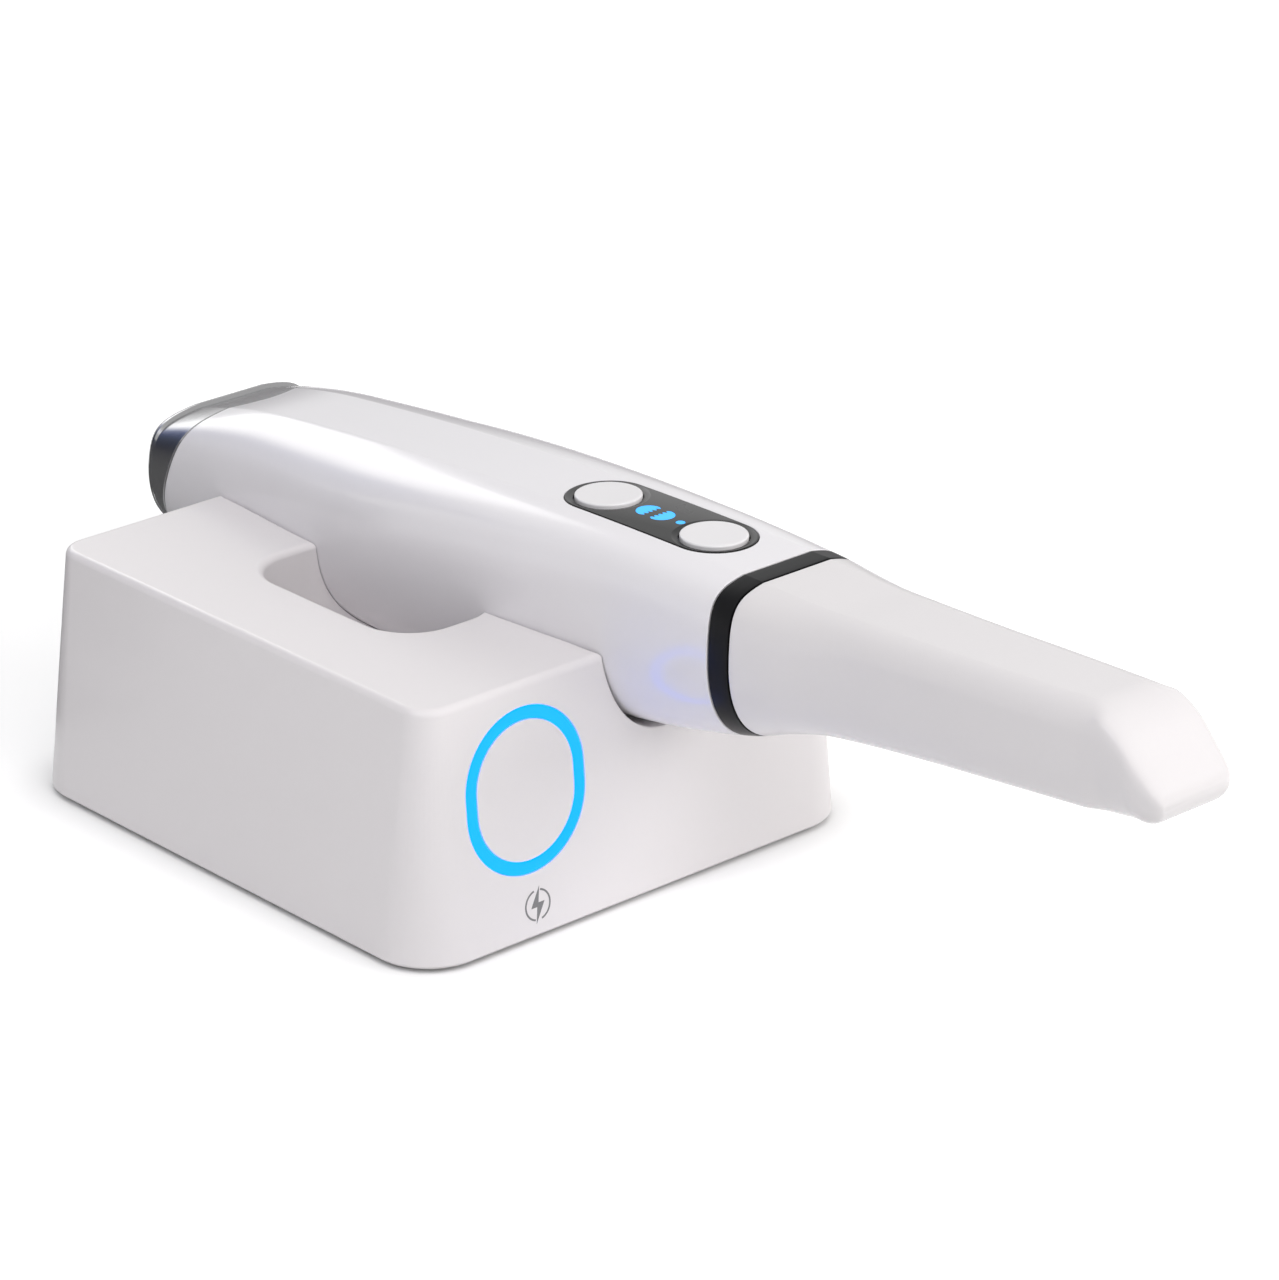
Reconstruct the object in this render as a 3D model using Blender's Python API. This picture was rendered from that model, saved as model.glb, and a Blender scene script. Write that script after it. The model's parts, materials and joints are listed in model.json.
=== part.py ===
"""Cordless intraoral scanner lying in its charging dock.

Metres, +Z up. The origin is the middle of the dock's footprint on the desk, the tip points
along -Y and the tail along +Y. The dock and the handpiece are each modelled under an empty
of their own: heights are counted from the dock's rim, and the handpiece is modelled about
its own middle plane. Its skin is lofted through cross-sections whose sizes are looked up in
SHAPE, so the shell, the tail cap, the collar, the tip, the nose and the trough that the
handpiece lies in all come from the same sections, each with its own inset.
"""

import math

import bmesh
import bpy
import numpy as np

# Gaps, walls and small radii
GAP = 0.0003
TROUGH_CLEARANCE = 0.0004
SHELL_WALL = 0.0020
TIP_WALL = 0.0013
DOCK_WALL = 0.0026
TROUGH_WALL = 0.0024
OVERCUT = 0.0030
SINK = 0.0005
HAIR = 0.0001
PLATE_CORNER = 0.0030
CHIP_RISE = 0.0012

# Dock
DOCK_LENGTH = 0.1200
DOCK_WIDTH = 0.1128
DOCK_HEIGHT = 0.0503
DOCK_LEAN = 0.00492
DOCK_CORNER_FOOT = 0.0121
DOCK_CORNER_TOP = 0.0058
DOCK_TOP_EDGE = 0.0014
DOCK_FOOT_EDGE = 0.0006
DOCK_LEAST_CORNER = 0.0008
MAT_THICKNESS = 0.0015
MAT_PROUD = 0.0008
MAT_MARGIN = 0.0060
BASE_THICKNESS = 0.0024
HANDPIECE_X = 0.0104

# Finger recess beside the trough
RECESS_LEFT = -0.0334
RECESS_RIGHT = -0.0045
RECESS_FRONT = -0.0256
RECESS_REAR = 0.0225
RECESS_FLOOR = 0.0262
RECESS_CORNER = 0.0105
RECESS_TOP_EDGE = 0.0014
RECESS_FLOOR_EDGE = 0.0075
TROUGH_FLAT_FROM = -0.0460
TROUGH_TOP_EDGE = 0.0008

# Light ring in the front wall
RING_X = -0.0283
RING_HEIGHT_ABOVE_RIM = 0.0293
RING_WIDTH = 0.0290
RING_LENGTH = 0.0327
RING_BAND = 0.0025
RING_DEPTH = 0.0013
RING_PEG_RADIUS = 0.0009
RING_PROUD = 0.0001
PEG_OVERHANG = 0.0008
LAMP_BOARD_MARGIN = 0.0006
LAMP_BOARD_HOLE = 0.0050

# Screws, boards and coil of the dock
BOSS_RADIUS = 0.0036
BOSS_INSET = 0.0135
SCREW_RADIUS = 0.0014
SCREW_HEAD_RADIUS = 0.0027
SCREW_HEAD_HEIGHT = 0.0009
SCREW_HEAD_EDGE = 0.0003
SCREW_SOCKET_DEPTH = 0.0005
SCREW_LENGTH = 0.0095
BOARD_THICKNESS = 0.0016
COIL_LENGTH = 0.0440
COIL_WIDTH = 0.0260
COIL_HOLE = 0.0110
COIL_THICKNESS = 0.0018
COIL_DROP = 0.0006
FERRITE_THICKNESS = 0.0012
FERRITE_MARGIN = 0.0015
POST_RADIUS = 0.0022
COIL_POST_INSET = 0.0060
DOCK_BOARD_CENTRE = (-0.0280, 0.0300)
DOCK_BOARD_WIDTH = 0.0200
DOCK_BOARD_LENGTH = 0.0400
DOCK_BOARD_RISE = 0.0060
DOCK_BOARD_SETBACK = 0.0030
BOARD_POST_INSET = 0.0030
BOARD_POST_ALONG = 0.0150
# Each chip: its place on the board, its side and its height
DOCK_CHIPS = (
    (-0.0060, -0.0100, 0.0080, 0.0012),
    (0.0060, -0.0080, 0.0060, 0.0025),
    (0.0000, 0.0040, 0.0100, 0.0016),
)
BALLAST_X = 0.0120
BALLAST_WIDTH = 0.0500
BALLAST_CLEARANCE = 0.0012
BALLAST_HEIGHT = 0.0100
BALLAST_CORNER = 0.0020
INLET_WIDTH = 0.0089
INLET_HEIGHT = 0.0032
INLET_DEPTH = 0.0074
INLET_WALL = 0.0003
INLET_FLOOR = 0.0059
INLET_TONGUE = 0.0007
TONGUE_HALF_WIDTH = 0.0033
TONGUE_SETBACK = 0.0008

# Handpiece skin. The top line is one long arc as far as the collar
TOP_PEAK_Y = -0.0742
TOP_PEAK_HEIGHT = 0.07243
TOP_ARC_RADIUS = 1.100
TAIL_DROP_FROM = 0.0480
TAIL_DROP = 3.3
# Each row: y, half width, depth of the widest line and of the keel under the top line's peak,
# half width of the top facet, half width of the flat keel, squareness of the shoulders
SHAPE = (
    (0.0810, 0.0200, 0.02243, 0.03963, 0.0086, 0.0040, 0.45),
    (0.0520, 0.0208, 0.02143, 0.04183, 0.0086, 0.0045, 0.20),
    (0.0240, 0.0229, 0.02043, 0.04273, 0.0086, 0.0050, 0.15),
    (0.0120, 0.0233, 0.01993, 0.04283, 0.0086, 0.0050, 0.30),
    (-0.0260, 0.0208, 0.01793, 0.04183, 0.0086, 0.0040, 0.80),
    (-0.0560, 0.0183, 0.01593, 0.03903, 0.0086, 0.0030, 1.00),
    (-0.0850, 0.0174, 0.01443, 0.03283, 0.0086, 0.0025, 0.60),
    (-0.0950, 0.0160, 0.01193, 0.02903, 0.0084, 0.0030, 0.30),
    (-0.1050, 0.0140, 0.00843, 0.02583, 0.0080, 0.0040, 0.00),
    (-0.1150, 0.0127, 0.00563, 0.02393, 0.0075, 0.0050, 0.00),
    (-0.1300, 0.0121, 0.00463, 0.02193, 0.0071, 0.0055, 0.00),
    (-0.1500, 0.0116, 0.00353, 0.01973, 0.0066, 0.0058, 0.00),
    (-0.1680, 0.0109, 0.00253, 0.01793, 0.0059, 0.0058, 0.00),
)
# Each row: y and the depth of the detachable tip's top line under the peak, negative over it
TIP_TOP = (
    (-0.0880, 0.00009),
    (-0.1050, 0.00033),
    (-0.1150, -0.00002),
    (-0.1300, -0.00057),
    (-0.1500, -0.00157),
    (-0.1680, -0.00247),
)
TIP_BLEND = (-0.0880, -0.1180)
# How the shoulder and the belly bend: on a round section, on a square one and on the boxy tip
SHOULDER_ALONG = (0.75, 0.92, 0.55)
SHOULDER_SINK = (0.10, 0.03, 0.0)
SHOULDER_UPRIGHT = (0.66, 0.88, 0.55)
BELLY_UPRIGHT = (0.62, 0.62, 0.86)
BELLY_ALONG = (0.60, 0.60, 0.72)

# Tail cap
SEAM_TOP_Y = 0.0665
SEAM_TOP_DEPTH = 0.00953
SEAM_SLOPE = 0.432
SEAM_BOW = 0.0018
RIM_LOW_Y = 0.0812
RIM_LOW_DEPTH = 0.03443
RIM_SLOPE = 0.095
RIM_CURVE = 1.0
TAIL_EDGE = 0.0019
RIM_SECTION_Y = 0.0740
RIM_SHRINK = 0.45
CAP_DOME = 0.0002
CAP_FLOOR_INSET = 0.0015
CAP_FLOOR_SINK = 0.0006
CAP_LIP = 0.0014
CAP_LIP_LENGTH = 0.0035

# Collar and the detachable tip
COLLAR_REAR = -0.0830
COLLAR_FRONT = -0.0883
COLLAR_WALL = 0.0018
COLLAR_EDGE = 0.00025
TIP_END = -0.1680
TIP_FACE_TOP_RADIUS = 0.0150
TIP_FACE_ANGLE = math.radians(44.4)
TIP_FACE_LENGTH = 0.0095
TIP_NOSE_RADIUS = 0.0042
TIP_NOSE_NARROWING = 0.0030
TIP_CORNER = 0.0050
TIP_NARROWS_FROM = -0.1790
TIP_LEAST_HEIGHT = 0.0012
TIP_REAR_WALL_EDGE = 0.0003
WINDOW_REAR = -0.1668
WINDOW_FRONT = -0.1782
WINDOW_HALF_WIDTH = 0.0066
WINDOW_CORNER = 0.0020
WINDOW_RIM = 0.0013
WINDOW_RIM_DEPTH = 0.00055
MIRROR_THICKNESS = 0.0011
MIRROR_WIDTH = 0.0130
MIRROR_LENGTH = 0.0112
MIRROR_CORNER = 0.0015
MIRROR_SETBACK = 0.0002
TIP_ROWS = (-0.0960, -0.1000, -0.1050, -0.1100, -0.1170, -0.1280, -0.1450)
TIP_INNER_ROWS = (-0.1450, -0.1300, -0.1180, -0.1100, -0.1020)

# Optical nose that carries the tip
NOSE_REAR = -0.0780
NOSE_STEP = -0.0905
NOSE_FRONT = -0.1500
NOSE_WALL = 0.0012
NOSE_CLEARANCE = 0.0013
NOSE_TOP_DEPTH = 0.00343
NOSE_ROWS = (NOSE_STEP, -0.1000, -0.1100, -0.1300, NOSE_FRONT)
GLASS_SETBACK = 0.0005
SEAL_Y = -0.0960
SEAL_WIDTH = 0.0014
SEAL_RISE = 0.0009
NOSE_GLASS = 0.0010

# Button panel
PANEL_HALF_WIDTH = 0.0083
PANEL_REAR_CENTRE = -0.0370
PANEL_FRONT_CENTRE = -0.0660
PANEL_PROUD = 0.00015
PANEL_THICKNESS = 0.0010
PANEL_FIT = 0.00015
PANEL_END = 0.0004
BUTTON_RADIUS = 0.0065
BUTTON_PROUD = 0.00045
BUTTON_TRAVEL = 0.0005
BUTTON_FLANGE_RADIUS = 0.0074
BUTTON_FLANGE = 0.0009
BUTTON_STEM_RADIUS = 0.0015
BUTTON_STEM = 0.0004
BUTTON_EDGE = 0.0004
BUTTON_HOLLOW = 0.00012
BUTTON_HOLLOW_START = 0.6
DISH_RADIUS = 0.0081
DISH_DEPTH = 0.00035
DISH_OVER = 0.0008
SWITCH_SIZE = 0.0060
SWITCH_HEIGHT = 0.0016
SWITCH_PLUNGER_RADIUS = 0.0014
SWITCH_PLUNGER = 0.0003
SWITCH_BOARD_LENGTH = 0.0410
SWITCH_BOARD_WIDTH = 0.0170

# Indicator lights: two jaws that face each other and a dot
JAW_WIDTH = 0.0052
JAW_DEPTH = 0.0026
JAW_TEETH = 5
JAW_TOOTH = 0.0005
REAR_JAW_Y = -0.0487
FRONT_JAW_Y = -0.0514
DOT_Y = -0.0569
DOT_RADIUS = 0.0009
SLOT_MARGIN = 0.0006
GUIDE_WIDTH = 0.0080
GUIDE_THICKNESS = 0.0010
GUIDE_DROP = 0.0002
LIGHT_SINK = 0.00002

# Inside the handpiece
CHASSIS_REAR = 0.0520
CHASSIS_FRONT = -0.0460
CHASSIS_HALF_WIDTH = 0.0125
BULKHEAD_HALF_WIDTH = 0.0080
CHASSIS_THICKNESS = 0.0015
CHASSIS_FOOT = 0.0020
CHASSIS_FOOT_YS = (-0.0360, 0.0460)
BULKHEAD = 0.0030
LEDGE_LENGTH = 0.0060
LEDGE_THICKNESS = 0.0020
LEDGE_INSET = 0.0015
BULKHEAD_DROP = 0.0011
PASSAGE_HALF_WIDTH = 0.0040
PASSAGE_RISE = (0.0030, 0.0100)
SADDLE_YS = (0.0040, 0.0340)
SADDLE_WIDTH = 0.0040
BATTERY_RADIUS = 0.0092
BATTERY_LENGTH = 0.0652
BATTERY_REAR = 0.0500
BATTERY_LIFT = 0.0020
CELL_EDGE = 0.0008
CELL_NUB = 0.0010
CELL_NUB_RADIUS = 0.0032
MAIN_BOARD_LIFT = 0.0012
RECEIVER_Y = 0.0120
RECEIVER_LENGTH = 0.0400
RECEIVER_WIDTH = 0.0200
RECEIVER_HOLE = 0.0080
RECEIVER_THICKNESS = 0.0009
MAIN_BOARD_REAR = 0.0390
MAIN_BOARD_LENGTH = 0.0650
MAIN_BOARD_WIDTH = 0.0300
# Each chip: its place on the board and its side
MAIN_CHIPS = ((-0.0060, -0.0120, 0.0100), (0.0070, -0.0080, 0.0070), (0.0, 0.0080, 0.0110))
SPREADER_DEPTH = 0.02143
SPREADER_THICKNESS = 0.0015
SPREADER_FRONT = -0.0985
SPREADER_HALF_WIDTH = 0.0088
OPTICS_REAR = -0.0720
PROJECTOR_WIDTH = 0.0070
PROJECTOR_LENGTH = 0.0200
PROJECTOR_HEIGHT = 0.0095
CAMERA_WIDTH = 0.0050
CAMERA_LENGTH = 0.0160
CAMERA_HEIGHT = 0.0080
LENS_LENGTH = 0.0060
LENS_DIMPLE = 0.0008
LENS_SHARE = 0.42
LENS_GLASS_SHARE = 0.28
IMAGING_BOARD_LENGTH = 0.0220
IMAGING_BOARD_WIDTH = 0.0150
IMAGING_BOARD_SETBACK = 0.0030
IMAGING_CHIP = 0.0090
IMAGING_CHIP_SETBACK = 0.0165

# Steps along curves
SHOULDER_STEPS = 6
BELLY_STEPS = 8
CORNER_STEPS = 5
EDGE_STEPS = 3
TROUGH_STEPS = 9
TROUGH_ROWS = 7
RECESS_TOP_STEPS = 3
RECESS_FLOOR_STEPS = 5
RING_STEPS = 9
COIL_STEPS = 6
BODY_ROWS = 13
BODY_INNER_ROWS = 7
CAP_ROWS = 3
PANEL_END_STEPS = 7
JAW_ARC_STEPS = 9
JAW_TOOTH_STEPS = 4
CHASSIS_ROWS = 6
TIP_ARC_STEPS = 4
TIP_NOSE_STEPS = 3
FINE_ROUND = 24
SMALL_ROUND = 16
TINY_ROUND = 10
SCREW_ROUND = 12
SLOPE_STEP = 0.0005
SMOOTH_ANGLE = math.radians(32)
FLATNESS = 0.0000002


# Materials

def material(name, colour, roughness, metallic=0.0):
    """Principled material with the piece's own colour."""
    made = bpy.data.materials.new(name)
    made.use_nodes = True
    shader = made.node_tree.nodes["Principled BSDF"]
    shader.inputs["Base Color"].default_value = (*colour, 1.0)
    shader.inputs["Roughness"].default_value = roughness
    shader.inputs["Metallic"].default_value = metallic
    made.diffuse_color = (*colour, 1.0)
    return made


def make_materials():
    return {
        "white_shell": material("white_shell", (0.83, 0.82, 0.83), 0.22),
        "tip_white": material("tip_white", (0.78, 0.76, 0.76), 0.32),
        "gunmetal_cap": material("gunmetal_cap", (0.13, 0.14, 0.17), 0.16, 0.4),
        "black_collar": material("black_collar", (0.015, 0.015, 0.018), 0.12),
        "panel_black": material("panel_black", (0.05, 0.05, 0.05), 0.25),
        "button_white": material("button_white", (0.80, 0.79, 0.80), 0.35),
        "blue_light": material("blue_light", (0.01, 0.55, 0.95), 0.30),
        "rubber": material("rubber", (0.03, 0.03, 0.03), 0.80),
        "inner_plastic": material("inner_plastic", (0.10, 0.10, 0.11), 0.55),
        "circuit_board": material("circuit_board", (0.02, 0.16, 0.08), 0.45),
        "steel": material("steel", (0.60, 0.60, 0.62), 0.30, 1.0),
        "copper": material("copper", (0.72, 0.33, 0.17), 0.35, 1.0),
        "ferrite": material("ferrite", (0.05, 0.05, 0.055), 0.60),
        "aluminium": material("aluminium", (0.72, 0.73, 0.75), 0.35, 1.0),
        "glass": material("glass", (0.55, 0.60, 0.62), 0.05),
        "mirror": material("mirror", (0.90, 0.90, 0.92), 0.03, 1.0),
        "cell_sleeve": material("cell_sleeve", (0.06, 0.16, 0.34), 0.40),
    }


# Curves and outlines

def interpolate(table, position, column):
    """Smooth curve through one column of a table, with no overshoot between its rows."""
    rows = sorted(table)
    xs = np.array([row[0] for row in rows])
    values = np.array([row[column] for row in rows])
    steps = np.diff(xs)
    slopes = np.diff(values) / steps
    tangents = np.zeros(len(xs))
    tangents[0] = slopes[0]
    tangents[-1] = slopes[-1]
    for i in range(1, len(xs) - 1):
        if slopes[i - 1] * slopes[i] > 0:
            weight_a = 2 * steps[i] + steps[i - 1]
            weight_b = steps[i] + 2 * steps[i - 1]
            tangents[i] = (weight_a + weight_b) / (weight_a / slopes[i - 1] + weight_b / slopes[i])
    clamped = min(max(position, xs[0]), xs[-1])
    i = int(min(max(np.searchsorted(xs, clamped) - 1, 0), len(steps) - 1))
    t = (clamped - xs[i]) / steps[i]
    return float(
        (1 + 2 * t) * (1 - t) ** 2 * values[i]
        + t * (1 - t) ** 2 * steps[i] * tangents[i]
        + t * t * (3 - 2 * t) * values[i + 1]
        + t * t * (t - 1) * steps[i] * tangents[i + 1]
    )


def bezier(p0, p1, p2, p3, steps):
    """Points of a cubic curve, without its first point."""
    t = np.linspace(0, 1, steps + 1)[1:, None]
    p0, p1, p2, p3 = (np.array(p) for p in (p0, p1, p2, p3))
    return (1 - t) ** 3 * p0 + 3 * t * (1 - t) ** 2 * p1 + 3 * t * t * (1 - t) * p2 + t ** 3 * p3


def mixed(a, b, share):
    return a + (b - a) * share


def smooth_share(value, start, end):
    """0 at start, 1 at end, with soft ends."""
    t = min(max((value - start) / (end - start), 0.0), 1.0)
    return t * t * (3 - 2 * t)


def inset_outline(points, distance):
    """Closed outline moved inwards by a distance, or outwards when it is negative."""
    before = points - np.roll(points, 1, axis=0)
    after = np.roll(points, -1, axis=0) - points
    turned = np.sum(points[:, 0] * np.roll(points[:, 1], -1) - points[:, 1] * np.roll(points[:, 0], -1))
    side = 1.0 if turned > 0 else -1.0

    def inward(edges):
        normals = np.stack([-edges[:, 1], edges[:, 0]], axis=1) * side
        return normals / np.linalg.norm(normals, axis=1, keepdims=True)

    one = inward(before)
    two = inward(after)
    share = 1 + np.sum(one * two, axis=1, keepdims=True)
    return points + distance * (one + two) / share


def evenly_spaced(points, steps):
    """The same open line drawn with points at equal distances."""
    lengths = np.concatenate([[0.0], np.cumsum(np.linalg.norm(np.diff(points, axis=0), axis=1))])
    at = np.linspace(0, lengths[-1], steps + 1)
    return np.column_stack([np.interp(at, lengths, points[:, column]) for column in (0, 1)])


def rounded_rectangle(half_x, half_y, radius, steps=CORNER_STEPS):
    """Closed outline, anticlockwise. With the radius at half a side, that end is round."""
    points = []
    for quarter, (sx, sy) in enumerate(((1, 1), (-1, 1), (-1, -1), (1, -1))):
        for step in range(steps + 1):
            angle = math.pi / 2 * (quarter + step / steps)
            points.append(
                (
                    sx * (half_x - radius) + radius * math.cos(angle),
                    sy * (half_y - radius) + radius * math.sin(angle),
                )
            )
    points = np.array(points)
    gaps = np.linalg.norm(points - np.roll(points, 1, axis=0), axis=1)
    return points[gaps > FLATNESS]


def circle(radius, steps):
    angles = 2 * math.pi * np.arange(steps) / steps
    return np.stack([radius * np.cos(angles), radius * np.sin(angles)], axis=1)


# Cross-sections of the handpiece

def top_height(y):
    if y >= TIP_TOP[0][0]:
        droop = TAIL_DROP * max(y - TAIL_DROP_FROM, 0.0) ** 2
        return TOP_PEAK_HEIGHT - (y - TOP_PEAK_Y) ** 2 / (2 * TOP_ARC_RADIUS) - droop
    return TOP_PEAK_HEIGHT - interpolate(TIP_TOP, y, 1)


def middle_height(y):
    """Height of the widest line."""
    return TOP_PEAK_HEIGHT - interpolate(SHAPE, y, 2)


def keel_height(y):
    return TOP_PEAK_HEIGHT - interpolate(SHAPE, y, 3)


def half_width(y):
    return interpolate(SHAPE, y, 1)


def outline_between(facet, half, flat_keel, top, middle, keel, slimness, squareness=0.0):
    """Closed outline of one section: facet, shoulders, belly and keel. slimness is 0 on the
    rounded body and 1 on the boxy tip."""

    def bend(kinds):
        rounded, square, boxy = kinds
        return mixed(mixed(rounded, square, squareness), boxy, slimness)

    rise = top - middle
    fall = middle - keel
    shoulder = bezier(
        (facet, top),
        (mixed(facet, half, bend(SHOULDER_ALONG)), top - bend(SHOULDER_SINK) * rise),
        (half, middle + bend(SHOULDER_UPRIGHT) * rise),
        (half, middle),
        SHOULDER_STEPS,
    )
    belly = bezier(
        (half, middle),
        (half, middle - bend(BELLY_UPRIGHT) * fall),
        (mixed(flat_keel, half, bend(BELLY_ALONG)), keel),
        (flat_keel, keel),
        BELLY_STEPS,
    )
    right = np.vstack([[(0.0, top), (facet, top)], shoulder, belly, [(0.0, keel)]])
    left = right[-2:0:-1] * (-1, 1)
    return np.vstack([right, left])


def section_outline(y, inset=0.0, top_limit=None):
    """Cross-section of the skin at y, as x and height."""
    top = top_height(y)
    middle = middle_height(y)
    slimness = smooth_share(y, *TIP_BLEND)
    facet = interpolate(SHAPE, y, 4)
    flat_keel = interpolate(SHAPE, y, 5)
    squareness = interpolate(SHAPE, y, 6)
    points = outline_between(
        facet, half_width(y), flat_keel, top, middle, keel_height(y), slimness, squareness
    )
    points = inset_outline(points, inset)
    if top_limit is not None:
        points[:, 1] = np.minimum(points[:, 1], top_limit)
    return points


RING_POINTS = len(section_outline(0.0))


def section_ring(y, inset=0.0, every=1, top_limit=None):
    """Section as points in space, at one y or with a y for each point."""
    ys = np.broadcast_to(np.asarray(y, float), (RING_POINTS,))
    if np.ptp(ys) == 0:
        flat = section_outline(float(ys[0]), inset, top_limit)
    else:
        flat = np.array([section_outline(ys[i], inset, top_limit)[i] for i in range(RING_POINTS)])
    ring = np.stack([flat[:, 0], ys, flat[:, 1]], axis=1)
    return ring[::every]


def inner_half_width(y, height):
    """Half width of the room inside the shell at a height below its widest line."""
    belly = section_outline(y, SHELL_WALL)[: RING_POINTS // 2 + 1]
    belly = belly[belly[:, 1] < middle_height(y)][::-1]
    return float(np.interp(height, belly[:, 1], belly[:, 0]))


def inner_floor(y, x):
    """Height of the shell's floor at a distance from its middle plane."""
    belly = section_outline(y, SHELL_WALL)[: RING_POINTS // 2 + 1]
    belly = belly[belly[:, 1] < middle_height(y)][::-1]
    return float(np.interp(x, belly[:, 0], belly[:, 1]))


def seam_ys():
    """Where the skin passes from the shell to the tail cap, for each point of a section."""
    ys = np.full(RING_POINTS, SEAM_TOP_Y)
    for _ in range(6):
        ring = section_ring(ys)
        bow = np.clip(1 - (ring[:, 0] / SHAPE[0][4]) ** 2, 0, None) * (ring[:, 2] > tail_middle())
        below = TOP_PEAK_HEIGHT - SEAM_TOP_DEPTH - ring[:, 2]
        ys = SEAM_TOP_Y + SEAM_SLOPE * below - SEAM_BOW * bow
    return ys


def tail_middle():
    """Height of the widest line at the tail."""
    return middle_height(SHAPE[0][0])


def rim_y(heights):
    """Rear end of the tail cap at a height."""
    above = heights - (TOP_PEAK_HEIGHT - RIM_LOW_DEPTH)
    return RIM_LOW_Y - RIM_SLOPE * above - RIM_CURVE * above ** 2


# Building solids

def is_bent(face):
    """True of a four-sided face whose corners don't lie in one plane."""
    a, b, c, d = (vertex.co for vertex in face.verts)
    normal = (b - a).cross(c - a)
    return abs(normal.dot(d - a)) > FLATNESS * normal.length


def new_object(name, vertices, faces, look, parent, origin=(0, 0, 0), tilt=0.0):
    """Closed mesh with its faces turned outwards, placed by its location and tilt."""
    mesh = bpy.data.meshes.new(name)
    bm = bmesh.new()
    made = [bm.verts.new(point) for point in vertices]
    for face in faces:
        bm.faces.new([made[i] for i in face])
    bent = [face for face in bm.faces if len(face.verts) == 4 and is_bent(face)]
    bmesh.ops.triangulate(bm, faces=bent)
    bmesh.ops.recalc_face_normals(bm, faces=bm.faces)
    if bm.calc_volume(signed=True) < 0:
        bmesh.ops.reverse_faces(bm, faces=bm.faces)
    bm.to_mesh(mesh)
    bm.free()
    mesh.shade_smooth()
    mesh.set_sharp_from_angle(angle=SMOOTH_ANGLE)
    mesh.materials.append(look)
    made_object = bpy.data.objects.new(name, mesh)
    made_object.location = origin
    made_object.rotation_euler = (tilt, 0, 0)
    made_object.parent = parent
    bpy.context.scene.collection.objects.link(made_object)
    return made_object


def ring_solid(name, rings, look, parent, loop=False, first=None, last=None, origin=(0, 0, 0), tilt=0.0):
    """Skin over rings of equally many points. It is closed by joining the last ring to the
    first, or by fans to the points first and last."""
    count = len(rings[0])
    vertices = [tuple(point) for ring in rings for point in ring]
    faces = []
    for a in range(len(rings) if loop else len(rings) - 1):
        b = (a + 1) % len(rings)
        for i in range(count):
            j = (i + 1) % count
            faces.append((a * count + i, a * count + j, b * count + j, b * count + i))
    if not loop:
        for start, centre, ring in ((0, first, rings[0]), ((len(rings) - 1) * count, last, rings[-1])):
            vertices.append(tuple(np.mean(ring, axis=0)) if centre is None else centre)
            tip = len(vertices) - 1
            for i in range(count):
                faces.append((start + i, start + (i + 1) % count, tip))
    return new_object(name, vertices, faces, look, parent, origin, tilt)


def lathe(name, profile, look, parent, origin=(0, 0, 0), tilt=0.0, steps=SMALL_ROUND, hexed=()):
    """Turned solid from (radius, height) points between two points on the axis. Points whose
    places are in hexed lie on a hexagon instead of a circle."""
    rings = []
    for place, (radius, height) in enumerate(profile[1:-1], start=1):
        flat = circle(radius, steps)
        if place in hexed:
            turns = (np.arange(steps) / steps * 6) % 1.0
            flat = flat * (math.cos(math.pi / 6) / np.cos((turns - 0.5) * math.pi / 3))[:, None]
        rings.append(np.column_stack([flat, np.full(steps, height)]))
    ends = [(0.0, 0.0, profile[0][1]), (0.0, 0.0, profile[-1][1])]
    return ring_solid(name, rings, look, parent, first=ends[0], last=ends[1], origin=origin, tilt=tilt)


def extruded(name, outline, low, high, look, parent, origin=(0, 0, 0), tilt=0.0):
    """Outline in X and Y drawn from one height to another."""
    count = len(outline)
    vertices = [(x, y, z) for z in (low, high) for x, y in outline]
    faces = [tuple(range(count)), tuple(range(count, 2 * count))]
    faces += [(i, (i + 1) % count, count + (i + 1) % count, count + i) for i in range(count)]
    return new_object(name, vertices, faces, look, parent, origin, tilt)


def block(name, low, high, look, parent, origin=(0, 0, 0), tilt=0.0):
    outline = [(low[0], low[1]), (high[0], low[1]), (high[0], high[1]), (low[0], high[1])]
    return extruded(name, outline, low[2], high[2], look, parent, origin, tilt)


def boolean(target, others, operation):
    for other in others:
        modifier = target.modifiers.new(other.name, "BOOLEAN")
        modifier.operation = operation
        modifier.solver = "EXACT"
        modifier.object = other
        other.hide_render = True
        other.display_type = "WIRE"


def cut(target, *others):
    boolean(target, others, "DIFFERENCE")


def fuse(target, *others):
    boolean(target, others, "UNION")


def empty(name, location):
    made = bpy.data.objects.new(name, None)
    made.location = location
    bpy.context.scene.collection.objects.link(made)
    return made


# Dock

def dock_ring(height, inset=0.0):
    """Outline of the dock's leaning walls at a height, moved inwards by a distance."""
    share = height / DOCK_HEIGHT
    lean = DOCK_LEAN * share
    radius = max(mixed(DOCK_CORNER_FOOT, DOCK_CORNER_TOP, share) - inset, DOCK_LEAST_CORNER)
    outline = rounded_rectangle(
        DOCK_WIDTH / 2 - lean - inset, DOCK_LENGTH / 2 - lean - inset, radius
    )
    return np.column_stack([outline, np.full(len(outline), height)])


def edge_rings(outline_at, top, radius, steps=EDGE_STEPS):
    """Rings round a top edge of the given radius, from the wall to the flat."""
    rings = []
    for step in range(steps + 1):
        angle = math.pi / 2 * step / steps
        rings.append(outline_at(top - radius * (1 - math.sin(angle)), radius * (1 - math.cos(angle))))
    return rings


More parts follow.
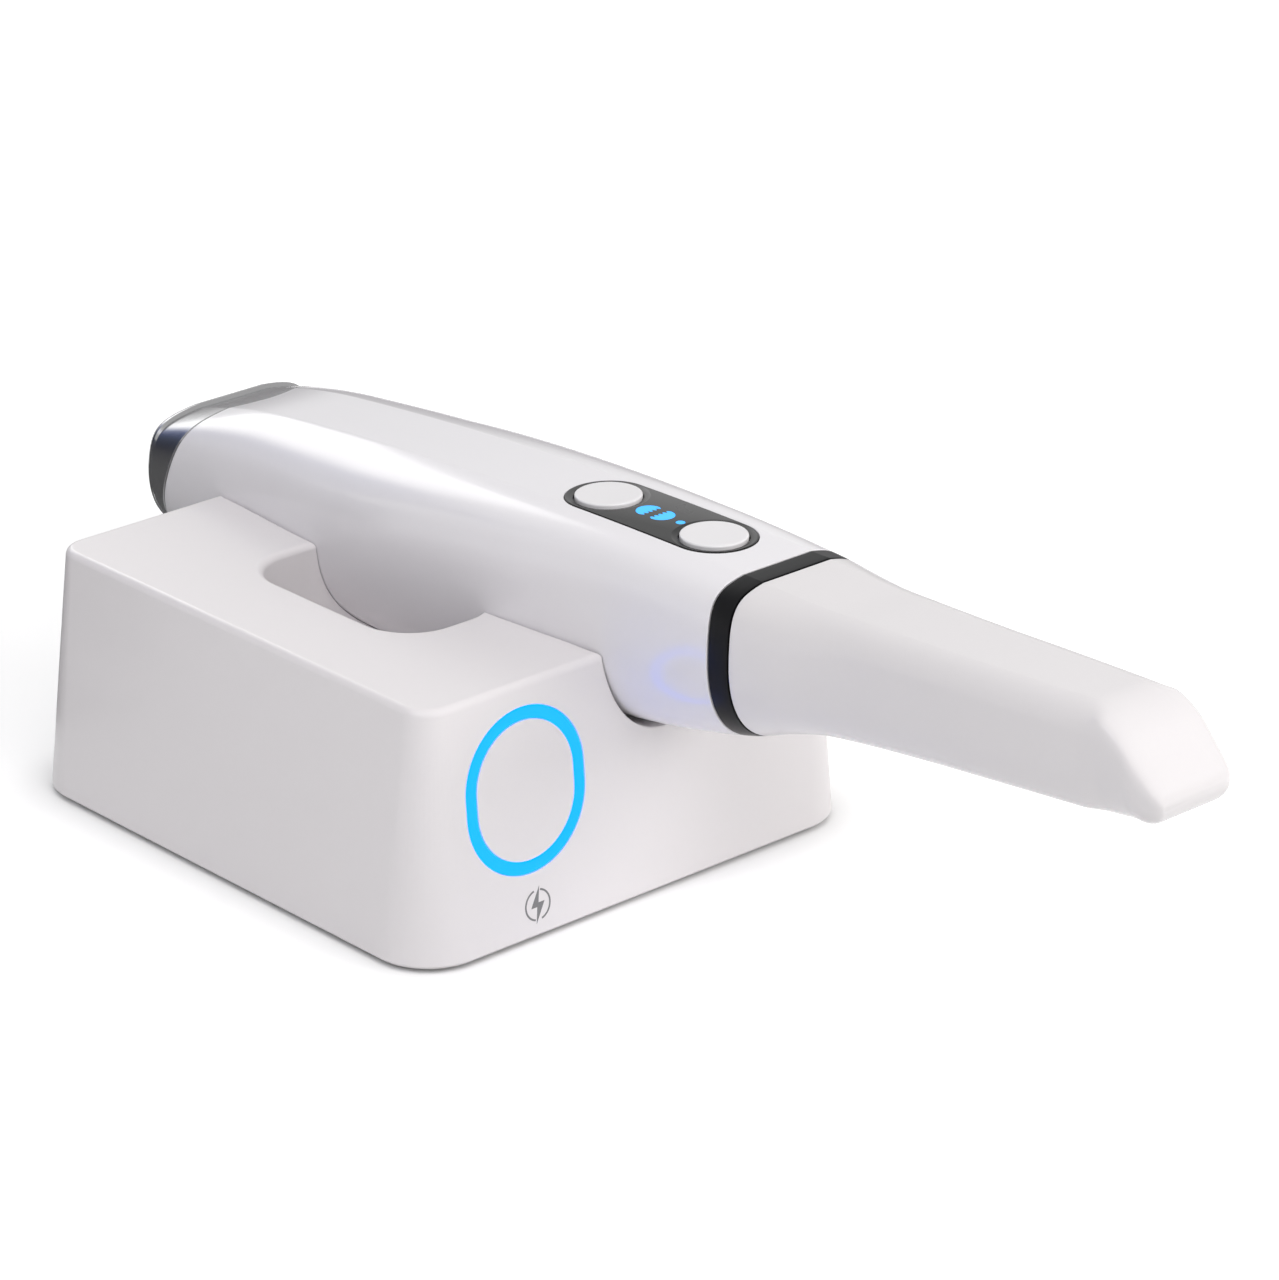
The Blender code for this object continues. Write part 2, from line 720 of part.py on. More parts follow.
def trough_cutter(name, clearance, looks, parent):
    """The handpiece's own belly, moved outwards by a clearance and open to the top."""
    flare = TROUGH_TOP_EDGE
    reach = DOCK_LENGTH / 2 + OVERCUT
    ys = list(np.linspace(reach, TROUGH_FLAT_FROM, TROUGH_ROWS)) + [-reach]
    rings = []
    for y in ys:
        lift = keel_height(max(y, TROUGH_FLAT_FROM)) - keel_height(y)
        outline = section_outline(y, -clearance)[: RING_POINTS // 2 + 1]
        right = outline[outline[:, 1] < middle_height(y)] + (0.0, min(lift, 0.0))
        edge_x = float(np.interp(-(DOCK_HEIGHT - flare), -right[:, 1], right[:, 0]))
        below = right[right[:, 1] < DOCK_HEIGHT - flare]
        below = evenly_spaced(np.vstack([[(edge_x, DOCK_HEIGHT - flare)], below]), TROUGH_STEPS)
        lip = [(edge_x + flare * 1.6, DOCK_HEIGHT + OVERCUT), (edge_x + flare, DOCK_HEIGHT)]
        lip += [(edge_x + flare * 0.3, DOCK_HEIGHT - flare * 0.35)]
        side = np.vstack([lip, below[:-1]])
        left = side[::-1] * (-1, 1)
        flat = np.vstack([side, left])
        rings.append(np.column_stack([flat[:, 0] + HANDPIECE_X, np.full(len(flat), y), flat[:, 1]]))
    return ring_solid(name, rings, looks["white_shell"], parent)


def recess_cutter(name, offset, looks, parent):
    """Finger recess beside the trough, with a soft rim and a rounded floor."""
    middle = ((RECESS_LEFT + RECESS_RIGHT) / 2, (RECESS_FRONT + RECESS_REAR) / 2)
    half_x = (RECESS_RIGHT - RECESS_LEFT) / 2 + offset
    half_y = (RECESS_REAR - RECESS_FRONT) / 2 + offset
    floor = RECESS_FLOOR - offset

    def ring(height, inset):
        outline = rounded_rectangle(half_x - inset, half_y - inset, RECESS_CORNER + offset - inset)
        return np.column_stack([outline + middle, np.full(len(outline), height)])

    rings = [ring(DOCK_HEIGHT + above, -RECESS_TOP_EDGE) for above in (OVERCUT, HAIR)]
    for step in range(1, RECESS_TOP_STEPS + 1):
        angle = math.pi / 2 * step / RECESS_TOP_STEPS
        rings.append(
            ring(
                DOCK_HEIGHT - RECESS_TOP_EDGE * (1 - math.cos(angle)),
                -RECESS_TOP_EDGE * (1 - math.sin(angle)),
            )
        )
    edge = RECESS_FLOOR_EDGE
    for step in range(RECESS_FLOOR_STEPS + 1):
        angle = math.pi / 2 * step / RECESS_FLOOR_STEPS
        rings.append(ring(floor + edge * (1 - math.sin(angle)), edge * (1 - math.cos(angle))))
    return ring_solid(name, rings, looks["white_shell"], parent)


def boss_places():
    x = DOCK_WIDTH / 2 - BOSS_INSET
    y = DOCK_LENGTH / 2 - BOSS_INSET
    return [(x, y), (-x, y), (-x, -y), (x, -y)]


def front_frame(height):
    """Place and tilt of a drawing on the leaning front wall, centred on the light ring's
    line. Its Z points out of the wall and its Y up the slope."""
    lean = math.atan2(DOCK_LEAN, DOCK_HEIGHT)
    return (RING_X, -DOCK_LENGTH / 2 + DOCK_LEAN * height / DOCK_HEIGHT, height), math.pi / 2 - lean


def ring_outline(offset):
    half = RING_WIDTH / 2 + offset
    return rounded_rectangle(half, RING_LENGTH / 2 + offset, half, steps=RING_STEPS)


def ring_band(name, outer, inner, low, high, look, parent):
    """Obround band between two offsets from the ring's outer edge."""
    place, tilt = front_frame(RING_HEIGHT_ABOVE_RIM)
    corners = ((outer, low), (outer, high), (inner, high), (inner, low))
    rings = []
    for offset, height in corners:
        outline = ring_outline(offset)
        rings.append(np.column_stack([outline, np.full(len(outline), height)]))
    return ring_solid(name, rings, look, parent, loop=True, origin=place, tilt=tilt)


def peg_places():
    half = (RING_WIDTH - RING_BAND) / 2
    rise = (RING_LENGTH - RING_BAND) / 2
    return [(half, 0.0), (0.0, rise), (-half, 0.0), (0.0, -rise)]


def pegs(radius, low, high, looks, parent, name):
    place, tilt = front_frame(RING_HEIGHT_ABOVE_RIM)
    made = []
    for number, (x, y) in enumerate(peg_places(), start=1):
        outline = circle(radius, TINY_ROUND) + (x, y)
        made.append(
            extruded(f"{name}_{number}", outline, low, high, looks["blue_light"], parent, place, tilt)
        )
    return made


def make_dock_shell(looks, dock):
    cavity_top = DOCK_HEIGHT - DOCK_WALL
    outer = [dock_ring(0.0, DOCK_FOOT_EDGE), dock_ring(DOCK_FOOT_EDGE), dock_ring(DOCK_HEIGHT / 2)]
    outer += edge_rings(dock_ring, DOCK_HEIGHT, DOCK_TOP_EDGE)
    shell = ring_solid("dock_shell", outer, looks["white_shell"], dock)
    cavity_rings = [dock_ring(-OVERCUT, DOCK_WALL), dock_ring(DOCK_HEIGHT / 2, DOCK_WALL)]
    cavity_rings += [dock_ring(cavity_top, DOCK_WALL)]
    cavity = ring_solid("dock_cavity", cavity_rings, looks["inner_plastic"], dock)
    kept = [
        trough_cutter("trough_wall", TROUGH_CLEARANCE + TROUGH_WALL, looks, dock),
        recess_cutter("recess_wall", TROUGH_WALL, looks, dock),
    ]
    boss_foot = BASE_THICKNESS + GAP
    for number, (x, y) in enumerate(boss_places(), start=1):
        outline = circle(BOSS_RADIUS, SMALL_ROUND)
        kept.append(
            extruded(
                f"boss_{number}", outline, boss_foot, DOCK_HEIGHT, looks["white_shell"], dock, (x, y, 0)
            )
        )
    cut(cavity, *kept)
    cutters = [
        cavity,
        trough_cutter("trough", TROUGH_CLEARANCE, looks, dock),
        recess_cutter("finger_recess", 0.0, looks, dock),
        ring_band(
            "ring_groove", GAP, -RING_BAND - GAP, -RING_DEPTH - GAP, OVERCUT, looks["blue_light"], dock
        ),
    ]
    cutters += pegs(RING_PEG_RADIUS + GAP, -DOCK_WALL - OVERCUT, -RING_DEPTH, looks, dock, "peg_hole")
    inlet_hole = rounded_rectangle(
        INLET_WIDTH / 2 + GAP, INLET_HEIGHT / 2 + GAP, INLET_HEIGHT / 2 + GAP
    )
    cutters.append(
        extruded(
            "inlet_hole", inlet_hole, -OVERCUT, DOCK_WALL + OVERCUT, looks["steel"], dock,
            inlet_place(), math.pi / 2,
        )
    )
    for number, (x, y) in enumerate(boss_places(), start=1):
        outline = circle(SCREW_RADIUS + GAP, SCREW_ROUND)
        depth = SCREW_LENGTH + OVERCUT
        cutters.append(
            extruded(f"pilot_{number}", outline, -OVERCUT, depth, looks["steel"], dock, (x, y, 0))
        )
    cut(shell, *cutters)
    return shell


def inlet_place():
    """Middle of the socket's mouth, on the rear wall."""
    height = DOCK_BOARD_RISE + BASE_THICKNESS + BOARD_THICKNESS + GAP + INLET_HEIGHT / 2
    rear = DOCK_LENGTH / 2 - DOCK_LEAN * height / DOCK_HEIGHT
    return (DOCK_BOARD_CENTRE[0], rear - GAP, height)


def make_power_inlet(looks, dock):
    """Metal socket with a tongue, as small chargers have."""
    outer = rounded_rectangle(INLET_WIDTH / 2, INLET_HEIGHT / 2, INLET_HEIGHT / 2)
    inner = inset_outline(outer, INLET_WALL)
    rings = []
    for outline, depth in ((inner, INLET_FLOOR), (inner, 0.0), (outer, 0.0), (outer, INLET_DEPTH)):
        rings.append(np.column_stack([outline, np.full(len(outline), depth)]))
    inlet = ring_solid(
        "power_inlet", rings, looks["steel"], dock, origin=inlet_place(), tilt=math.pi / 2
    )
    half = TONGUE_HALF_WIDTH
    tongue = block(
        "inlet_tongue",
        (-half, -INLET_TONGUE / 2, TONGUE_SETBACK),
        (half, INLET_TONGUE / 2, INLET_FLOOR + SINK),
        looks["inner_plastic"],
        dock,
        inlet_place(),
        math.pi / 2,
    )
    fuse(inlet, tongue)


def coil_middle():
    """Middle of the charging coil's top, under the trough."""
    y = RECEIVER_Y
    floor = keel_height(y) - TROUGH_CLEARANCE - TROUGH_WALL
    return (HANDPIECE_X, y, floor - GAP - COIL_DROP)


def flat_coil(name, middle, width, length, hole, thickness, look, parent):
    """Flat winding with round ends, drawn down from its top."""
    x, y, top = middle
    outer = rounded_rectangle(width / 2, length / 2, width / 2, steps=COIL_STEPS)
    inner = rounded_rectangle(hole / 2, length / 2 - (width - hole) / 2, hole / 2, steps=COIL_STEPS)
    rings = []
    for outline, height in ((outer, 0.0), (outer, -thickness), (inner, -thickness), (inner, 0.0)):
        rings.append(np.column_stack([outline, np.full(len(outline), height)]))
    return ring_solid(name, rings, look, parent, loop=True, origin=(x, y, top))


def make_dock_charger(looks, dock):
    x, y, top = coil_middle()
    flat_coil(
        "charging_coil", (x, y, top), COIL_WIDTH, COIL_LENGTH, COIL_HOLE, COIL_THICKNESS,
        looks["copper"], dock,
    )
    half_x = COIL_WIDTH / 2 + FERRITE_MARGIN
    half_y = COIL_LENGTH / 2 + FERRITE_MARGIN
    plate = rounded_rectangle(half_x, half_y, PLATE_CORNER)
    high = -COIL_THICKNESS - GAP
    extruded(
        "coil_ferrite", plate, high - FERRITE_THICKNESS, high, looks["ferrite"], dock, (x, y, top)
    )
    return top + high - FERRITE_THICKNESS - GAP


def coil_post_places():
    x, y, _ = coil_middle()
    reach = COIL_LENGTH / 2 - COIL_POST_INSET
    across = COIL_WIDTH / 2 - POST_RADIUS
    return [(x + sx * across, y + sy * reach, 0) for sx in (-1, 1) for sy in (-1, 1)]


def make_base_plate(looks, dock, post_top):
    outline = dock_ring(0.0, DOCK_WALL + GAP)[:, :2]
    plate = extruded("base_plate", outline, 0.0, BASE_THICKNESS, looks["inner_plastic"], dock)
    posts = [(place, post_top) for place in coil_post_places()]
    board_x, board_y = DOCK_BOARD_CENTRE
    for sx in (-1, 1):
        for sy in (-1, 1):
            along = sy * BOARD_POST_ALONG
            place = (board_x + sx * (DOCK_BOARD_WIDTH / 2 - BOARD_POST_INSET), board_y + along, 0)
            posts.append((place, BASE_THICKNESS + DOCK_BOARD_RISE - GAP))
    added = []
    for number, (place, top) in enumerate(posts, start=1):
        outline = circle(POST_RADIUS, TINY_ROUND)
        foot = BASE_THICKNESS / 2
        added.append(
            extruded(f"post_{number}", outline, foot, top, looks["inner_plastic"], dock, place)
        )
    fuse(plate, *added)
    mat_pocket = rounded_mat(GAP)
    pocket_depth = MAT_THICKNESS - MAT_PROUD + GAP
    cutters = [
        extruded("mat_pocket", mat_pocket, -OVERCUT, pocket_depth, looks["rubber"], dock)
    ]
    high = BASE_THICKNESS + OVERCUT
    for number, (x, y) in enumerate(boss_places(), start=1):
        hole = circle(SCREW_RADIUS + GAP, SCREW_ROUND)
        cutters.append(
            extruded(f"screw_hole_{number}", hole, -OVERCUT, high, looks["steel"], dock, (x, y, 0))
        )
    cut(plate, *cutters)


def rounded_mat(margin):
    half_x = DOCK_WIDTH / 2 - MAT_MARGIN + margin
    half_y = DOCK_LENGTH / 2 - MAT_MARGIN + margin
    return rounded_rectangle(half_x, half_y, DOCK_CORNER_FOOT - MAT_MARGIN / 2 + margin)


def make_mat(looks, dock):
    """Soft mat that the dock stands on. It covers the screws, with a hollow for each head."""
    mat = extruded(
        "non_slip_mat", rounded_mat(0.0), -MAT_PROUD, MAT_THICKNESS - MAT_PROUD, looks["rubber"], dock
    )
    cutters = []
    for number, (x, y) in enumerate(boss_places(), start=1):
        hollow = circle(SCREW_HEAD_RADIUS + GAP, SMALL_ROUND)
        low = MAT_THICKNESS - MAT_PROUD - SCREW_HEAD_HEIGHT - GAP
        cutters.append(
            extruded(f"head_hollow_{number}", hollow, low, OVERCUT, looks["rubber"], dock, (x, y, 0))
        )
    cut(mat, *cutters)


def make_base_screws(looks, dock):
    """Pan-head screws up through the base plate into the shell's bosses."""
    seat = MAT_THICKNESS - MAT_PROUD + GAP
    head = seat - GAP - SCREW_HEAD_HEIGHT
    socket = SCREW_HEAD_RADIUS / 2
    profile = [
        (0.0, head + SCREW_SOCKET_DEPTH),
        (socket, head + SCREW_SOCKET_DEPTH),
        (socket, head),
        (SCREW_HEAD_RADIUS - SCREW_HEAD_EDGE, head),
        (SCREW_HEAD_RADIUS, head + SCREW_HEAD_EDGE),
        (SCREW_HEAD_RADIUS, seat - GAP),
        (SCREW_RADIUS, seat - GAP),
        (SCREW_RADIUS / 2, SCREW_LENGTH),
        (0.0, SCREW_LENGTH),
    ]
    for number, (x, y) in enumerate(boss_places(), start=1):
        lathe(
            f"base_screw_{number}", profile, looks["steel"], dock, (x, y, 0), steps=SCREW_ROUND,
            hexed=(1, 2),
        )


def make_light_ring(looks, dock):
    """Light guide in the front wall, with a peg at each quarter that reaches the lamps."""
    ring = ring_band(
        "light_ring", 0.0, -RING_BAND, -RING_DEPTH, RING_PROUD, looks["blue_light"], dock
    )
    peg_end = -DOCK_WALL - PEG_OVERHANG
    fuse(ring, *pegs(RING_PEG_RADIUS, peg_end, -RING_DEPTH + SINK, looks, dock, "peg"))
    back = peg_end - GAP
    place, tilt = front_frame(RING_HEIGHT_ABOVE_RIM)
    board = extruded(
        "light_ring_board", ring_outline(LAMP_BOARD_MARGIN), back - BOARD_THICKNESS, back,
        looks["circuit_board"], dock, place, tilt,
    )
    opening = extruded(
        "lamp_board_hole", ring_outline(LAMP_BOARD_HOLE - RING_WIDTH / 2),
        back - BOARD_THICKNESS - OVERCUT, back + OVERCUT, looks["circuit_board"], dock, place, tilt,
    )
    cut(board, opening)


def make_dock_boards(looks, dock):
    x, y = DOCK_BOARD_CENTRE
    low = BASE_THICKNESS + DOCK_BOARD_RISE
    half_x = DOCK_BOARD_WIDTH / 2
    board_rear = inlet_place()[1] - DOCK_BOARD_SETBACK - y
    board = block(
        "dock_main_board",
        (-half_x, -DOCK_BOARD_LENGTH / 2, low),
        (half_x, board_rear, low + BOARD_THICKNESS),
        looks["circuit_board"],
        dock,
        (x, y, 0),
    )
    chips = []
    top = low + BOARD_THICKNESS
    for number, (cx, cy, size, rise) in enumerate(DOCK_CHIPS, start=1):
        chips.append(
            block(
                f"dock_chip_{number}",
                (cx - size / 2, cy - size / 2, top - SINK),
                (cx + size / 2, cy + size / 2, top + rise),
                looks["inner_plastic"],
                dock,
                (x, y, 0),
            )
        )
    fuse(board, *chips)
    front = max(place[1] for place in coil_post_places()) + POST_RADIUS + BALLAST_CLEARANCE
    rear = DOCK_LENGTH / 2 - DOCK_WALL - DOCK_LEAN - BALLAST_CLEARANCE
    outline = rounded_rectangle(BALLAST_WIDTH / 2, (rear - front) / 2, BALLAST_CORNER)
    low = BASE_THICKNESS + GAP
    extruded(
        "ballast_plate", outline, low, low + BALLAST_HEIGHT, looks["steel"], dock,
        (BALLAST_X, (front + rear) / 2, 0),
    )


# Handpiece

def lay(place, sizes):
    """Corners of a block from its middle in X, its front in Y and its foot in Z."""
    x, y, z = place
    width, length, height = sizes
    return (x - width / 2, y, z), (x + width / 2, y + length, z + height)


def make_body_shell(looks, handpiece):
    seam = seam_ys()
    front = COLLAR_REAR + GAP
    outer_shares = np.linspace(0, 1, BODY_ROWS)
    rings = [section_ring(mixed(seam, front, share)) for share in outer_shares]
    inner_shares = np.linspace(0, 1, BODY_INNER_ROWS)[::-1]
    rings += [section_ring(mixed(seam, front, share), SHELL_WALL) for share in inner_shares]
    shell = ring_solid("body_shell", rings, looks["white_shell"], handpiece, loop=True)
    cutters = [panel_solid("panel_pocket", PANEL_FIT, -PANEL_THICKNESS - GAP, OVERCUT, looks, handpiece)]
    for name, y in (("rear_shaft", PANEL_REAR_CENTRE), ("front_shaft", PANEL_FRONT_CENTRE)):
        place, tilt = facet_frame(y)
        outline = circle(BUTTON_RADIUS + GAP, FINE_ROUND)
        cutters.append(
            extruded(
                name, outline, -SHELL_WALL - OVERCUT, OVERCUT, looks["button_white"], handpiece, place,
                tilt,
            )
        )
    low, high = guide_span()
    half = JAW_WIDTH / 2 + GAP
    under = TOP_PEAK_HEIGHT - SHELL_WALL - OVERCUT
    over = TOP_PEAK_HEIGHT + OVERCUT
    cutters.append(
        block("guide_slot", (-half, low, under), (half, high, over), looks["blue_light"], handpiece)
    )
    cut(shell, *cutters)


def make_tail_cap(looks, handpiece):
    """Glossy cap with a lip that plugs into the shell."""
    seam = seam_ys() + GAP
    lip = seam - GAP - CAP_LIP_LENGTH
    lip_outside = SHELL_WALL + GAP
    lip_inside = lip_outside + CAP_LIP

    def rim_ring(inset, back, shrink=1.0):
        ring = section_ring(RIM_SECTION_Y, inset)
        middle = tail_middle()
        ring[:, 0] *= shrink
        ring[:, 2] = middle + (ring[:, 2] - middle) * shrink
        ring[:, 1] = rim_y(ring[:, 2]) - back
        return ring

    rings = [rim_ring(TAIL_EDGE, 0.0, RIM_SHRINK)]
    for step in range(EDGE_STEPS, -1, -1):
        angle = math.pi / 2 * step / EDGE_STEPS
        rings.append(rim_ring(TAIL_EDGE * (1 - math.cos(angle)), TAIL_EDGE * (1 - math.sin(angle))))
    start = rings[-1][:, 1]
    for row in range(1, CAP_ROWS + 1):
        rings.append(section_ring(mixed(start, seam, row / CAP_ROWS)))
    rings.append(section_ring(seam, lip_outside))
    rings.append(section_ring(lip, lip_outside))
    rings.append(section_ring(lip, lip_inside))
    floor_inset = lip_inside + CAP_FLOOR_INSET
    inner_start = rim_ring(floor_inset, TAIL_EDGE + SHELL_WALL)
    rings.append(section_ring(mixed(seam, inner_start[:, 1], 0.8), lip_inside))
    rings.append(rim_ring(floor_inset, SHELL_WALL + CAP_FLOOR_SINK))
    rings.append(rim_ring(floor_inset, SHELL_WALL, RIM_SHRINK))
    middle = tail_middle()
    outer_centre = (0.0, float(rim_y(middle)) + CAP_DOME, middle)
    inner_centre = (0.0, float(rim_y(middle)) - SHELL_WALL, middle)
    ring_solid("tail_cap", rings, looks["gunmetal_cap"], handpiece, first=outer_centre, last=inner_centre)


def make_collar(looks, handpiece):
    rings = []
    for y, inset in (
        (COLLAR_REAR - COLLAR_EDGE, 0.0),
        (COLLAR_FRONT + COLLAR_EDGE, 0.0),
        (COLLAR_FRONT, COLLAR_EDGE),
        (COLLAR_FRONT, COLLAR_WALL),
        (COLLAR_REAR, COLLAR_WALL),
        (COLLAR_REAR, COLLAR_EDGE),
    ):
        rings.append(section_ring(y, inset))
    ring_solid("front_collar", rings, looks["black_collar"], handpiece, loop=True)


def facet_frame(y):
    """Place and tilt of a drawing on the top facet, with its Z along the facet's normal."""
    slope = (top_height(y + SLOPE_STEP) - top_height(y - SLOPE_STEP)) / (2 * SLOPE_STEP)
    return (0.0, y, top_height(y)), math.atan(slope)


def panel_solid(name, margin, low, high, looks, handpiece):
    """Long panel with round ends that follows the facet between two depths."""
    radius = PANEL_HALF_WIDTH + margin
    rows = []
    for step in range(PANEL_END_STEPS + 1):
        angle = math.pi / 2 * (1 - step / PANEL_END_STEPS)
        half = max(radius * math.cos(angle), PANEL_END)
        rows.append((PANEL_REAR_CENTRE + radius * math.sin(angle), half))
    middle = (PANEL_REAR_CENTRE + PANEL_FRONT_CENTRE) / 2
    rows.append((middle, radius))
    mirrored = [(2 * middle - y, half) for y, half in rows[-2::-1]]
    rings = []
    for y, half in rows + mirrored:
        top = top_height(y)
        corners = ((half, low), (half, high), (-half, high), (-half, low))
        rings.append([(x, y, top + rise) for x, rise in corners])
    return ring_solid(name, rings, looks["panel_black"], handpiece)


def jaw_outline(y, towards, margin):
    """Half-round row of teeth. Its teeth point along Y in the direction given."""
    half = JAW_WIDTH / 2 + margin
    depth = JAW_DEPTH + margin
    points = []
    for step in range(JAW_ARC_STEPS + 1):
        angle = math.pi * step / JAW_ARC_STEPS
        points.append((half * math.cos(angle), -towards * depth * math.sin(angle)))
    steps = JAW_TEETH * JAW_TOOTH_STEPS
    for step in range(1, steps):
        x = -half + 2 * half * step / steps
        wave = abs(math.sin(math.pi * JAW_TEETH * step / steps))
        points.append((x, towards * (JAW_TOOTH * wave + margin)))
    return np.array(points) + (0.0, y)


def light_outlines(margin):
    return [
        jaw_outline(REAR_JAW_Y, -1, margin),
        jaw_outline(FRONT_JAW_Y, 1, margin),
        circle(DOT_RADIUS + margin, SMALL_ROUND) + (0.0, DOT_Y),
    ]


def guide_span():
    """Front and rear of the slot that the light guide's raised lights pass."""
    return DOT_Y - DOT_RADIUS - SLOT_MARGIN, REAR_JAW_Y + JAW_DEPTH + SLOT_MARGIN


def make_button_panel(looks, handpiece):
    panel = panel_solid("button_panel", 0.0, -PANEL_THICKNESS, PANEL_PROUD, looks, handpiece)
    cutters = []
    for name, y in (("rear", PANEL_REAR_CENTRE), ("front", PANEL_FRONT_CENTRE)):
        place, tilt = facet_frame(y)
        hole = circle(BUTTON_RADIUS + GAP, FINE_ROUND)
        cutters.append(
            extruded(
                f"{name}_hole", hole, -OVERCUT, OVERCUT, looks["panel_black"], handpiece, place, tilt
            )
        )
        floor = PANEL_PROUD - DISH_DEPTH
        slope = DISH_DEPTH / (DISH_RADIUS - BUTTON_RADIUS)
        dish = [
            (0.0, floor),
            (BUTTON_RADIUS, floor),
            (DISH_RADIUS + DISH_OVER, floor + slope * (DISH_RADIUS + DISH_OVER - BUTTON_RADIUS)),
            (DISH_RADIUS + DISH_OVER, OVERCUT),
            (0.0, OVERCUT),
        ]
        cutters.append(
            lathe(f"{name}_dish", dish, looks["panel_black"], handpiece, place, tilt, steps=FINE_ROUND)
        )
    low = TOP_PEAK_HEIGHT - OVERCUT
    high = TOP_PEAK_HEIGHT + OVERCUT
    for number, outline in enumerate(light_outlines(PANEL_FIT), start=1):
        cutters.append(
            extruded(f"light_hole_{number}", outline, low, high, looks["blue_light"], handpiece)
        )
    cut(panel, *cutters)


def make_button(name, y, looks, handpiece):
    """Round button whose flange stops under the shell. Its origin is on its travel axis."""
    place, tilt = facet_frame(y)
    top = PANEL_PROUD + BUTTON_PROUD
    flange_top = -SHELL_WALL - GAP
    flange_foot = flange_top - BUTTON_FLANGE
    edge = BUTTON_EDGE
    profile = [
        (0.0, flange_foot - BUTTON_STEM),
        (BUTTON_STEM_RADIUS, flange_foot - BUTTON_STEM),
        (BUTTON_STEM_RADIUS, flange_foot),
        (BUTTON_FLANGE_RADIUS, flange_foot),
        (BUTTON_FLANGE_RADIUS, flange_top),
        (BUTTON_RADIUS, flange_top),
        (BUTTON_RADIUS, top - edge),
        (BUTTON_RADIUS - edge * 0.3, top - edge * 0.3),
        (BUTTON_RADIUS - edge, top),
        (BUTTON_RADIUS * BUTTON_HOLLOW_START, top - BUTTON_HOLLOW / 2),
        (0.0, top - BUTTON_HOLLOW),
    ]
    lathe(name, profile, looks["button_white"], handpiece, place, tilt, steps=FINE_ROUND)


def make_light_guide(looks, handpiece):
    """One clear moulding: a plate under the shell with the jaws and the dot raised on it."""
    low, high = guide_span()
    middle = (low + high) / 2
    under = top_height(middle) - SHELL_WALL - GAP - GUIDE_DROP
    half = GUIDE_WIDTH / 2
    plate_front = PANEL_FRONT_CENTRE + BUTTON_FLANGE_RADIUS + GAP
    plate_rear = PANEL_REAR_CENTRE - BUTTON_FLANGE_RADIUS - GAP
    plate = block(
        "indicator_light_guide",
        (-half, plate_front, under - GUIDE_THICKNESS),
        (half, plate_rear, under),
        looks["blue_light"],
        handpiece,
    )
    raised = []
    for number, outline in enumerate(light_outlines(0.0), start=1):
        y = float(np.mean(outline[:, 1]))
        raised.append(
            extruded(
                f"raised_light_{number}", outline, under - SINK,
                top_height(y) + PANEL_PROUD - LIGHT_SINK, looks["blue_light"], handpiece,
            )
        )
    fuse(plate, *raised)


def switch_frame():
    """Place and tilt of the switch board's top, parallel to the line through both buttons."""
    rear, front = top_height(PANEL_REAR_CENTRE), top_height(PANEL_FRONT_CENTRE)
    tilt = math.atan2(rear - front, PANEL_REAR_CENTRE - PANEL_FRONT_CENTRE)
    stem = SHELL_WALL + GAP + BUTTON_FLANGE + BUTTON_STEM
    depth = stem + BUTTON_TRAVEL + HAIR + SWITCH_PLUNGER + SWITCH_HEIGHT + GAP
    middle = (PANEL_REAR_CENTRE + PANEL_FRONT_CENTRE) / 2
    return (0.0, middle, (rear + front) / 2 - depth), tilt


def make_switches(looks, handpiece):
    place, tilt = switch_frame()
    half_x = SWITCH_BOARD_WIDTH / 2
    half_y = SWITCH_BOARD_LENGTH / 2
    block(
        "switch_board", (-half_x, -half_y, -BOARD_THICKNESS), (half_x, half_y, 0.0),
        looks["circuit_board"], handpiece, place, tilt,
    )
    middle = (PANEL_REAR_CENTRE + PANEL_FRONT_CENTRE) / 2
    for name, y in (("rear_switch", PANEL_REAR_CENTRE), ("front_switch", PANEL_FRONT_CENTRE)):
        half = SWITCH_SIZE / 2
        along = y - middle
        body = block(
            name, (-half, along - half, GAP), (half, along + half, GAP + SWITCH_HEIGHT),
            looks["inner_plastic"], handpiece, place, tilt,
        )
        plunger = extruded(
            f"{name}_plunger", circle(SWITCH_PLUNGER_RADIUS, SMALL_ROUND) + (0.0, along),
            SWITCH_HEIGHT / 2, GAP + SWITCH_HEIGHT + SWITCH_PLUNGER, looks["inner_plastic"],
            handpiece, place, tilt,
        )
        fuse(body, plunger)


def deck_height():
    """Underside of the chassis deck, above the receiving coil and its ferrite."""
    return receiver_foot() + RECEIVER_THICKNESS + GAP + FERRITE_THICKNESS + GAP


def receiver_foot():
    ends = (RECEIVER_Y - RECEIVER_LENGTH / 2, RECEIVER_Y, RECEIVER_Y + RECEIVER_LENGTH / 2)
    return max(inner_floor(y, RECEIVER_WIDTH / 2) for y in ends) + GAP


def battery_height():
    return deck_height() + CHASSIS_THICKNESS + BATTERY_LIFT + BATTERY_RADIUS


def main_board_height():
    return battery_height() + BATTERY_RADIUS + MAIN_BOARD_LIFT


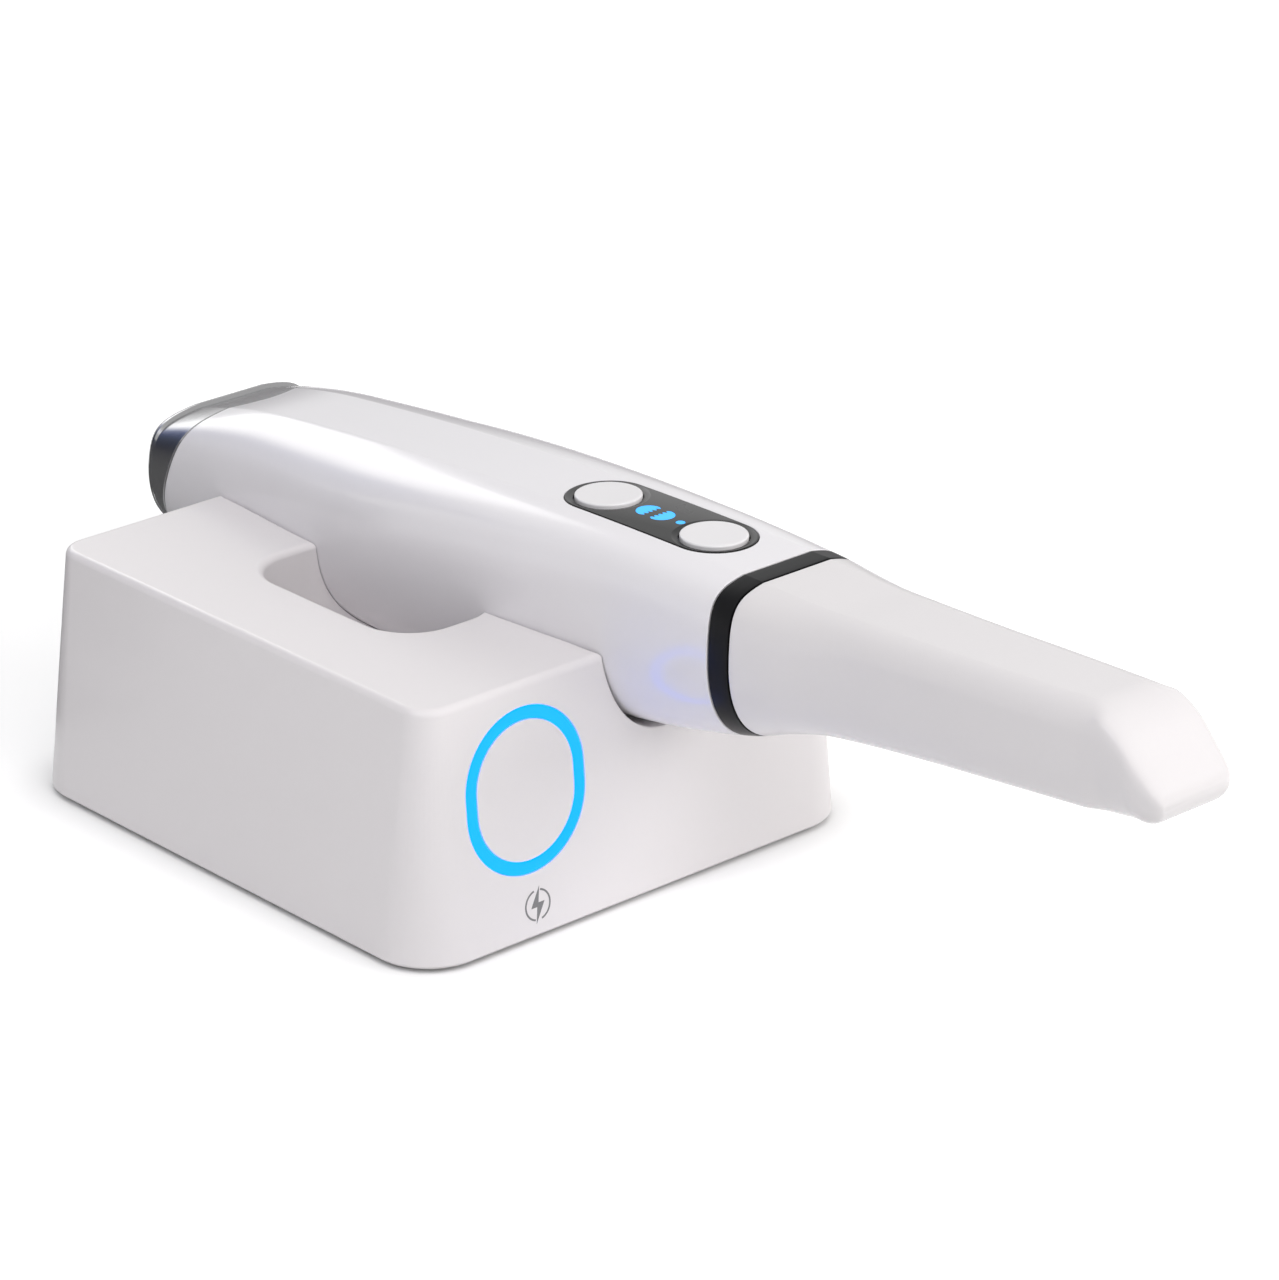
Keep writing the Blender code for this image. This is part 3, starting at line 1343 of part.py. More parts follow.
def make_chassis(looks, handpiece):
    """Carrier: a tapered deck, two saddles round the cell, and a bulkhead with a ledge."""
    low = deck_height()
    high = low + CHASSIS_THICKNESS
    rings = []
    for y in np.linspace(CHASSIS_FRONT, CHASSIS_REAR, CHASSIS_ROWS):
        w = min(CHASSIS_HALF_WIDTH, inner_half_width(y, low) - 2 * GAP)
        rings.append([(w, y, low), (w, y, high), (-w, y, high), (-w, y, low)])
    chassis = ring_solid("inner_chassis", rings, looks["inner_plastic"], handpiece)
    added = []
    board = main_board_height() - GAP
    for number, y in enumerate(SADDLE_YS, start=1):
        half = min(CHASSIS_HALF_WIDTH, inner_half_width(y, high) - 3 * GAP)
        added.append(
            block(
                f"saddle_{number}", (-half, y, high - SINK), (half, y + SADDLE_WIDTH, board),
                looks["inner_plastic"], handpiece,
            )
        )
    under_board = switch_frame()[0][2] - BOARD_THICKNESS - BULKHEAD_DROP
    half = min(BULKHEAD_HALF_WIDTH, inner_half_width(CHASSIS_FRONT, high) - 3 * GAP)
    rear = CHASSIS_FRONT + BULKHEAD
    added.append(
        block(
            "bulkhead", (-half, CHASSIS_FRONT + HAIR, high - SINK), (half, rear, under_board),
            looks["inner_plastic"], handpiece,
        )
    )
    ledge_top = spreader_height() - GAP
    added.append(
        block(
            "ledge",
            (LEDGE_INSET - half, CHASSIS_FRONT - LEDGE_LENGTH, ledge_top - LEDGE_THICKNESS),
            (half - LEDGE_INSET, CHASSIS_FRONT + 2 * SINK, ledge_top), looks["inner_plastic"],
            handpiece,
        )
    )
    feet = []
    for y in CHASSIS_FOOT_YS:
        for side in (-1, 1):
            x = side * CHASSIS_FOOT * 1.6
            floor = inner_floor(y, abs(x) + CHASSIS_FOOT) + GAP
            outline = circle(CHASSIS_FOOT, TINY_ROUND)
            feet.append(
                extruded(
                    f"foot_{len(feet) + 1}", outline, floor, low + SINK, looks["inner_plastic"],
                    handpiece, (x, y, 0),
                )
            )
    fuse(chassis, *added, *feet)
    bed = extruded(
        "battery_bed", circle(BATTERY_RADIUS + GAP, FINE_ROUND), -CHASSIS_REAR - OVERCUT, 0.0,
        looks["cell_sleeve"], handpiece, (0.0, 0.0, battery_height()), math.pi / 2,
    )
    passage = block(
        "cable_passage", (-PASSAGE_HALF_WIDTH, CHASSIS_FRONT - OVERCUT, high + PASSAGE_RISE[0]),
        (PASSAGE_HALF_WIDTH, rear + OVERCUT, high + PASSAGE_RISE[1]), looks["inner_plastic"],
        handpiece,
    )
    cut(chassis, bed, passage)


def make_power_pieces(looks, handpiece):
    rear = BATTERY_REAR
    front = rear - BATTERY_LENGTH
    radius = BATTERY_RADIUS
    nub = CELL_NUB_RADIUS
    profile = [
        (0.0, -rear),
        (radius - CELL_EDGE, -rear),
        (radius, CELL_EDGE - rear),
        (radius, -front - CELL_NUB - CELL_EDGE),
        (radius - CELL_EDGE, -front - CELL_NUB),
        (nub, -front - CELL_NUB),
        (nub, -front),
        (0.0, -front),
    ]
    lathe(
        "battery_cell", profile, looks["cell_sleeve"], handpiece, (0.0, 0.0, battery_height()),
        math.pi / 2, steps=FINE_ROUND,
    )
    foot = receiver_foot()
    flat_coil(
        "receiving_coil", (0.0, RECEIVER_Y, foot + RECEIVER_THICKNESS), RECEIVER_WIDTH,
        RECEIVER_LENGTH, RECEIVER_HOLE, RECEIVER_THICKNESS, looks["copper"], handpiece,
    )
    low = foot + RECEIVER_THICKNESS + GAP
    outline = rounded_rectangle(RECEIVER_WIDTH / 2, RECEIVER_LENGTH / 2, PLATE_CORNER)
    extruded(
        "receiving_ferrite", outline, low, low + FERRITE_THICKNESS, looks["ferrite"], handpiece,
        (0.0, RECEIVER_Y, 0.0),
    )
    low = main_board_height()
    half = MAIN_BOARD_WIDTH / 2
    front = MAIN_BOARD_REAR - MAIN_BOARD_LENGTH
    board = block(
        "handpiece_main_board", (-half, front, low), (half, MAIN_BOARD_REAR, low + BOARD_THICKNESS),
        looks["circuit_board"], handpiece,
    )
    chips = []
    for number, (x, y, size) in enumerate(MAIN_CHIPS, start=1):
        low_corner, high_corner = lay(
            (x, y, low + BOARD_THICKNESS - SINK), (size, size, CHIP_RISE + SINK)
        )
        chips.append(
            block(f"main_chip_{number}", low_corner, high_corner, looks["inner_plastic"], handpiece)
        )
    fuse(board, *chips)


# Tip and optics

def nose_top():
    return TOP_PEAK_HEIGHT - NOSE_TOP_DEPTH


def shrunk(ring, margin):
    """The ring drawn in about its middle until each side has moved by the margin."""
    low = ring.min(axis=0)
    high = ring.max(axis=0)
    middle = (low + high) / 2
    reach = (high - low) / 2
    scale = np.array((1 - margin / reach[0], 1.0, 1 - margin / reach[2]))
    return middle + (ring - middle) * scale


def make_nose(looks, handpiece):
    """Fixed tube that carries the tip. Its rear is a flange inside the shell and the collar."""
    rows = [(NOSE_REAR, SHELL_WALL + GAP), (COLLAR_FRONT, SHELL_WALL + GAP)]
    rows += [(y, TIP_WALL + NOSE_CLEARANCE) for y in NOSE_ROWS]
    rings = [section_ring(y, inset, 2, nose_top()) for y, inset in rows]
    rings += [shrunk(ring, NOSE_WALL) for ring in rings[::-1]]
    ring_solid("optical_nose", rings, looks["inner_plastic"], handpiece, loop=True)
    glass = []
    for y in (NOSE_FRONT + GLASS_SETBACK, NOSE_FRONT + GLASS_SETBACK + NOSE_GLASS):
        around = section_ring(y, TIP_WALL + NOSE_CLEARANCE, 2, nose_top())
        glass.append(shrunk(around, NOSE_WALL + GAP))
    ring_solid("nose_window", glass, looks["glass"], handpiece)
    seal = []
    near = TIP_WALL + NOSE_CLEARANCE - GAP
    far = TIP_WALL + GAP
    for y, inset in (
        (SEAL_Y, near),
        (SEAL_Y, far),
        (SEAL_Y - SEAL_WIDTH, far),
        (SEAL_Y - SEAL_WIDTH, near),
    ):
        limit = nose_top() + (GAP if inset == near else SEAL_RISE)
        seal.append(section_ring(y, inset, 2, limit))
    ring_solid("tip_seal_ring", seal, looks["rubber"], handpiece, loop=True)


def spreader_height():
    """Underside of the heat spreader."""
    return TOP_PEAK_HEIGHT - SPREADER_DEPTH


def make_optics(looks, handpiece):
    half = SPREADER_HALF_WIDTH
    rear = CHASSIS_FRONT - GAP
    block(
        "heat_spreader", (-half, SPREADER_FRONT, spreader_height()),
        (half, rear, spreader_height() + SPREADER_THICKNESS), looks["aluminium"], handpiece,
    )
    foot = spreader_height() + SPREADER_THICKNESS + GAP
    low, high = lay(
        (0.0, rear - IMAGING_BOARD_SETBACK - IMAGING_BOARD_LENGTH, foot),
        (IMAGING_BOARD_WIDTH, IMAGING_BOARD_LENGTH, BOARD_THICKNESS),
    )
    board = block("imaging_board", low, high, looks["circuit_board"], handpiece)
    chip_low, chip_high = lay(
        (0.0, rear - IMAGING_CHIP_SETBACK, foot + BOARD_THICKNESS - SINK),
        (IMAGING_CHIP, IMAGING_CHIP, CHIP_RISE + SINK),
    )
    fuse(board, block("imaging_chip", chip_low, chip_high, looks["inner_plastic"], handpiece))
    modules = (
        ("projector_module", 0.0, PROJECTOR_WIDTH, PROJECTOR_LENGTH, PROJECTOR_HEIGHT),
        ("left_camera", -1.0, CAMERA_WIDTH, CAMERA_LENGTH, CAMERA_HEIGHT),
        ("right_camera", 1.0, CAMERA_WIDTH, CAMERA_LENGTH, CAMERA_HEIGHT),
    )
    for name, side, width, length, height in modules:
        x = side * (PROJECTOR_WIDTH / 2 + GAP + CAMERA_WIDTH / 2)
        low, high = lay((x, OPTICS_REAR - length, foot), (width, length, height))
        module = block(name, low, high, looks["inner_plastic"], handpiece)
        middle = foot + height / 2
        barrel = extruded(
            f"{name}_barrel", circle(width * LENS_SHARE, SMALL_ROUND), -SINK, LENS_LENGTH,
            looks["aluminium"], handpiece, (x, OPTICS_REAR - length, middle), math.pi / 2,
        )
        dimple = extruded(
            f"{name}_glass", circle(width * LENS_GLASS_SHARE, SMALL_ROUND), LENS_LENGTH - LENS_DIMPLE,
            LENS_LENGTH + OVERCUT, looks["glass"], handpiece, (x, OPTICS_REAR - length, middle),
            math.pi / 2,
        )
        fuse(module, barrel)
        cut(module, dimple)


def tip_end_rings(inset):
    """Slanted sections from the end of the straight tip to its rounded front edge."""
    top = top_height(TIP_END)
    keel = keel_height(TIP_END)
    half = half_width(TIP_END)
    angle = TIP_FACE_ANGLE
    big = TIP_FACE_TOP_RADIUS
    small = TIP_NOSE_RADIUS
    arc_end = np.array([TIP_END - big * math.sin(angle), top - big * (1 - math.cos(angle))])
    along = np.array([-math.cos(angle), -math.sin(angle)])
    face_end = arc_end + TIP_FACE_LENGTH * along
    centre = face_end + small * np.array([math.sin(angle), -math.cos(angle)])
    uppers = []
    for step in range(1, TIP_ARC_STEPS + 1):
        turn = angle * step / TIP_ARC_STEPS
        uppers.append((TIP_END - big * math.sin(turn), top - big * (1 - math.cos(turn))))
    uppers += [tuple(arc_end + (face_end - arc_end) * share) for share in (0.5, 1.0)]
    lowers = []
    foot = centre + (0.0, -small)
    for step in range(1, len(uppers) + 1):
        share = step / len(uppers)
        lowers.append((mixed(TIP_END, foot[0], share), mixed(keel, foot[1], share)))
    for step in range(1, TIP_NOSE_STEPS + 1):
        share = step / (TIP_NOSE_STEPS + 0.3)
        turn_up = mixed(math.pi / 2 + angle, math.pi, share)
        turn_down = mixed(math.pi * 1.5, math.pi, share)
        uppers.append((centre[0] + small * math.cos(turn_up), centre[1] + small * math.sin(turn_up)))
        lowers.append((centre[0] + small * math.cos(turn_down), centre[1] + small * math.sin(turn_down)))
    front = centre[0] - small
    rings = []
    for upper, lower in zip(uppers, lowers):
        upper = np.array(upper)
        lower = np.array(lower)
        height = float(np.linalg.norm(upper - lower))
        if height < 2 * inset + TIP_LEAST_HEIGHT:
            break
        past = TIP_NARROWS_FROM - (upper[0] + lower[0]) / 2
        reach = min(max(past / (TIP_NARROWS_FROM - front), 0), 1)
        side = half - TIP_NOSE_NARROWING * (1 - math.sqrt(max(1 - reach * reach, 0)))
        corner = min(TIP_CORNER, height / 2.05)
        outline = outline_between(
            side - corner, side, side - corner, height, height - corner, 0.0, 1.0
        )
        outline = inset_outline(outline, inset)
        up = (upper - lower) / height
        points = [(x, lower[0] + v * up[0], lower[1] + v * up[1]) for x, v in outline]
        rings.append(np.array(points))
    return rings


def make_tip(looks, tip):
    """Detachable hollow tip, open at its rear and through a window under its end."""
    rear = COLLAR_FRONT - GAP
    rings = tip_end_rings(TIP_WALL)[::-1]
    rings += [section_ring(y, TIP_WALL) for y in (TIP_END, *TIP_INNER_ROWS, rear)]
    rings.append(section_ring(rear, TIP_REAR_WALL_EDGE))
    rings += [section_ring(y) for y in (rear - TIP_REAR_WALL_EDGE, *TIP_ROWS, TIP_END)]
    rings += tip_end_rings(0.0)
    origin = tip_origin()
    rings = [ring - origin for ring in rings]
    sleeve = ring_solid("tip_sleeve", rings, looks["tip_white"], tip)
    middle = (WINDOW_REAR + WINDOW_FRONT) / 2
    half_y = (WINDOW_REAR - WINDOW_FRONT) / 2
    keel = keel_height(TIP_END)
    place = tuple(np.array((0.0, middle, keel)) - origin)
    window = rounded_rectangle(WINDOW_HALF_WIDTH, half_y, WINDOW_CORNER)
    rim = rounded_rectangle(
        WINDOW_HALF_WIDTH + WINDOW_RIM, half_y + WINDOW_RIM, WINDOW_CORNER + WINDOW_RIM
    )
    cut(
        sleeve,
        extruded("scan_window", window, -OVERCUT, OVERCUT + TIP_WALL, looks["tip_white"], tip, place),
        extruded("window_rim", rim, -OVERCUT, WINDOW_RIM_DEPTH, looks["tip_white"], tip, place),
    )
    big = TIP_FACE_TOP_RADIUS
    angle = TIP_FACE_ANGLE
    across = TIP_FACE_LENGTH / 2
    y = TIP_END - big * math.sin(angle) - across * math.cos(angle)
    z = top_height(TIP_END) - big * (1 - math.cos(angle)) - across * math.sin(angle)
    outline = rounded_rectangle(MIRROR_WIDTH / 2, MIRROR_LENGTH / 2, MIRROR_CORNER)
    back = -TIP_WALL - GAP - MIRROR_SETBACK
    extruded(
        "tip_mirror", outline, back - MIRROR_THICKNESS, back, looks["mirror"], tip,
        tuple(np.array((0.0, y, z)) - origin), angle,
    )


def tip_origin():
    """Middle of the tip's open rear end, on the axis that it slides along."""
    rear = COLLAR_FRONT - GAP
    return np.array((0.0, rear, (top_height(rear) + keel_height(rear)) / 2))


def clear_scene():
    for made in list(bpy.data.objects):
        bpy.data.objects.remove(made, do_unlink=True)


def main():
    clear_scene()
    looks = make_materials()
    dock = empty("dock", (0.0, 0.0, MAT_PROUD))
    handpiece = empty("handpiece", (HANDPIECE_X, 0.0, MAT_PROUD))
    tip = empty("tip", tuple(tip_origin()))
    tip.parent = handpiece
    make_dock_shell(looks, dock)
    make_power_inlet(looks, dock)
    post_top = make_dock_charger(looks, dock)
    make_base_plate(looks, dock, post_top)
    make_mat(looks, dock)
    make_base_screws(looks, dock)
    make_light_ring(looks, dock)
    make_dock_boards(looks, dock)
    make_body_shell(looks, handpiece)
    make_tail_cap(looks, handpiece)
    make_collar(looks, handpiece)
    make_button_panel(looks, handpiece)
    make_button("rear_button", PANEL_REAR_CENTRE, looks, handpiece)
    make_button("front_button", PANEL_FRONT_CENTRE, looks, handpiece)
    make_light_guide(looks, handpiece)
    make_switches(looks, handpiece)
    make_chassis(looks, handpiece)
    make_power_pieces(looks, handpiece)
    make_nose(looks, handpiece)
    make_optics(looks, handpiece)
    make_tip(looks, tip)


main()
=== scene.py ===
"""Finished visual model of the cordless intraoral scanner in its charging dock.

Metres, +Z up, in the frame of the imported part. The skins are drawn again from the same
sections as the part, in finer steps, with their small roundings and their finishes.
"""

import functools
import json
import math

import bmesh
import bpy
import numpy as np
from mathutils import Matrix, Vector


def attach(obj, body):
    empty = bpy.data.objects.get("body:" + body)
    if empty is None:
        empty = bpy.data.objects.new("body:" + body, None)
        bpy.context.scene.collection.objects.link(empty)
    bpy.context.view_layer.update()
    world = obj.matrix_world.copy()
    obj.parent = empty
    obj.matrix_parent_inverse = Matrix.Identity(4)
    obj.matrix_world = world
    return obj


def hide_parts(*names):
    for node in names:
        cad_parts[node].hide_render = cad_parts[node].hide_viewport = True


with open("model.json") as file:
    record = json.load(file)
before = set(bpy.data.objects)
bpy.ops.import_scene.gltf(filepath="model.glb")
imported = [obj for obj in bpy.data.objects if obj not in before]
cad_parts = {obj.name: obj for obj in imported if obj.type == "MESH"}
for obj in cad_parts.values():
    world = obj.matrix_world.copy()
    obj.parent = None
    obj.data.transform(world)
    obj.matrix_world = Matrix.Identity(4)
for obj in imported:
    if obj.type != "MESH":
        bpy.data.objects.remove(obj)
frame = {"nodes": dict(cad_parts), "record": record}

bl_info = {
    "name": "Intraoral scanner in its dock",
    "version": (1, 0, 0),
    "blender": (4, 5, 0),
    "location": "3D View > Sidebar > Scanner",
    "description": "Builds the finished scanner, its dock, its lights and its studio",
    "category": "Object",
}

ROOT_BODY = "scanner_and_dock"
TIP_BODY = "tip"

# Gaps, walls and small radii. The trough is tighter than the solid model's, for a thin joint line
TROUGH_SNUG = 0.00014
GAP = 0.0003
TROUGH_CLEARANCE = 0.0004
SHELL_WALL = 0.0020
TIP_WALL = 0.0013
DOCK_WALL = 0.0026
TROUGH_WALL = 0.0024
OVERCUT = 0.0030
SINK = 0.0005
HAIR = 0.0001
FLATNESS = 0.0000002

# Dock
DOCK_LENGTH = 0.1200
DOCK_WIDTH = 0.1128
DOCK_HEIGHT = 0.0503
DOCK_LEAN = 0.00492
DOCK_CORNER_FOOT = 0.0121
DOCK_CORNER_TOP = 0.0058
DOCK_TOP_EDGE = 0.0014
DOCK_FOOT_EDGE = 0.0006
DOCK_LEAST_CORNER = 0.0008
MAT_PROUD = 0.0008
MAT_THICKNESS = 0.0015
BASE_THICKNESS = 0.0024
HANDPIECE_X = 0.0104
# The recess's left side stands further in than the solid model's, as in the photo
RECESS_LEFT = -0.0310
RECESS_RIGHT = -0.0045
RECESS_FRONT = -0.0256
RECESS_REAR = 0.0225
RECESS_FLOOR = 0.0262
RECESS_CORNER = 0.0105
RECESS_TOP_EDGE = 0.0014
RECESS_FLOOR_EDGE = 0.0075
TROUGH_FLAT_FROM = -0.0460
TROUGH_TOP_EDGE = 0.0008
MOUTH_EDGE = 0.0003
MOUTH_SECTION_Y = 0.0580
TROUGH_END_Y = 0.0528
RING_X = -0.0283
RING_HEIGHT_ABOVE_RIM = 0.0293
RING_WIDTH = 0.0290
RING_LENGTH = 0.0327
RING_BAND = 0.0025
RING_DEPTH = 0.0013
RING_PEG_RADIUS = 0.0009
RING_PROUD = 0.0001
PEG_OVERHANG = 0.0008
BOSS_RADIUS = 0.0036
BOSS_INSET = 0.0135
SCREW_RADIUS = 0.0014
SCREW_HEAD_RADIUS = 0.0027
SCREW_HEAD_HEIGHT = 0.0009
RING_SLIT = 0.00012
RING_CORNER = 0.00035
SCREW_HEAD_EDGE = 0.0003
SCREW_SOCKET_DEPTH = 0.0005
SCREW_LENGTH = 0.0095
SCREW_TAPER_FROM = 0.8
BOARD_THICKNESS = 0.0016
COIL_LENGTH = 0.0440
COIL_WIDTH = 0.0260
COIL_HOLE = 0.0110
COIL_DROP = 0.0006
DOCK_BOARD_CENTRE = (-0.0280, 0.0300)
DOCK_BOARD_RISE = 0.0060
INLET_WIDTH = 0.0089
INLET_HEIGHT = 0.0032
INLET_DEPTH = 0.0074
INLET_WALL = 0.0003
INLET_FLOOR = 0.0059
INLET_TONGUE = 0.0007
TONGUE_HALF_WIDTH = 0.0033
TONGUE_SETBACK = 0.0008

# Charging symbol on the front wall: a bolt in a circle that is broken above and below it
SYMBOL_X = -0.0273
SYMBOL_HEIGHT = 0.0063
SYMBOL_RADIUS = 0.0030
SYMBOL_STROKE = 0.00038
SYMBOL_BREAK = math.radians(15)
SYMBOL_PROUD = 0.00003
SYMBOL_DEPTH = 0.00010
# Corners of the bolt, as shares of the circle's radius
BOLT = ((0.20, 1.24), (-0.56, -0.14), (-0.06, -0.14), (-0.20, -1.24), (0.56, 0.14), (0.06, 0.14))

# Handpiece skin
TOP_PEAK_Y = -0.0742
TOP_PEAK_HEIGHT = 0.07243
TOP_ARC_RADIUS = 1.100
TAIL_DROP_FROM = 0.0480
TAIL_DROP = 3.3
# Each row: y, half width, depth of the widest line and of the keel under the top line's peak,
# half width of the top facet, half width of the flat keel, squareness of the shoulders
SHAPE = (
    (0.0810, 0.0200, 0.02243, 0.03963, 0.0086, 0.0040, 0.45),
    (0.0520, 0.0208, 0.02143, 0.04183, 0.0086, 0.0045, 0.20),
    (0.0240, 0.0229, 0.02043, 0.04273, 0.0086, 0.0050, 0.15),
    (0.0120, 0.0233, 0.01993, 0.04283, 0.0086, 0.0050, 0.30),
    (-0.0260, 0.0208, 0.01793, 0.04183, 0.0086, 0.0040, 0.80),
    (-0.0560, 0.0183, 0.01593, 0.03903, 0.0086, 0.0030, 1.00),
    (-0.0850, 0.0174, 0.01443, 0.03283, 0.0086, 0.0025, 0.60),
    (-0.0950, 0.0160, 0.01193, 0.02903, 0.0084, 0.0030, 0.30),
    (-0.1050, 0.0140, 0.00843, 0.02583, 0.0080, 0.0040, 0.00),
    (-0.1150, 0.0127, 0.00563, 0.02393, 0.0075, 0.0050, 0.00),
    (-0.1300, 0.0121, 0.00463, 0.02193, 0.0071, 0.0055, 0.00),
    (-0.1500, 0.0116, 0.00353, 0.01973, 0.0066, 0.0058, 0.00),
    (-0.1680, 0.0109, 0.00253, 0.01793, 0.0059, 0.0058, 0.00),
)
# Each row: y and the depth of the detachable tip's top line under the peak, negative over it
TIP_TOP = (
    (-0.0880, 0.00009),
    (-0.1050, 0.00033),
    (-0.1150, -0.00002),
    (-0.1300, -0.00057),
    (-0.1500, -0.00157),
    (-0.1680, -0.00247),
)
TIP_BLEND = (-0.0880, -0.1180)
# How the shoulder and the belly bend: on a round section, on a square one and on the boxy tip
SHOULDER_ALONG = (0.75, 0.92, 0.55)
SHOULDER_UPRIGHT = (0.66, 0.88, 0.55)
BELLY_UPRIGHT = (0.62, 0.62, 0.86)
BELLY_ALONG = (0.60, 0.60, 0.72)
# A little deeper than the solid model's, so that the crease reads
SHOULDER_SINK = (0.13, 0.07, 0.04)
CREASE = 0.00022
CREASE_SHARE = 0.35

# Tail cap
SEAM_TOP_Y = 0.0665
SEAM_TOP_DEPTH = 0.00953
SEAM_SLOPE = 0.432
SEAM_BOW = 0.0018
RIM_LOW_Y = 0.0812
RIM_LOW_DEPTH = 0.03443
RIM_SLOPE = 0.095
RIM_CURVE = 1.0
TAIL_EDGE = 0.0019
RIM_SECTION_Y = 0.0740
RIM_SHRINK = 0.45
RIM_OUTER_SHRINKS = (0.75, 0.92)
SEAM_ROUNDS = 6
CAP_DOME = 0.0002
CAP_FLOOR_INSET = 0.0015
CAP_FLOOR_SINK = 0.0006
CAP_LIP = 0.0014
CAP_LIP_LENGTH = 0.0035
CAP_SEAM_EDGE = 0.0002

# Collar and the detachable tip
# The collar's front is a little further back than the solid model's, as in the photo
COLLAR_FRONT = -0.0877
COLLAR_REAR = -0.0830
COLLAR_WALL = 0.0018
COLLAR_EDGE = 0.00025
TIP_END = -0.1680
TIP_FACE_TOP_RADIUS = 0.0150
TIP_FACE_ANGLE = math.radians(44.4)
TIP_FACE_LENGTH = 0.0095
TIP_NOSE_RADIUS = 0.0042
TIP_NOSE_NARROWING = 0.0030
TIP_CORNER = 0.0050
TIP_NARROWS_FROM = -0.1790
TIP_LEAST_HEIGHT = 0.0012
TIP_REAR_WALL_EDGE = 0.0003
WINDOW_REAR = -0.1668
WINDOW_FRONT = -0.1782
WINDOW_HALF_WIDTH = 0.0066
WINDOW_CORNER = 0.0020
WINDOW_RIM = 0.0013
WINDOW_RIM_DEPTH = 0.00055
NOSE_REAR = -0.0780
NOSE_STEP = -0.0905
NOSE_FRONT = -0.1500
NOSE_WALL = 0.0012
NOSE_CLEARANCE = 0.0013
NOSE_TOP_DEPTH = 0.00343
SEAL_Y = -0.0960
SEAL_WIDTH = 0.0014
SEAL_RISE = 0.0009
TIP_TURN_RINGS = 7

# Button panel, buttons and lights
PANEL_HALF_WIDTH = 0.0083
PANEL_REAR_CENTRE = -0.0370
PANEL_FRONT_CENTRE = -0.0660
PANEL_PROUD = 0.00015
PANEL_THICKNESS = 0.0010
PANEL_FIT = 0.00015
BUTTON_RADIUS = 0.0065
BUTTON_PROUD = 0.00045
BUTTON_FLANGE_RADIUS = 0.0074
BUTTON_FLANGE = 0.0009
BUTTON_STEM_RADIUS = 0.0015
BUTTON_STEM = 0.0004
BUTTON_EDGE = 0.0004
BUTTON_HOLLOW = 0.00012
DISH_RADIUS = 0.0081
DISH_DEPTH = 0.00035
DISH_OVER = 0.0008
PANEL_EDGE = 0.00014
DISH_CURVE = 1.4
POCKET_EDGE = 0.00012
# Deeper teeth that stand further apart than the solid model's, to read from a distance
JAW_TOOTH = 0.0008
REAR_JAW_Y = -0.04840
FRONT_JAW_Y = -0.05170
JAW_WIDTH = 0.0052
JAW_DEPTH = 0.0026
JAW_TEETH = 5
DOT_Y = -0.0569
DOT_RADIUS = 0.0009
SLOT_MARGIN = 0.0006
GUIDE_WIDTH = 0.0080
GUIDE_THICKNESS = 0.0010
GUIDE_DROP = 0.0002
LIGHT_SINK = 0.00002

# Where the two buttons stand
BUTTON_PLACES = (("rear", PANEL_REAR_CENTRE), ("front", PANEL_FRONT_CENTRE))

# Coils
WIRE_FIT = 0.97
COIL_END_STEPS = 32
RECEIVER_Y = 0.0120
RECEIVER_LENGTH = 0.0400
RECEIVER_WIDTH = 0.0200
RECEIVER_HOLE = 0.0080
RECEIVER_THICKNESS = 0.0009

# Steps along curves
SHOULDER_STEPS = 18
BELLY_STEPS = 22
CORNER_STEPS = 14
EDGE_STEPS = 8
TROUGH_STEPS = 30
TROUGH_ROWS = 40
RECESS_TOP_STEPS = 8
RECESS_FLOOR_STEPS = 12
RING_STEPS = 32
BODY_ROWS = 90
BODY_INNER_ROWS = 12
CAP_ROWS = 16
PANEL_END_STEPS = 36
PANEL_STRAIGHT_STEPS = 8
JAW_ARC_STEPS = 24
JAW_TOOTH_STEPS = 8
TIP_ARC_STEPS = 16
TIP_NOSE_STEPS = 10
TIP_OUTER_ROWS = 70
TIP_INNER_ROW_COUNT = 12
NOSE_ROW_COUNT = 14
COIL_TURN_POINTS = 56
SYMBOL_ARC_STEPS = 24
FINE_ROUND = 96
SMALL_ROUND = 40
TINY_ROUND = 16
SCREW_ROUND = 24
SLOPE_STEP = 0.0005
SKIN_STEP = 0.0005
SHARP_ANGLE = math.radians(28)
NORMAL_WEIGHT = 60
# Where the middle point of a small rounded edge stands, as a share of its radius
EDGE_SHARE = 0.3

# Painted reflection on the panel: where its colour is painted paler, across it in X and Y, from and to
PAINTED_REFLECTION_DIRECTION = (1.0, 0.25, 0.0)
PAINTED_REFLECTION_RANGE = (-0.008, 0.011)

# The floor: half its side, and its glow, which grows between two distances from the object
FLOOR_HALF = 3.0
GLOW_RANGE = (0.16, 0.42)
FAR_GLOW = 0.85
# How far the object's contact shadow reaches, and how fast it fades
CONTACT_REACH = 0.011
CONTACT_FADE = 1.5

# Studio cards, each with its tones from one end to the other
STREAK_CENTRE = Vector((-0.065, 0.703, 0.446))
STREAK_AIM = Vector((-0.065, 0.06, 0.06))
STREAK_SIZE = (0.93, 0.36)
STREAK_TONES = (
    (0.0, (0.03, 0.04, 0.08)), (0.34, (0.03, 0.045, 0.11)), (0.50, (0.12, 0.14, 0.24)),
    (0.70, (1.0, 1.0, 1.0)), (1.0, (1.0, 1.0, 1.0)),
)
FLAG_FOOT = Vector((-0.080, 0.170, 0.0))
FLAG_ACROSS = Vector((0.74, 0.67, 0.0)) * 0.075
FLAG_HEIGHT = 0.098
FLAG_TONES = (
    (0.0, (0.17, 0.17, 0.17)), (0.30, (0.10, 0.10, 0.11)), (0.50, (0.015, 0.02, 0.05)),
    (0.80, (0.03, 0.05, 0.12)), (1.0, (0.06, 0.10, 0.22)),
)
APRON_CORNERS = (
    (-0.11, 0.088, 0.001), (0.04, 0.088, 0.001), (0.04, 0.21, 0.001), (-0.11, 0.21, 0.001),
)
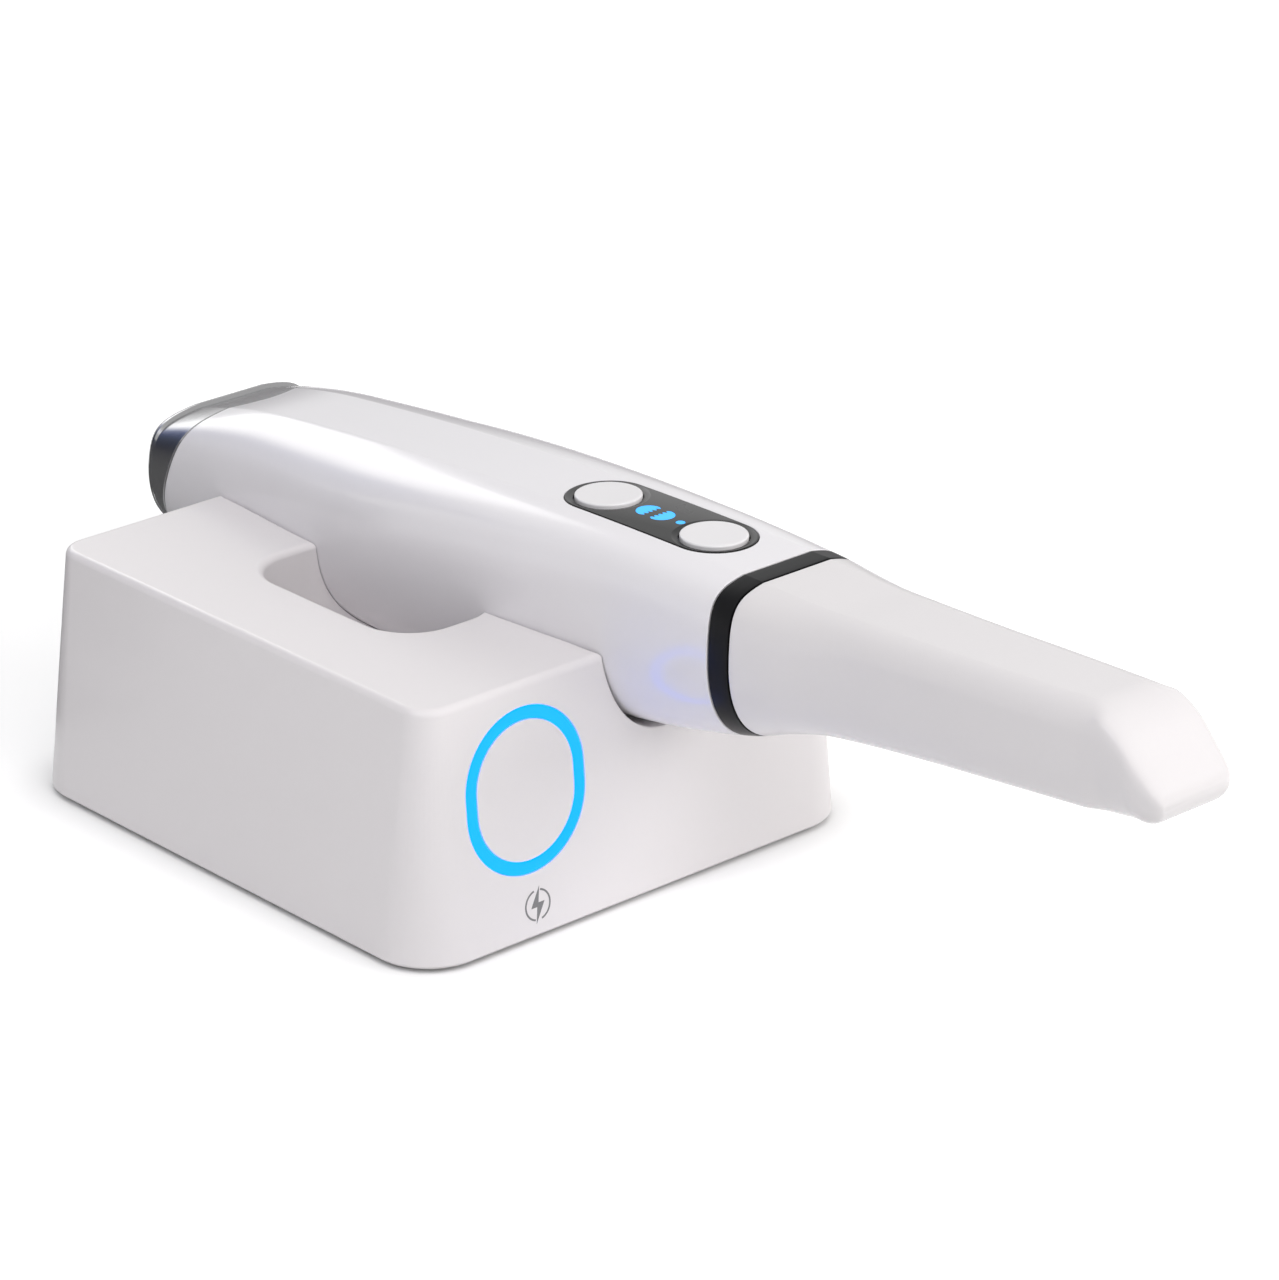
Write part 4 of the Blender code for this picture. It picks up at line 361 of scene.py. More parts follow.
APRON_TONES = ((0.0, (0.17, 0.17, 0.17)), (1.0, (0.17, 0.17, 0.17)))
HORIZON_FOOT = Vector((0.24, 0.25, 0.0))
HORIZON_ACROSS = Vector((0.72, -0.69, 0.0)) * 0.25
HORIZON_HEIGHT = 0.095
HORIZON_TONES = ((0.0, (0.26, 0.25, 0.26)), (0.7, (0.32, 0.31, 0.32)), (1.0, (0.7, 0.7, 0.7)))

# Softboxes: name, direction from the object, distance, size, colour, and whether gloss mirrors it
WARM = (1.0, 0.98, 0.965)
SOFTBOXES = (
    ("back", (0.02, 0.70, 0.72), 1.1, (0.75, 0.50), (0.95, 0.97, 1.0), False),
    ("top", (-0.25, -0.35, 0.90), 1.0, (0.80, 0.80), (1.0, 0.985, 0.98), False),
    ("front", (0.62, -0.78, 0.50), 0.95, (0.70, 0.55), WARM, False),
    ("fill", (-0.35, -0.80, 0.55), 1.1, (0.70, 0.55), WARM, False),
    ("side", (-0.80, -0.20, 0.85), 1.3, (0.60, 0.60), (0.88, 0.89, 1.0), True),
)
SENSOR_WIDTH = 36.0
CLIP = (0.05, 20.0)

DOCK = Matrix.Translation((0.0, 0.0, MAT_PROUD))
HANDPIECE = Matrix.Translation((HANDPIECE_X, 0.0, MAT_PROUD))


# Curves and outlines

def interpolate(table, position, column):
    """Smooth curve through one column of a table, with no overshoot between its rows."""
    rows = sorted(table)
    xs = np.array([row[0] for row in rows])
    values = np.array([row[column] for row in rows])
    steps = np.diff(xs)
    slopes = np.diff(values) / steps
    tangents = np.zeros(len(xs))
    tangents[0] = slopes[0]
    tangents[-1] = slopes[-1]
    for i in range(1, len(xs) - 1):
        if slopes[i - 1] * slopes[i] > 0:
            weight_a = 2 * steps[i] + steps[i - 1]
            weight_b = steps[i] + 2 * steps[i - 1]
            tangents[i] = (weight_a + weight_b) / (weight_a / slopes[i - 1] + weight_b / slopes[i])
    clamped = min(max(position, xs[0]), xs[-1])
    i = int(min(max(np.searchsorted(xs, clamped) - 1, 0), len(steps) - 1))
    t = (clamped - xs[i]) / steps[i]
    return float(
        (1 + 2 * t) * (1 - t) ** 2 * values[i]
        + t * (1 - t) ** 2 * steps[i] * tangents[i]
        + t * t * (3 - 2 * t) * values[i + 1]
        + t * t * (t - 1) * steps[i] * tangents[i + 1]
    )


def bezier(p0, p1, p2, p3, steps):
    """Points of a cubic curve, without its first point."""
    t = np.linspace(0, 1, steps + 1)[1:, None]
    p0, p1, p2, p3 = (np.array(p) for p in (p0, p1, p2, p3))
    return (1 - t) ** 3 * p0 + 3 * t * (1 - t) ** 2 * p1 + 3 * t * t * (1 - t) * p2 + t ** 3 * p3


def mixed(a, b, share):
    return a + (b - a) * share


def smooth_share(value, start, end):
    """0 at start, 1 at end, with soft ends."""
    t = min(max((value - start) / (end - start), 0.0), 1.0)
    return t * t * (3 - 2 * t)


def inset_outline(points, distance):
    """Closed outline moved inwards by a distance, or outwards when it is negative."""
    before = points - np.roll(points, 1, axis=0)
    after = np.roll(points, -1, axis=0) - points
    turned = np.sum(points[:, 0] * np.roll(points[:, 1], -1) - points[:, 1] * np.roll(points[:, 0], -1))
    side = 1.0 if turned > 0 else -1.0

    def inward(edges):
        normals = np.stack([-edges[:, 1], edges[:, 0]], axis=1) * side
        return normals / np.linalg.norm(normals, axis=1, keepdims=True)

    one = inward(before)
    two = inward(after)
    share = 1 + np.sum(one * two, axis=1, keepdims=True)
    return points + distance * (one + two) / share


def evenly_spaced(points, steps):
    """The same open line drawn with points at equal distances."""
    lengths = np.concatenate([[0.0], np.cumsum(np.linalg.norm(np.diff(points, axis=0), axis=1))])
    at = np.linspace(0, lengths[-1], steps + 1)
    return np.column_stack([np.interp(at, lengths, points[:, column]) for column in (0, 1)])


def rounded_rectangle(half_x, half_y, radius, steps=CORNER_STEPS):
    """Closed outline, anticlockwise. With the radius at half a side, that end is round."""
    points = []
    for quarter, (sx, sy) in enumerate(((1, 1), (-1, 1), (-1, -1), (1, -1))):
        for step in range(steps + 1):
            angle = math.pi / 2 * (quarter + step / steps)
            points.append(
                (
                    sx * (half_x - radius) + radius * math.cos(angle),
                    sy * (half_y - radius) + radius * math.sin(angle),
                )
            )
    points = np.array(points)
    gaps = np.linalg.norm(points - np.roll(points, 1, axis=0), axis=1)
    return points[gaps > FLATNESS]


def rounding(radius, steps=EDGE_STEPS):
    """A rounded edge as distances in from its side and down from its top, from the side up."""
    turns = [math.pi / 2 * step / steps for step in range(steps + 1)]
    return [(radius * (1 - math.cos(turn)), radius * (1 - math.sin(turn))) for turn in turns]


def circle(radius, steps):
    angles = 2 * math.pi * np.arange(steps) / steps
    return np.stack([radius * np.cos(angles), radius * np.sin(angles)], axis=1)


# Cross-sections of the handpiece

def top_height(y):
    if y >= TIP_TOP[0][0]:
        droop = TAIL_DROP * max(y - TAIL_DROP_FROM, 0.0) ** 2
        return TOP_PEAK_HEIGHT - (y - TOP_PEAK_Y) ** 2 / (2 * TOP_ARC_RADIUS) - droop
    return TOP_PEAK_HEIGHT - interpolate(TIP_TOP, y, 1)


def middle_height(y):
    """Height of the widest line."""
    return TOP_PEAK_HEIGHT - interpolate(SHAPE, y, 2)


def keel_height(y):
    return TOP_PEAK_HEIGHT - interpolate(SHAPE, y, 3)


def half_width(y):
    return interpolate(SHAPE, y, 1)


def outline_between(facet, half, flat_keel, top, middle, keel, slimness, squareness=0.0):
    """Closed outline of one section: facet, shoulders, belly and keel. slimness is 0 on the
    rounded body and 1 on the boxy tip. Two points stand close to the crease, to keep it crisp."""

    def bend(kinds):
        rounded, square, boxy = kinds
        return mixed(mixed(rounded, square, squareness), boxy, slimness)

    rise = top - middle
    fall = middle - keel
    shoulder = bezier(
        (facet, top),
        (mixed(facet, half, bend(SHOULDER_ALONG)), top - bend(SHOULDER_SINK) * rise),
        (half, middle + bend(SHOULDER_UPRIGHT) * rise),
        (half, middle),
        SHOULDER_STEPS,
    )
    belly = bezier(
        (half, middle),
        (half, middle - bend(BELLY_UPRIGHT) * fall),
        (mixed(flat_keel, half, bend(BELLY_ALONG)), keel),
        (flat_keel, keel),
        BELLY_STEPS,
    )
    near = mixed(np.array((facet, top)), shoulder[0], CREASE_SHARE)
    facet_points = [(0.0, top), (facet / 2, top), (facet - CREASE, top), (facet, top), near]
    right = np.vstack([facet_points, shoulder, belly, [(flat_keel / 2, keel), (0.0, keel)]])
    left = right[-2:0:-1] * (-1, 1)
    return np.vstack([right, left])


def section_outline(y, inset=0.0):
    """Cross-section of the skin at y, as x and height."""
    points = outline_between(
        interpolate(SHAPE, y, 4), half_width(y), interpolate(SHAPE, y, 5), top_height(y),
        middle_height(y), keel_height(y), smooth_share(y, *TIP_BLEND),
        interpolate(SHAPE, y, 6),
    )
    return inset_outline(points, inset)


RING_POINTS = len(section_outline(0.0))
SKIN_YS = np.arange(TIP_END - 2 * SKIN_STEP, RIM_LOW_Y + 4 * SKIN_STEP, SKIN_STEP)


@functools.lru_cache(maxsize=None)
def skin(inset):
    """Sections at even steps along the handpiece."""
    return np.array([section_outline(float(y), inset) for y in SKIN_YS])


def section_ring(y, inset=0.0, top_limit=None):
    """Section as points in space, at one y or with a y for each point."""
    ys = np.broadcast_to(np.asarray(y, float), (RING_POINTS,))
    at = np.clip((ys - SKIN_YS[0]) / SKIN_STEP, 0, len(SKIN_YS) - 1.001)
    row = at.astype(int)
    share = (at - row)[:, None]
    grid = skin(round(float(inset), 7))
    point = np.arange(RING_POINTS)
    flat = grid[row, point] * (1 - share) + grid[row + 1, point] * share
    if top_limit is not None:
        flat[:, 1] = np.minimum(flat[:, 1], top_limit)
    return np.stack([flat[:, 0], ys, flat[:, 1]], axis=1)


def inner_floor(y, x):
    """Height of the shell's floor at a distance from its middle plane."""
    belly = section_outline(y, SHELL_WALL)[: RING_POINTS // 2 + 1]
    belly = belly[belly[:, 1] < middle_height(y)][::-1]
    return float(np.interp(x, belly[:, 0], belly[:, 1]))


def tail_middle():
    """Height of the widest line at the tail."""
    return middle_height(SHAPE[0][0])


def seam_ys():
    """Where the skin passes from the shell to the tail cap, for each point of a section."""
    ys = np.full(RING_POINTS, SEAM_TOP_Y)
    for _ in range(SEAM_ROUNDS):
        ring = section_ring(ys)
        bow = np.clip(1 - (ring[:, 0] / SHAPE[0][4]) ** 2, 0, None) * (ring[:, 2] > tail_middle())
        below = TOP_PEAK_HEIGHT - SEAM_TOP_DEPTH - ring[:, 2]
        ys = SEAM_TOP_Y + SEAM_SLOPE * below - SEAM_BOW * bow
    return ys


def rim_y(heights):
    """Rear end of the tail cap at a height."""
    above = heights - (TOP_PEAK_HEIGHT - RIM_LOW_DEPTH)
    return RIM_LOW_Y - RIM_SLOPE * above - RIM_CURVE * above ** 2


# Building meshes

def linked(name, data):
    """New object in the scene."""
    made = bpy.data.objects.new(name, data)
    bpy.context.scene.collection.objects.link(made)
    return made


def solid(name, vertices, faces, place):
    """Closed mesh object with its place in its vertices and its faces turned outwards."""
    bm = bmesh.new()
    made = [bm.verts.new(place @ Vector(point)) for point in vertices]
    for face in faces:
        bm.faces.new([made[i] for i in face])
    bmesh.ops.recalc_face_normals(bm, faces=bm.faces)
    if bm.calc_volume(signed=True) < 0:
        bmesh.ops.reverse_faces(bm, faces=bm.faces)
    mesh = bpy.data.meshes.new(name)
    bm.to_mesh(mesh)
    bm.free()
    return linked(name, mesh)


def ring_solid(name, rings, place, loop=False, first=None, last=None):
    """Skin over rings of equally many points. It is closed by joining the last ring to the
    first, or by fans to the points first and last."""
    count = len(rings[0])
    vertices = [tuple(point) for ring in rings for point in ring]
    faces = []
    for a in range(len(rings) if loop else len(rings) - 1):
        b = (a + 1) % len(rings)
        for i in range(count):
            j = (i + 1) % count
            faces.append((a * count + i, a * count + j, b * count + j, b * count + i))
    if not loop:
        for start, centre, ring in ((0, first, rings[0]), ((len(rings) - 1) * count, last, rings[-1])):
            vertices.append(tuple(np.mean(ring, axis=0)) if centre is None else centre)
            tip = len(vertices) - 1
            for i in range(count):
                faces.append((start + i, start + (i + 1) % count, tip))
    return solid(name, vertices, faces, place)


def lathe(name, profile, place, steps=SMALL_ROUND, hexed=()):
    """Turned solid from (radius, height) points between two points on the axis. Points whose
    places are in hexed lie on a hexagon instead of a circle."""
    rings = []
    for number, (radius, height) in enumerate(profile[1:-1], start=1):
        flat = circle(radius, steps)
        if number in hexed:
            turns = (np.arange(steps) / steps * 6) % 1.0
            flat = flat * (math.cos(math.pi / 6) / np.cos((turns - 0.5) * math.pi / 3))[:, None]
        rings.append(np.column_stack([flat, np.full(steps, height)]))
    ends = [(0.0, 0.0, profile[0][1]), (0.0, 0.0, profile[-1][1])]
    return ring_solid(name, rings, place, first=ends[0], last=ends[1])


def flat_rings(levels):
    """Rings from pairs of an outline in X and Y and its height."""
    return [np.column_stack([outline, np.full(len(outline), height)]) for outline, height in levels]


def extruded(name, outline, low, high, place):
    """Outline in X and Y drawn from one height to another."""
    count = len(outline)
    vertices = [(x, y, z) for z in (low, high) for x, y in outline]
    faces = [tuple(range(count)), tuple(range(count, 2 * count))]
    faces += [(i, (i + 1) % count, count + (i + 1) % count, count + i) for i in range(count)]
    return solid(name, vertices, faces, place)


def block(name, low, high, place):
    outline = [(low[0], low[1]), (high[0], low[1]), (high[0], high[1]), (low[0], high[1])]
    return extruded(name, outline, low[2], high[2], place)


def applied(target):
    """Turns the object's modifiers into its mesh."""
    graph = bpy.context.evaluated_depsgraph_get()
    mesh = bpy.data.meshes.new_from_object(target.evaluated_get(graph), depsgraph=graph)
    old = target.data
    target.modifiers.clear()
    target.data = mesh
    bpy.data.meshes.remove(old)
    return target


def combine(target, others, operation):
    """Cuts the other solids from the target or joins them to it, and removes them."""
    for other in others:
        modifier = target.modifiers.new(other.name, "BOOLEAN")
        modifier.operation = operation
        modifier.solver = "EXACT"
        modifier.object = other
    applied(target)
    for other in others:
        bpy.data.objects.remove(other, do_unlink=True)
    require_closed(target)
    return target


def require_closed(target):
    """Stops the script where a cut or a join has left an open or turned mesh."""
    bm = bmesh.new()
    bm.from_mesh(target.data)
    unpaired = sum(len(edge.link_faces) != 2 for edge in bm.edges)
    volume = bm.calc_volume(signed=True)
    bm.free()
    if unpaired or volume <= 0:
        raise RuntimeError(f"{target.name}: {unpaired} open edges, volume {volume:.3g}")


def cut(target, *others):
    return combine(target, others, "DIFFERENCE")


def fuse(target, *others):
    return combine(target, others, "UNION")


def shaded(target):
    """Smooth faces with crisp edges, and normals that follow the large faces."""
    target.data.shade_smooth()
    target.data.set_sharp_from_angle(angle=SHARP_ANGLE)
    modifier = target.modifiers.new("normals", "WEIGHTED_NORMAL")
    modifier.mode = "FACE_AREA"
    modifier.weight = NORMAL_WEIGHT
    modifier.keep_sharp = True
    return applied(target)


def finished(target, look, slot, body, *nodes):
    """Gives a piece its finish and its body, and lets it stand for the plain nodes."""
    shaded(target)
    target.data.materials.clear()
    target.data.materials.append(look)
    target.data.name = target.name
    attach(target, body)
    if nodes:
        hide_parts(*nodes)
    return target


# Shader groups

def new_node(tree, kind, **values):
    """Node with its settings, and its sockets set by name."""
    node = tree.nodes.new(kind)
    for name, value in values.items():
        if name in node.inputs:
            node.inputs[name].default_value = value
        else:
            setattr(node, name, value)
    return node


def new_group(name, inputs, outputs):
    """Empty shader group with named sockets, with its input and output nodes."""
    tree = bpy.data.node_groups.new(name, "ShaderNodeTree")
    for label, kind, value in inputs:
        socket = tree.interface.new_socket(label, in_out="INPUT", socket_type=kind)
        socket.default_value = value
    for label, kind in outputs:
        tree.interface.new_socket(label, in_out="OUTPUT", socket_type=kind)
    return tree, tree.nodes.new("NodeGroupInput"), tree.nodes.new("NodeGroupOutput")


def ranged(tree, source, low, high, start=0.0, end=1.0):
    """Source value moved from one range to another."""
    node = tree.nodes.new("ShaderNodeMapRange")
    tree.links.new(source, node.inputs["Value"])
    for label, value in (("From Min", start), ("From Max", end), ("To Min", low), ("To Max", high)):
        if isinstance(value, (int, float)):
            node.inputs[label].default_value = value
        else:
            tree.links.new(value, node.inputs[label])
    return node.outputs["Result"]


def calculated(tree, operation, a, b):
    node = tree.nodes.new("ShaderNodeMath")
    node.operation = operation
    for place, value in enumerate((a, b)):
        if isinstance(value, (int, float)):
            node.inputs[place].default_value = value
        else:
            tree.links.new(value, node.inputs[place])
    return node.outputs[0]


def noise(tree, scale, detail=3.0, rough=0.5, stretch=(1.0, 1.0, 1.0)):
    """Noise on the piece's own coordinates, optionally stretched."""
    place = tree.nodes.new("ShaderNodeTexCoord")
    mapping = tree.nodes.new("ShaderNodeMapping")
    mapping.inputs["Scale"].default_value = stretch
    tree.links.new(place.outputs["Object"], mapping.inputs["Vector"])
    node = tree.nodes.new("ShaderNodeTexNoise")
    tree.links.new(mapping.outputs["Vector"], node.inputs["Vector"])
    node.inputs["Detail"].default_value = detail
    node.inputs["Roughness"].default_value = rough
    if isinstance(scale, (int, float)):
        node.inputs["Scale"].default_value = scale
    else:
        tree.links.new(scale, node.inputs["Scale"])
    return node.outputs["Fac"]


@functools.lru_cache(maxsize=None)
def moulding_group():
    """Moulded plastic: a slow drift of tone, a fine skin texture and uneven gloss."""
    tree, given, result = new_group(
        "moulded_skin",
        (
            ("Colour", "NodeSocketColor", (0.8, 0.8, 0.8, 1.0)),
            ("Drift", "NodeSocketFloat", 0.02),
            ("Drift Scale", "NodeSocketFloat", 18.0),
            ("Grain Scale", "NodeSocketFloat", 1400.0),
            ("Gloss Low", "NodeSocketFloat", 0.2),
            ("Gloss High", "NodeSocketFloat", 0.3),
        ),
        (("Colour", "NodeSocketColor"), ("Roughness", "NodeSocketFloat"), ("Height", "NodeSocketFloat")),
    )
    drift = noise(tree, given.outputs["Drift Scale"], 2.0)
    lowest = calculated(tree, "SUBTRACT", 1.0, given.outputs["Drift"])
    grain = noise(tree, given.outputs["Grain Scale"], 4.0, 0.6)
    speckle = noise(tree, calculated(tree, "MULTIPLY", given.outputs["Grain Scale"], 0.5), 2.0)
    mixed_tone = calculated(tree, "ADD", calculated(tree, "MULTIPLY", drift, 0.5),
                            calculated(tree, "MULTIPLY", speckle, 0.5))
    tone = ranged(tree, mixed_tone, lowest, 1.0, 0.25, 0.75)
    scaled = tree.nodes.new("ShaderNodeVectorMath")
    scaled.operation = "SCALE"
    tree.links.new(given.outputs["Colour"], scaled.inputs[0])
    tree.links.new(tone, scaled.inputs["Scale"])
    tree.links.new(scaled.outputs[0], result.inputs["Colour"])
    wear = noise(tree, calculated(tree, "MULTIPLY", given.outputs["Drift Scale"], 2.5), 3.0)
    gloss = ranged(tree, wear, given.outputs["Gloss Low"], given.outputs["Gloss High"], 0.2, 0.8)
    tree.links.new(gloss, result.inputs["Roughness"])
    tree.links.new(grain, result.inputs["Height"])
    return tree


@functools.lru_cache(maxsize=None)
def brushed_group():
    """Fine lines drawn along the length, for lacquered and bare metal."""
    tree, given, result = new_group(
        "drawn_lines",
        (
            ("Scale", "NodeSocketFloat", 900.0),
            ("Gloss Low", "NodeSocketFloat", 0.2),
            ("Gloss High", "NodeSocketFloat", 0.35),
        ),
        (("Roughness", "NodeSocketFloat"), ("Height", "NodeSocketFloat"), ("Lines", "NodeSocketFloat")),
    )
    lines = noise(tree, given.outputs["Scale"], 4.0, 0.65, (1.0, 0.03, 1.0))
    tree.links.new(lines, result.inputs["Height"])
    tree.links.new(lines, result.inputs["Lines"])
    gloss = ranged(tree, lines, given.outputs["Gloss Low"], given.outputs["Gloss High"], 0.3, 0.7)
    tree.links.new(gloss, result.inputs["Roughness"])
    return tree


@functools.lru_cache(maxsize=None)
def tracks_group():
    """Circuit board: tracks under the mask and small bright pads."""
    tree, given, result = new_group(
        "board_tracks",
        (
            ("Mask Colour", "NodeSocketColor", (0.02, 0.16, 0.08, 1.0)),
            ("Track Colour", "NodeSocketColor", (0.05, 0.30, 0.14, 1.0)),
            ("Pad Colour", "NodeSocketColor", (0.80, 0.66, 0.35, 1.0)),
            ("Scale", "NodeSocketFloat", 260.0),
        ),
        (("Colour", "NodeSocketColor"), ("Height", "NodeSocketFloat"), ("Pads", "NodeSocketFloat")),
    )
    place = tree.nodes.new("ShaderNodeTexCoord")
    courses = {"Mortar Size": 0.04, "Brick Width": 0.9, "Row Height": 0.35}
    bricks = new_node(tree, "ShaderNodeTexBrick", **courses)
    dots = tree.nodes.new("ShaderNodeTexVoronoi")
    for node in (bricks, dots):
        tree.links.new(place.outputs["Object"], node.inputs["Vector"])
        tree.links.new(given.outputs["Scale"], node.inputs["Scale"])
    pads = calculated(tree, "LESS_THAN", dots.outputs["Distance"], 0.16)
    mix = new_node(tree, "ShaderNodeMix", data_type="RGBA")
    tree.links.new(bricks.outputs["Fac"], mix.inputs["Factor"])
    tree.links.new(given.outputs["Mask Colour"], mix.inputs["A"])
    tree.links.new(given.outputs["Track Colour"], mix.inputs["B"])
    padded = new_node(tree, "ShaderNodeMix", data_type="RGBA")
    tree.links.new(pads, padded.inputs["Factor"])
    tree.links.new(colour_output(mix), colour_input(padded, "A"))
    tree.links.new(given.outputs["Pad Colour"], colour_input(padded, "B"))
    tree.links.new(colour_output(padded), result.inputs["Colour"])
    tree.links.new(bricks.outputs["Fac"], result.inputs["Height"])
    tree.links.new(pads, result.inputs["Pads"])
    return tree


def colour_output(node):
    return next(socket for socket in node.outputs if socket.type == "RGBA")


def colour_input(node, label):
    return next(socket for socket in node.inputs if socket.type == "RGBA" and socket.name == label)


# Finishes

def placed_group(tree, group, values):
    """Shader group placed in a material, with its own values."""
    node = tree.nodes.new("ShaderNodeGroup")
    node.node_tree = group
    for name, value in values.items():
        node.inputs[name].default_value = value
    return node


def opaque(colour):
    return (*colour[:3], 1.0)


def plain_shader(name, colour, **values):
    """New material with its Principled shader and constants on the shader's own sockets."""
    made = bpy.data.materials.new(name)
    made.use_nodes = True
    made.diffuse_color = opaque(colour)
    shader = made.node_tree.nodes["Principled BSDF"]
    shader.inputs["Base Color"].default_value = opaque(colour)
    for label, value in values.items():
        shader.inputs[label].default_value = value
    return made, made.node_tree, shader


def bumped(tree, shader, height, distance):
    bump = tree.nodes.new("ShaderNodeBump")
    bump.inputs["Strength"].default_value = 1.0
    bump.inputs["Distance"].default_value = distance
    tree.links.new(height, bump.inputs["Height"])
    tree.links.new(bump.outputs["Normal"], shader.inputs["Normal"])


def moulded(name, colour, gloss, drift=0.012, drift_scale=14.0, grain=2200.0, depth=0.0000008, **values):
    """Moulded plastic or rubber. gloss is the lowest and highest roughness."""
    made, tree, shader = plain_shader(name, colour, **values)
    group = placed_group(
        tree,
        moulding_group(),
        {
            "Colour": opaque(colour), "Drift": drift, "Drift Scale": drift_scale,
            "Grain Scale": grain, "Gloss Low": gloss[0], "Gloss High": gloss[1],
        },
    )
    tree.links.new(group.outputs["Colour"], shader.inputs["Base Color"])
    tree.links.new(group.outputs["Roughness"], shader.inputs["Roughness"])
    bumped(tree, shader, group.outputs["Height"], depth)
    return made


def panel_finish(name, colour, pale):
    """Dark gloss plate with a painted reflection: its colour is painted paler towards its rear right
    corner, standing in for the room that shows in it.
    """
    made = moulded(name, colour, (0.26, 0.32), 0.10, 30.0, **{"Specular IOR Level": 0.2})
    tree = made.node_tree
    shader = tree.nodes["Principled BSDF"]
    place = tree.nodes.new("ShaderNodeTexCoord")
    along = tree.nodes.new("ShaderNodeVectorMath")
    along.operation = "DOT_PRODUCT"
    along.inputs[1].default_value = PAINTED_REFLECTION_DIRECTION
    tree.links.new(place.outputs["Object"], along.inputs[0])
    # Painted reflection: the plate's colour is mixed towards the pale colour along the painted
    # reflection's direction
    mix = new_node(tree, "ShaderNodeMix", data_type="RGBA")
    tree.links.new(ranged(tree, along.outputs["Value"], 0.0, 1.0, *PAINTED_REFLECTION_RANGE), mix.inputs["Factor"])
    tree.links.new(shader.inputs["Base Color"].links[0].from_socket, colour_input(mix, "A"))
    colour_input(mix, "B").default_value = opaque(pale)
    tree.links.new(colour_output(mix), shader.inputs["Base Color"])
    return made


def drawn_metal(name, colour, gloss, scale=900.0, depth=0.000002, darkest=0.85, **values):
    """Metal or metallic lacquer with fine lines along its length."""
    made, tree, shader = plain_shader(name, colour, **values)
    group = placed_group(
        tree, brushed_group(), {"Scale": scale, "Gloss Low": gloss[0], "Gloss High": gloss[1]}
    )
    mix = new_node(tree, "ShaderNodeMix", data_type="RGBA")
    colour_input(mix, "A").default_value = opaque([part * darkest for part in colour[:3]])
    colour_input(mix, "B").default_value = opaque(colour)
    tree.links.new(group.outputs["Lines"], mix.inputs["Factor"])
    tree.links.new(colour_output(mix), shader.inputs["Base Color"])
    tree.links.new(group.outputs["Roughness"], shader.inputs["Roughness"])
    bumped(tree, shader, group.outputs["Height"], depth)
    return made


def board_finish(name, colour):
    made, tree, shader = plain_shader(name, colour, Roughness=0.35)
    group = placed_group(tree, tracks_group(), {"Mask Colour": opaque(colour)})
    tree.links.new(group.outputs["Colour"], shader.inputs["Base Color"])
    tree.links.new(group.outputs["Pads"], shader.inputs["Metallic"])
    tree.links.new(ranged(tree, group.outputs["Pads"], 0.38, 0.22), shader.inputs["Roughness"])
    bumped(tree, shader, group.outputs["Height"], 0.00003)
    return made


def glowing(name, colour, strength, body_colour):
    """Lit light guide: a frosted skin that glows, a little unevenly between its lamps."""
    made = moulded(name, body_colour, (0.18, 0.26), 0.05, 60.0, **{"Specular IOR Level": 0.15})
    tree = made.node_tree
    shader = tree.nodes["Principled BSDF"]
    shader.inputs["Emission Strength"].default_value = strength
    group = placed_group(
        tree, moulding_group(), {"Colour": opaque(colour), "Drift": 0.06, "Drift Scale": 60.0}
    )
    tree.links.new(group.outputs["Colour"], shader.inputs["Emission Color"])
    return made


def clear_glass(name, colour):
    made, tree, shader = plain_shader(
        name, colour, Roughness=0.03, **{"Transmission Weight": 0.9, "IOR": 1.5}
    )
    group = placed_group(tree, moulding_group(), {"Gloss Low": 0.02, "Gloss High": 0.06})
    tree.links.new(group.outputs["Roughness"], shader.inputs["Roughness"])
    return made


def slot_colour(slot):
    """Colour of one of the record's material slots."""
    return next(row["base_color"] for row in frame["record"]["materials"] if row["slot"] == slot)


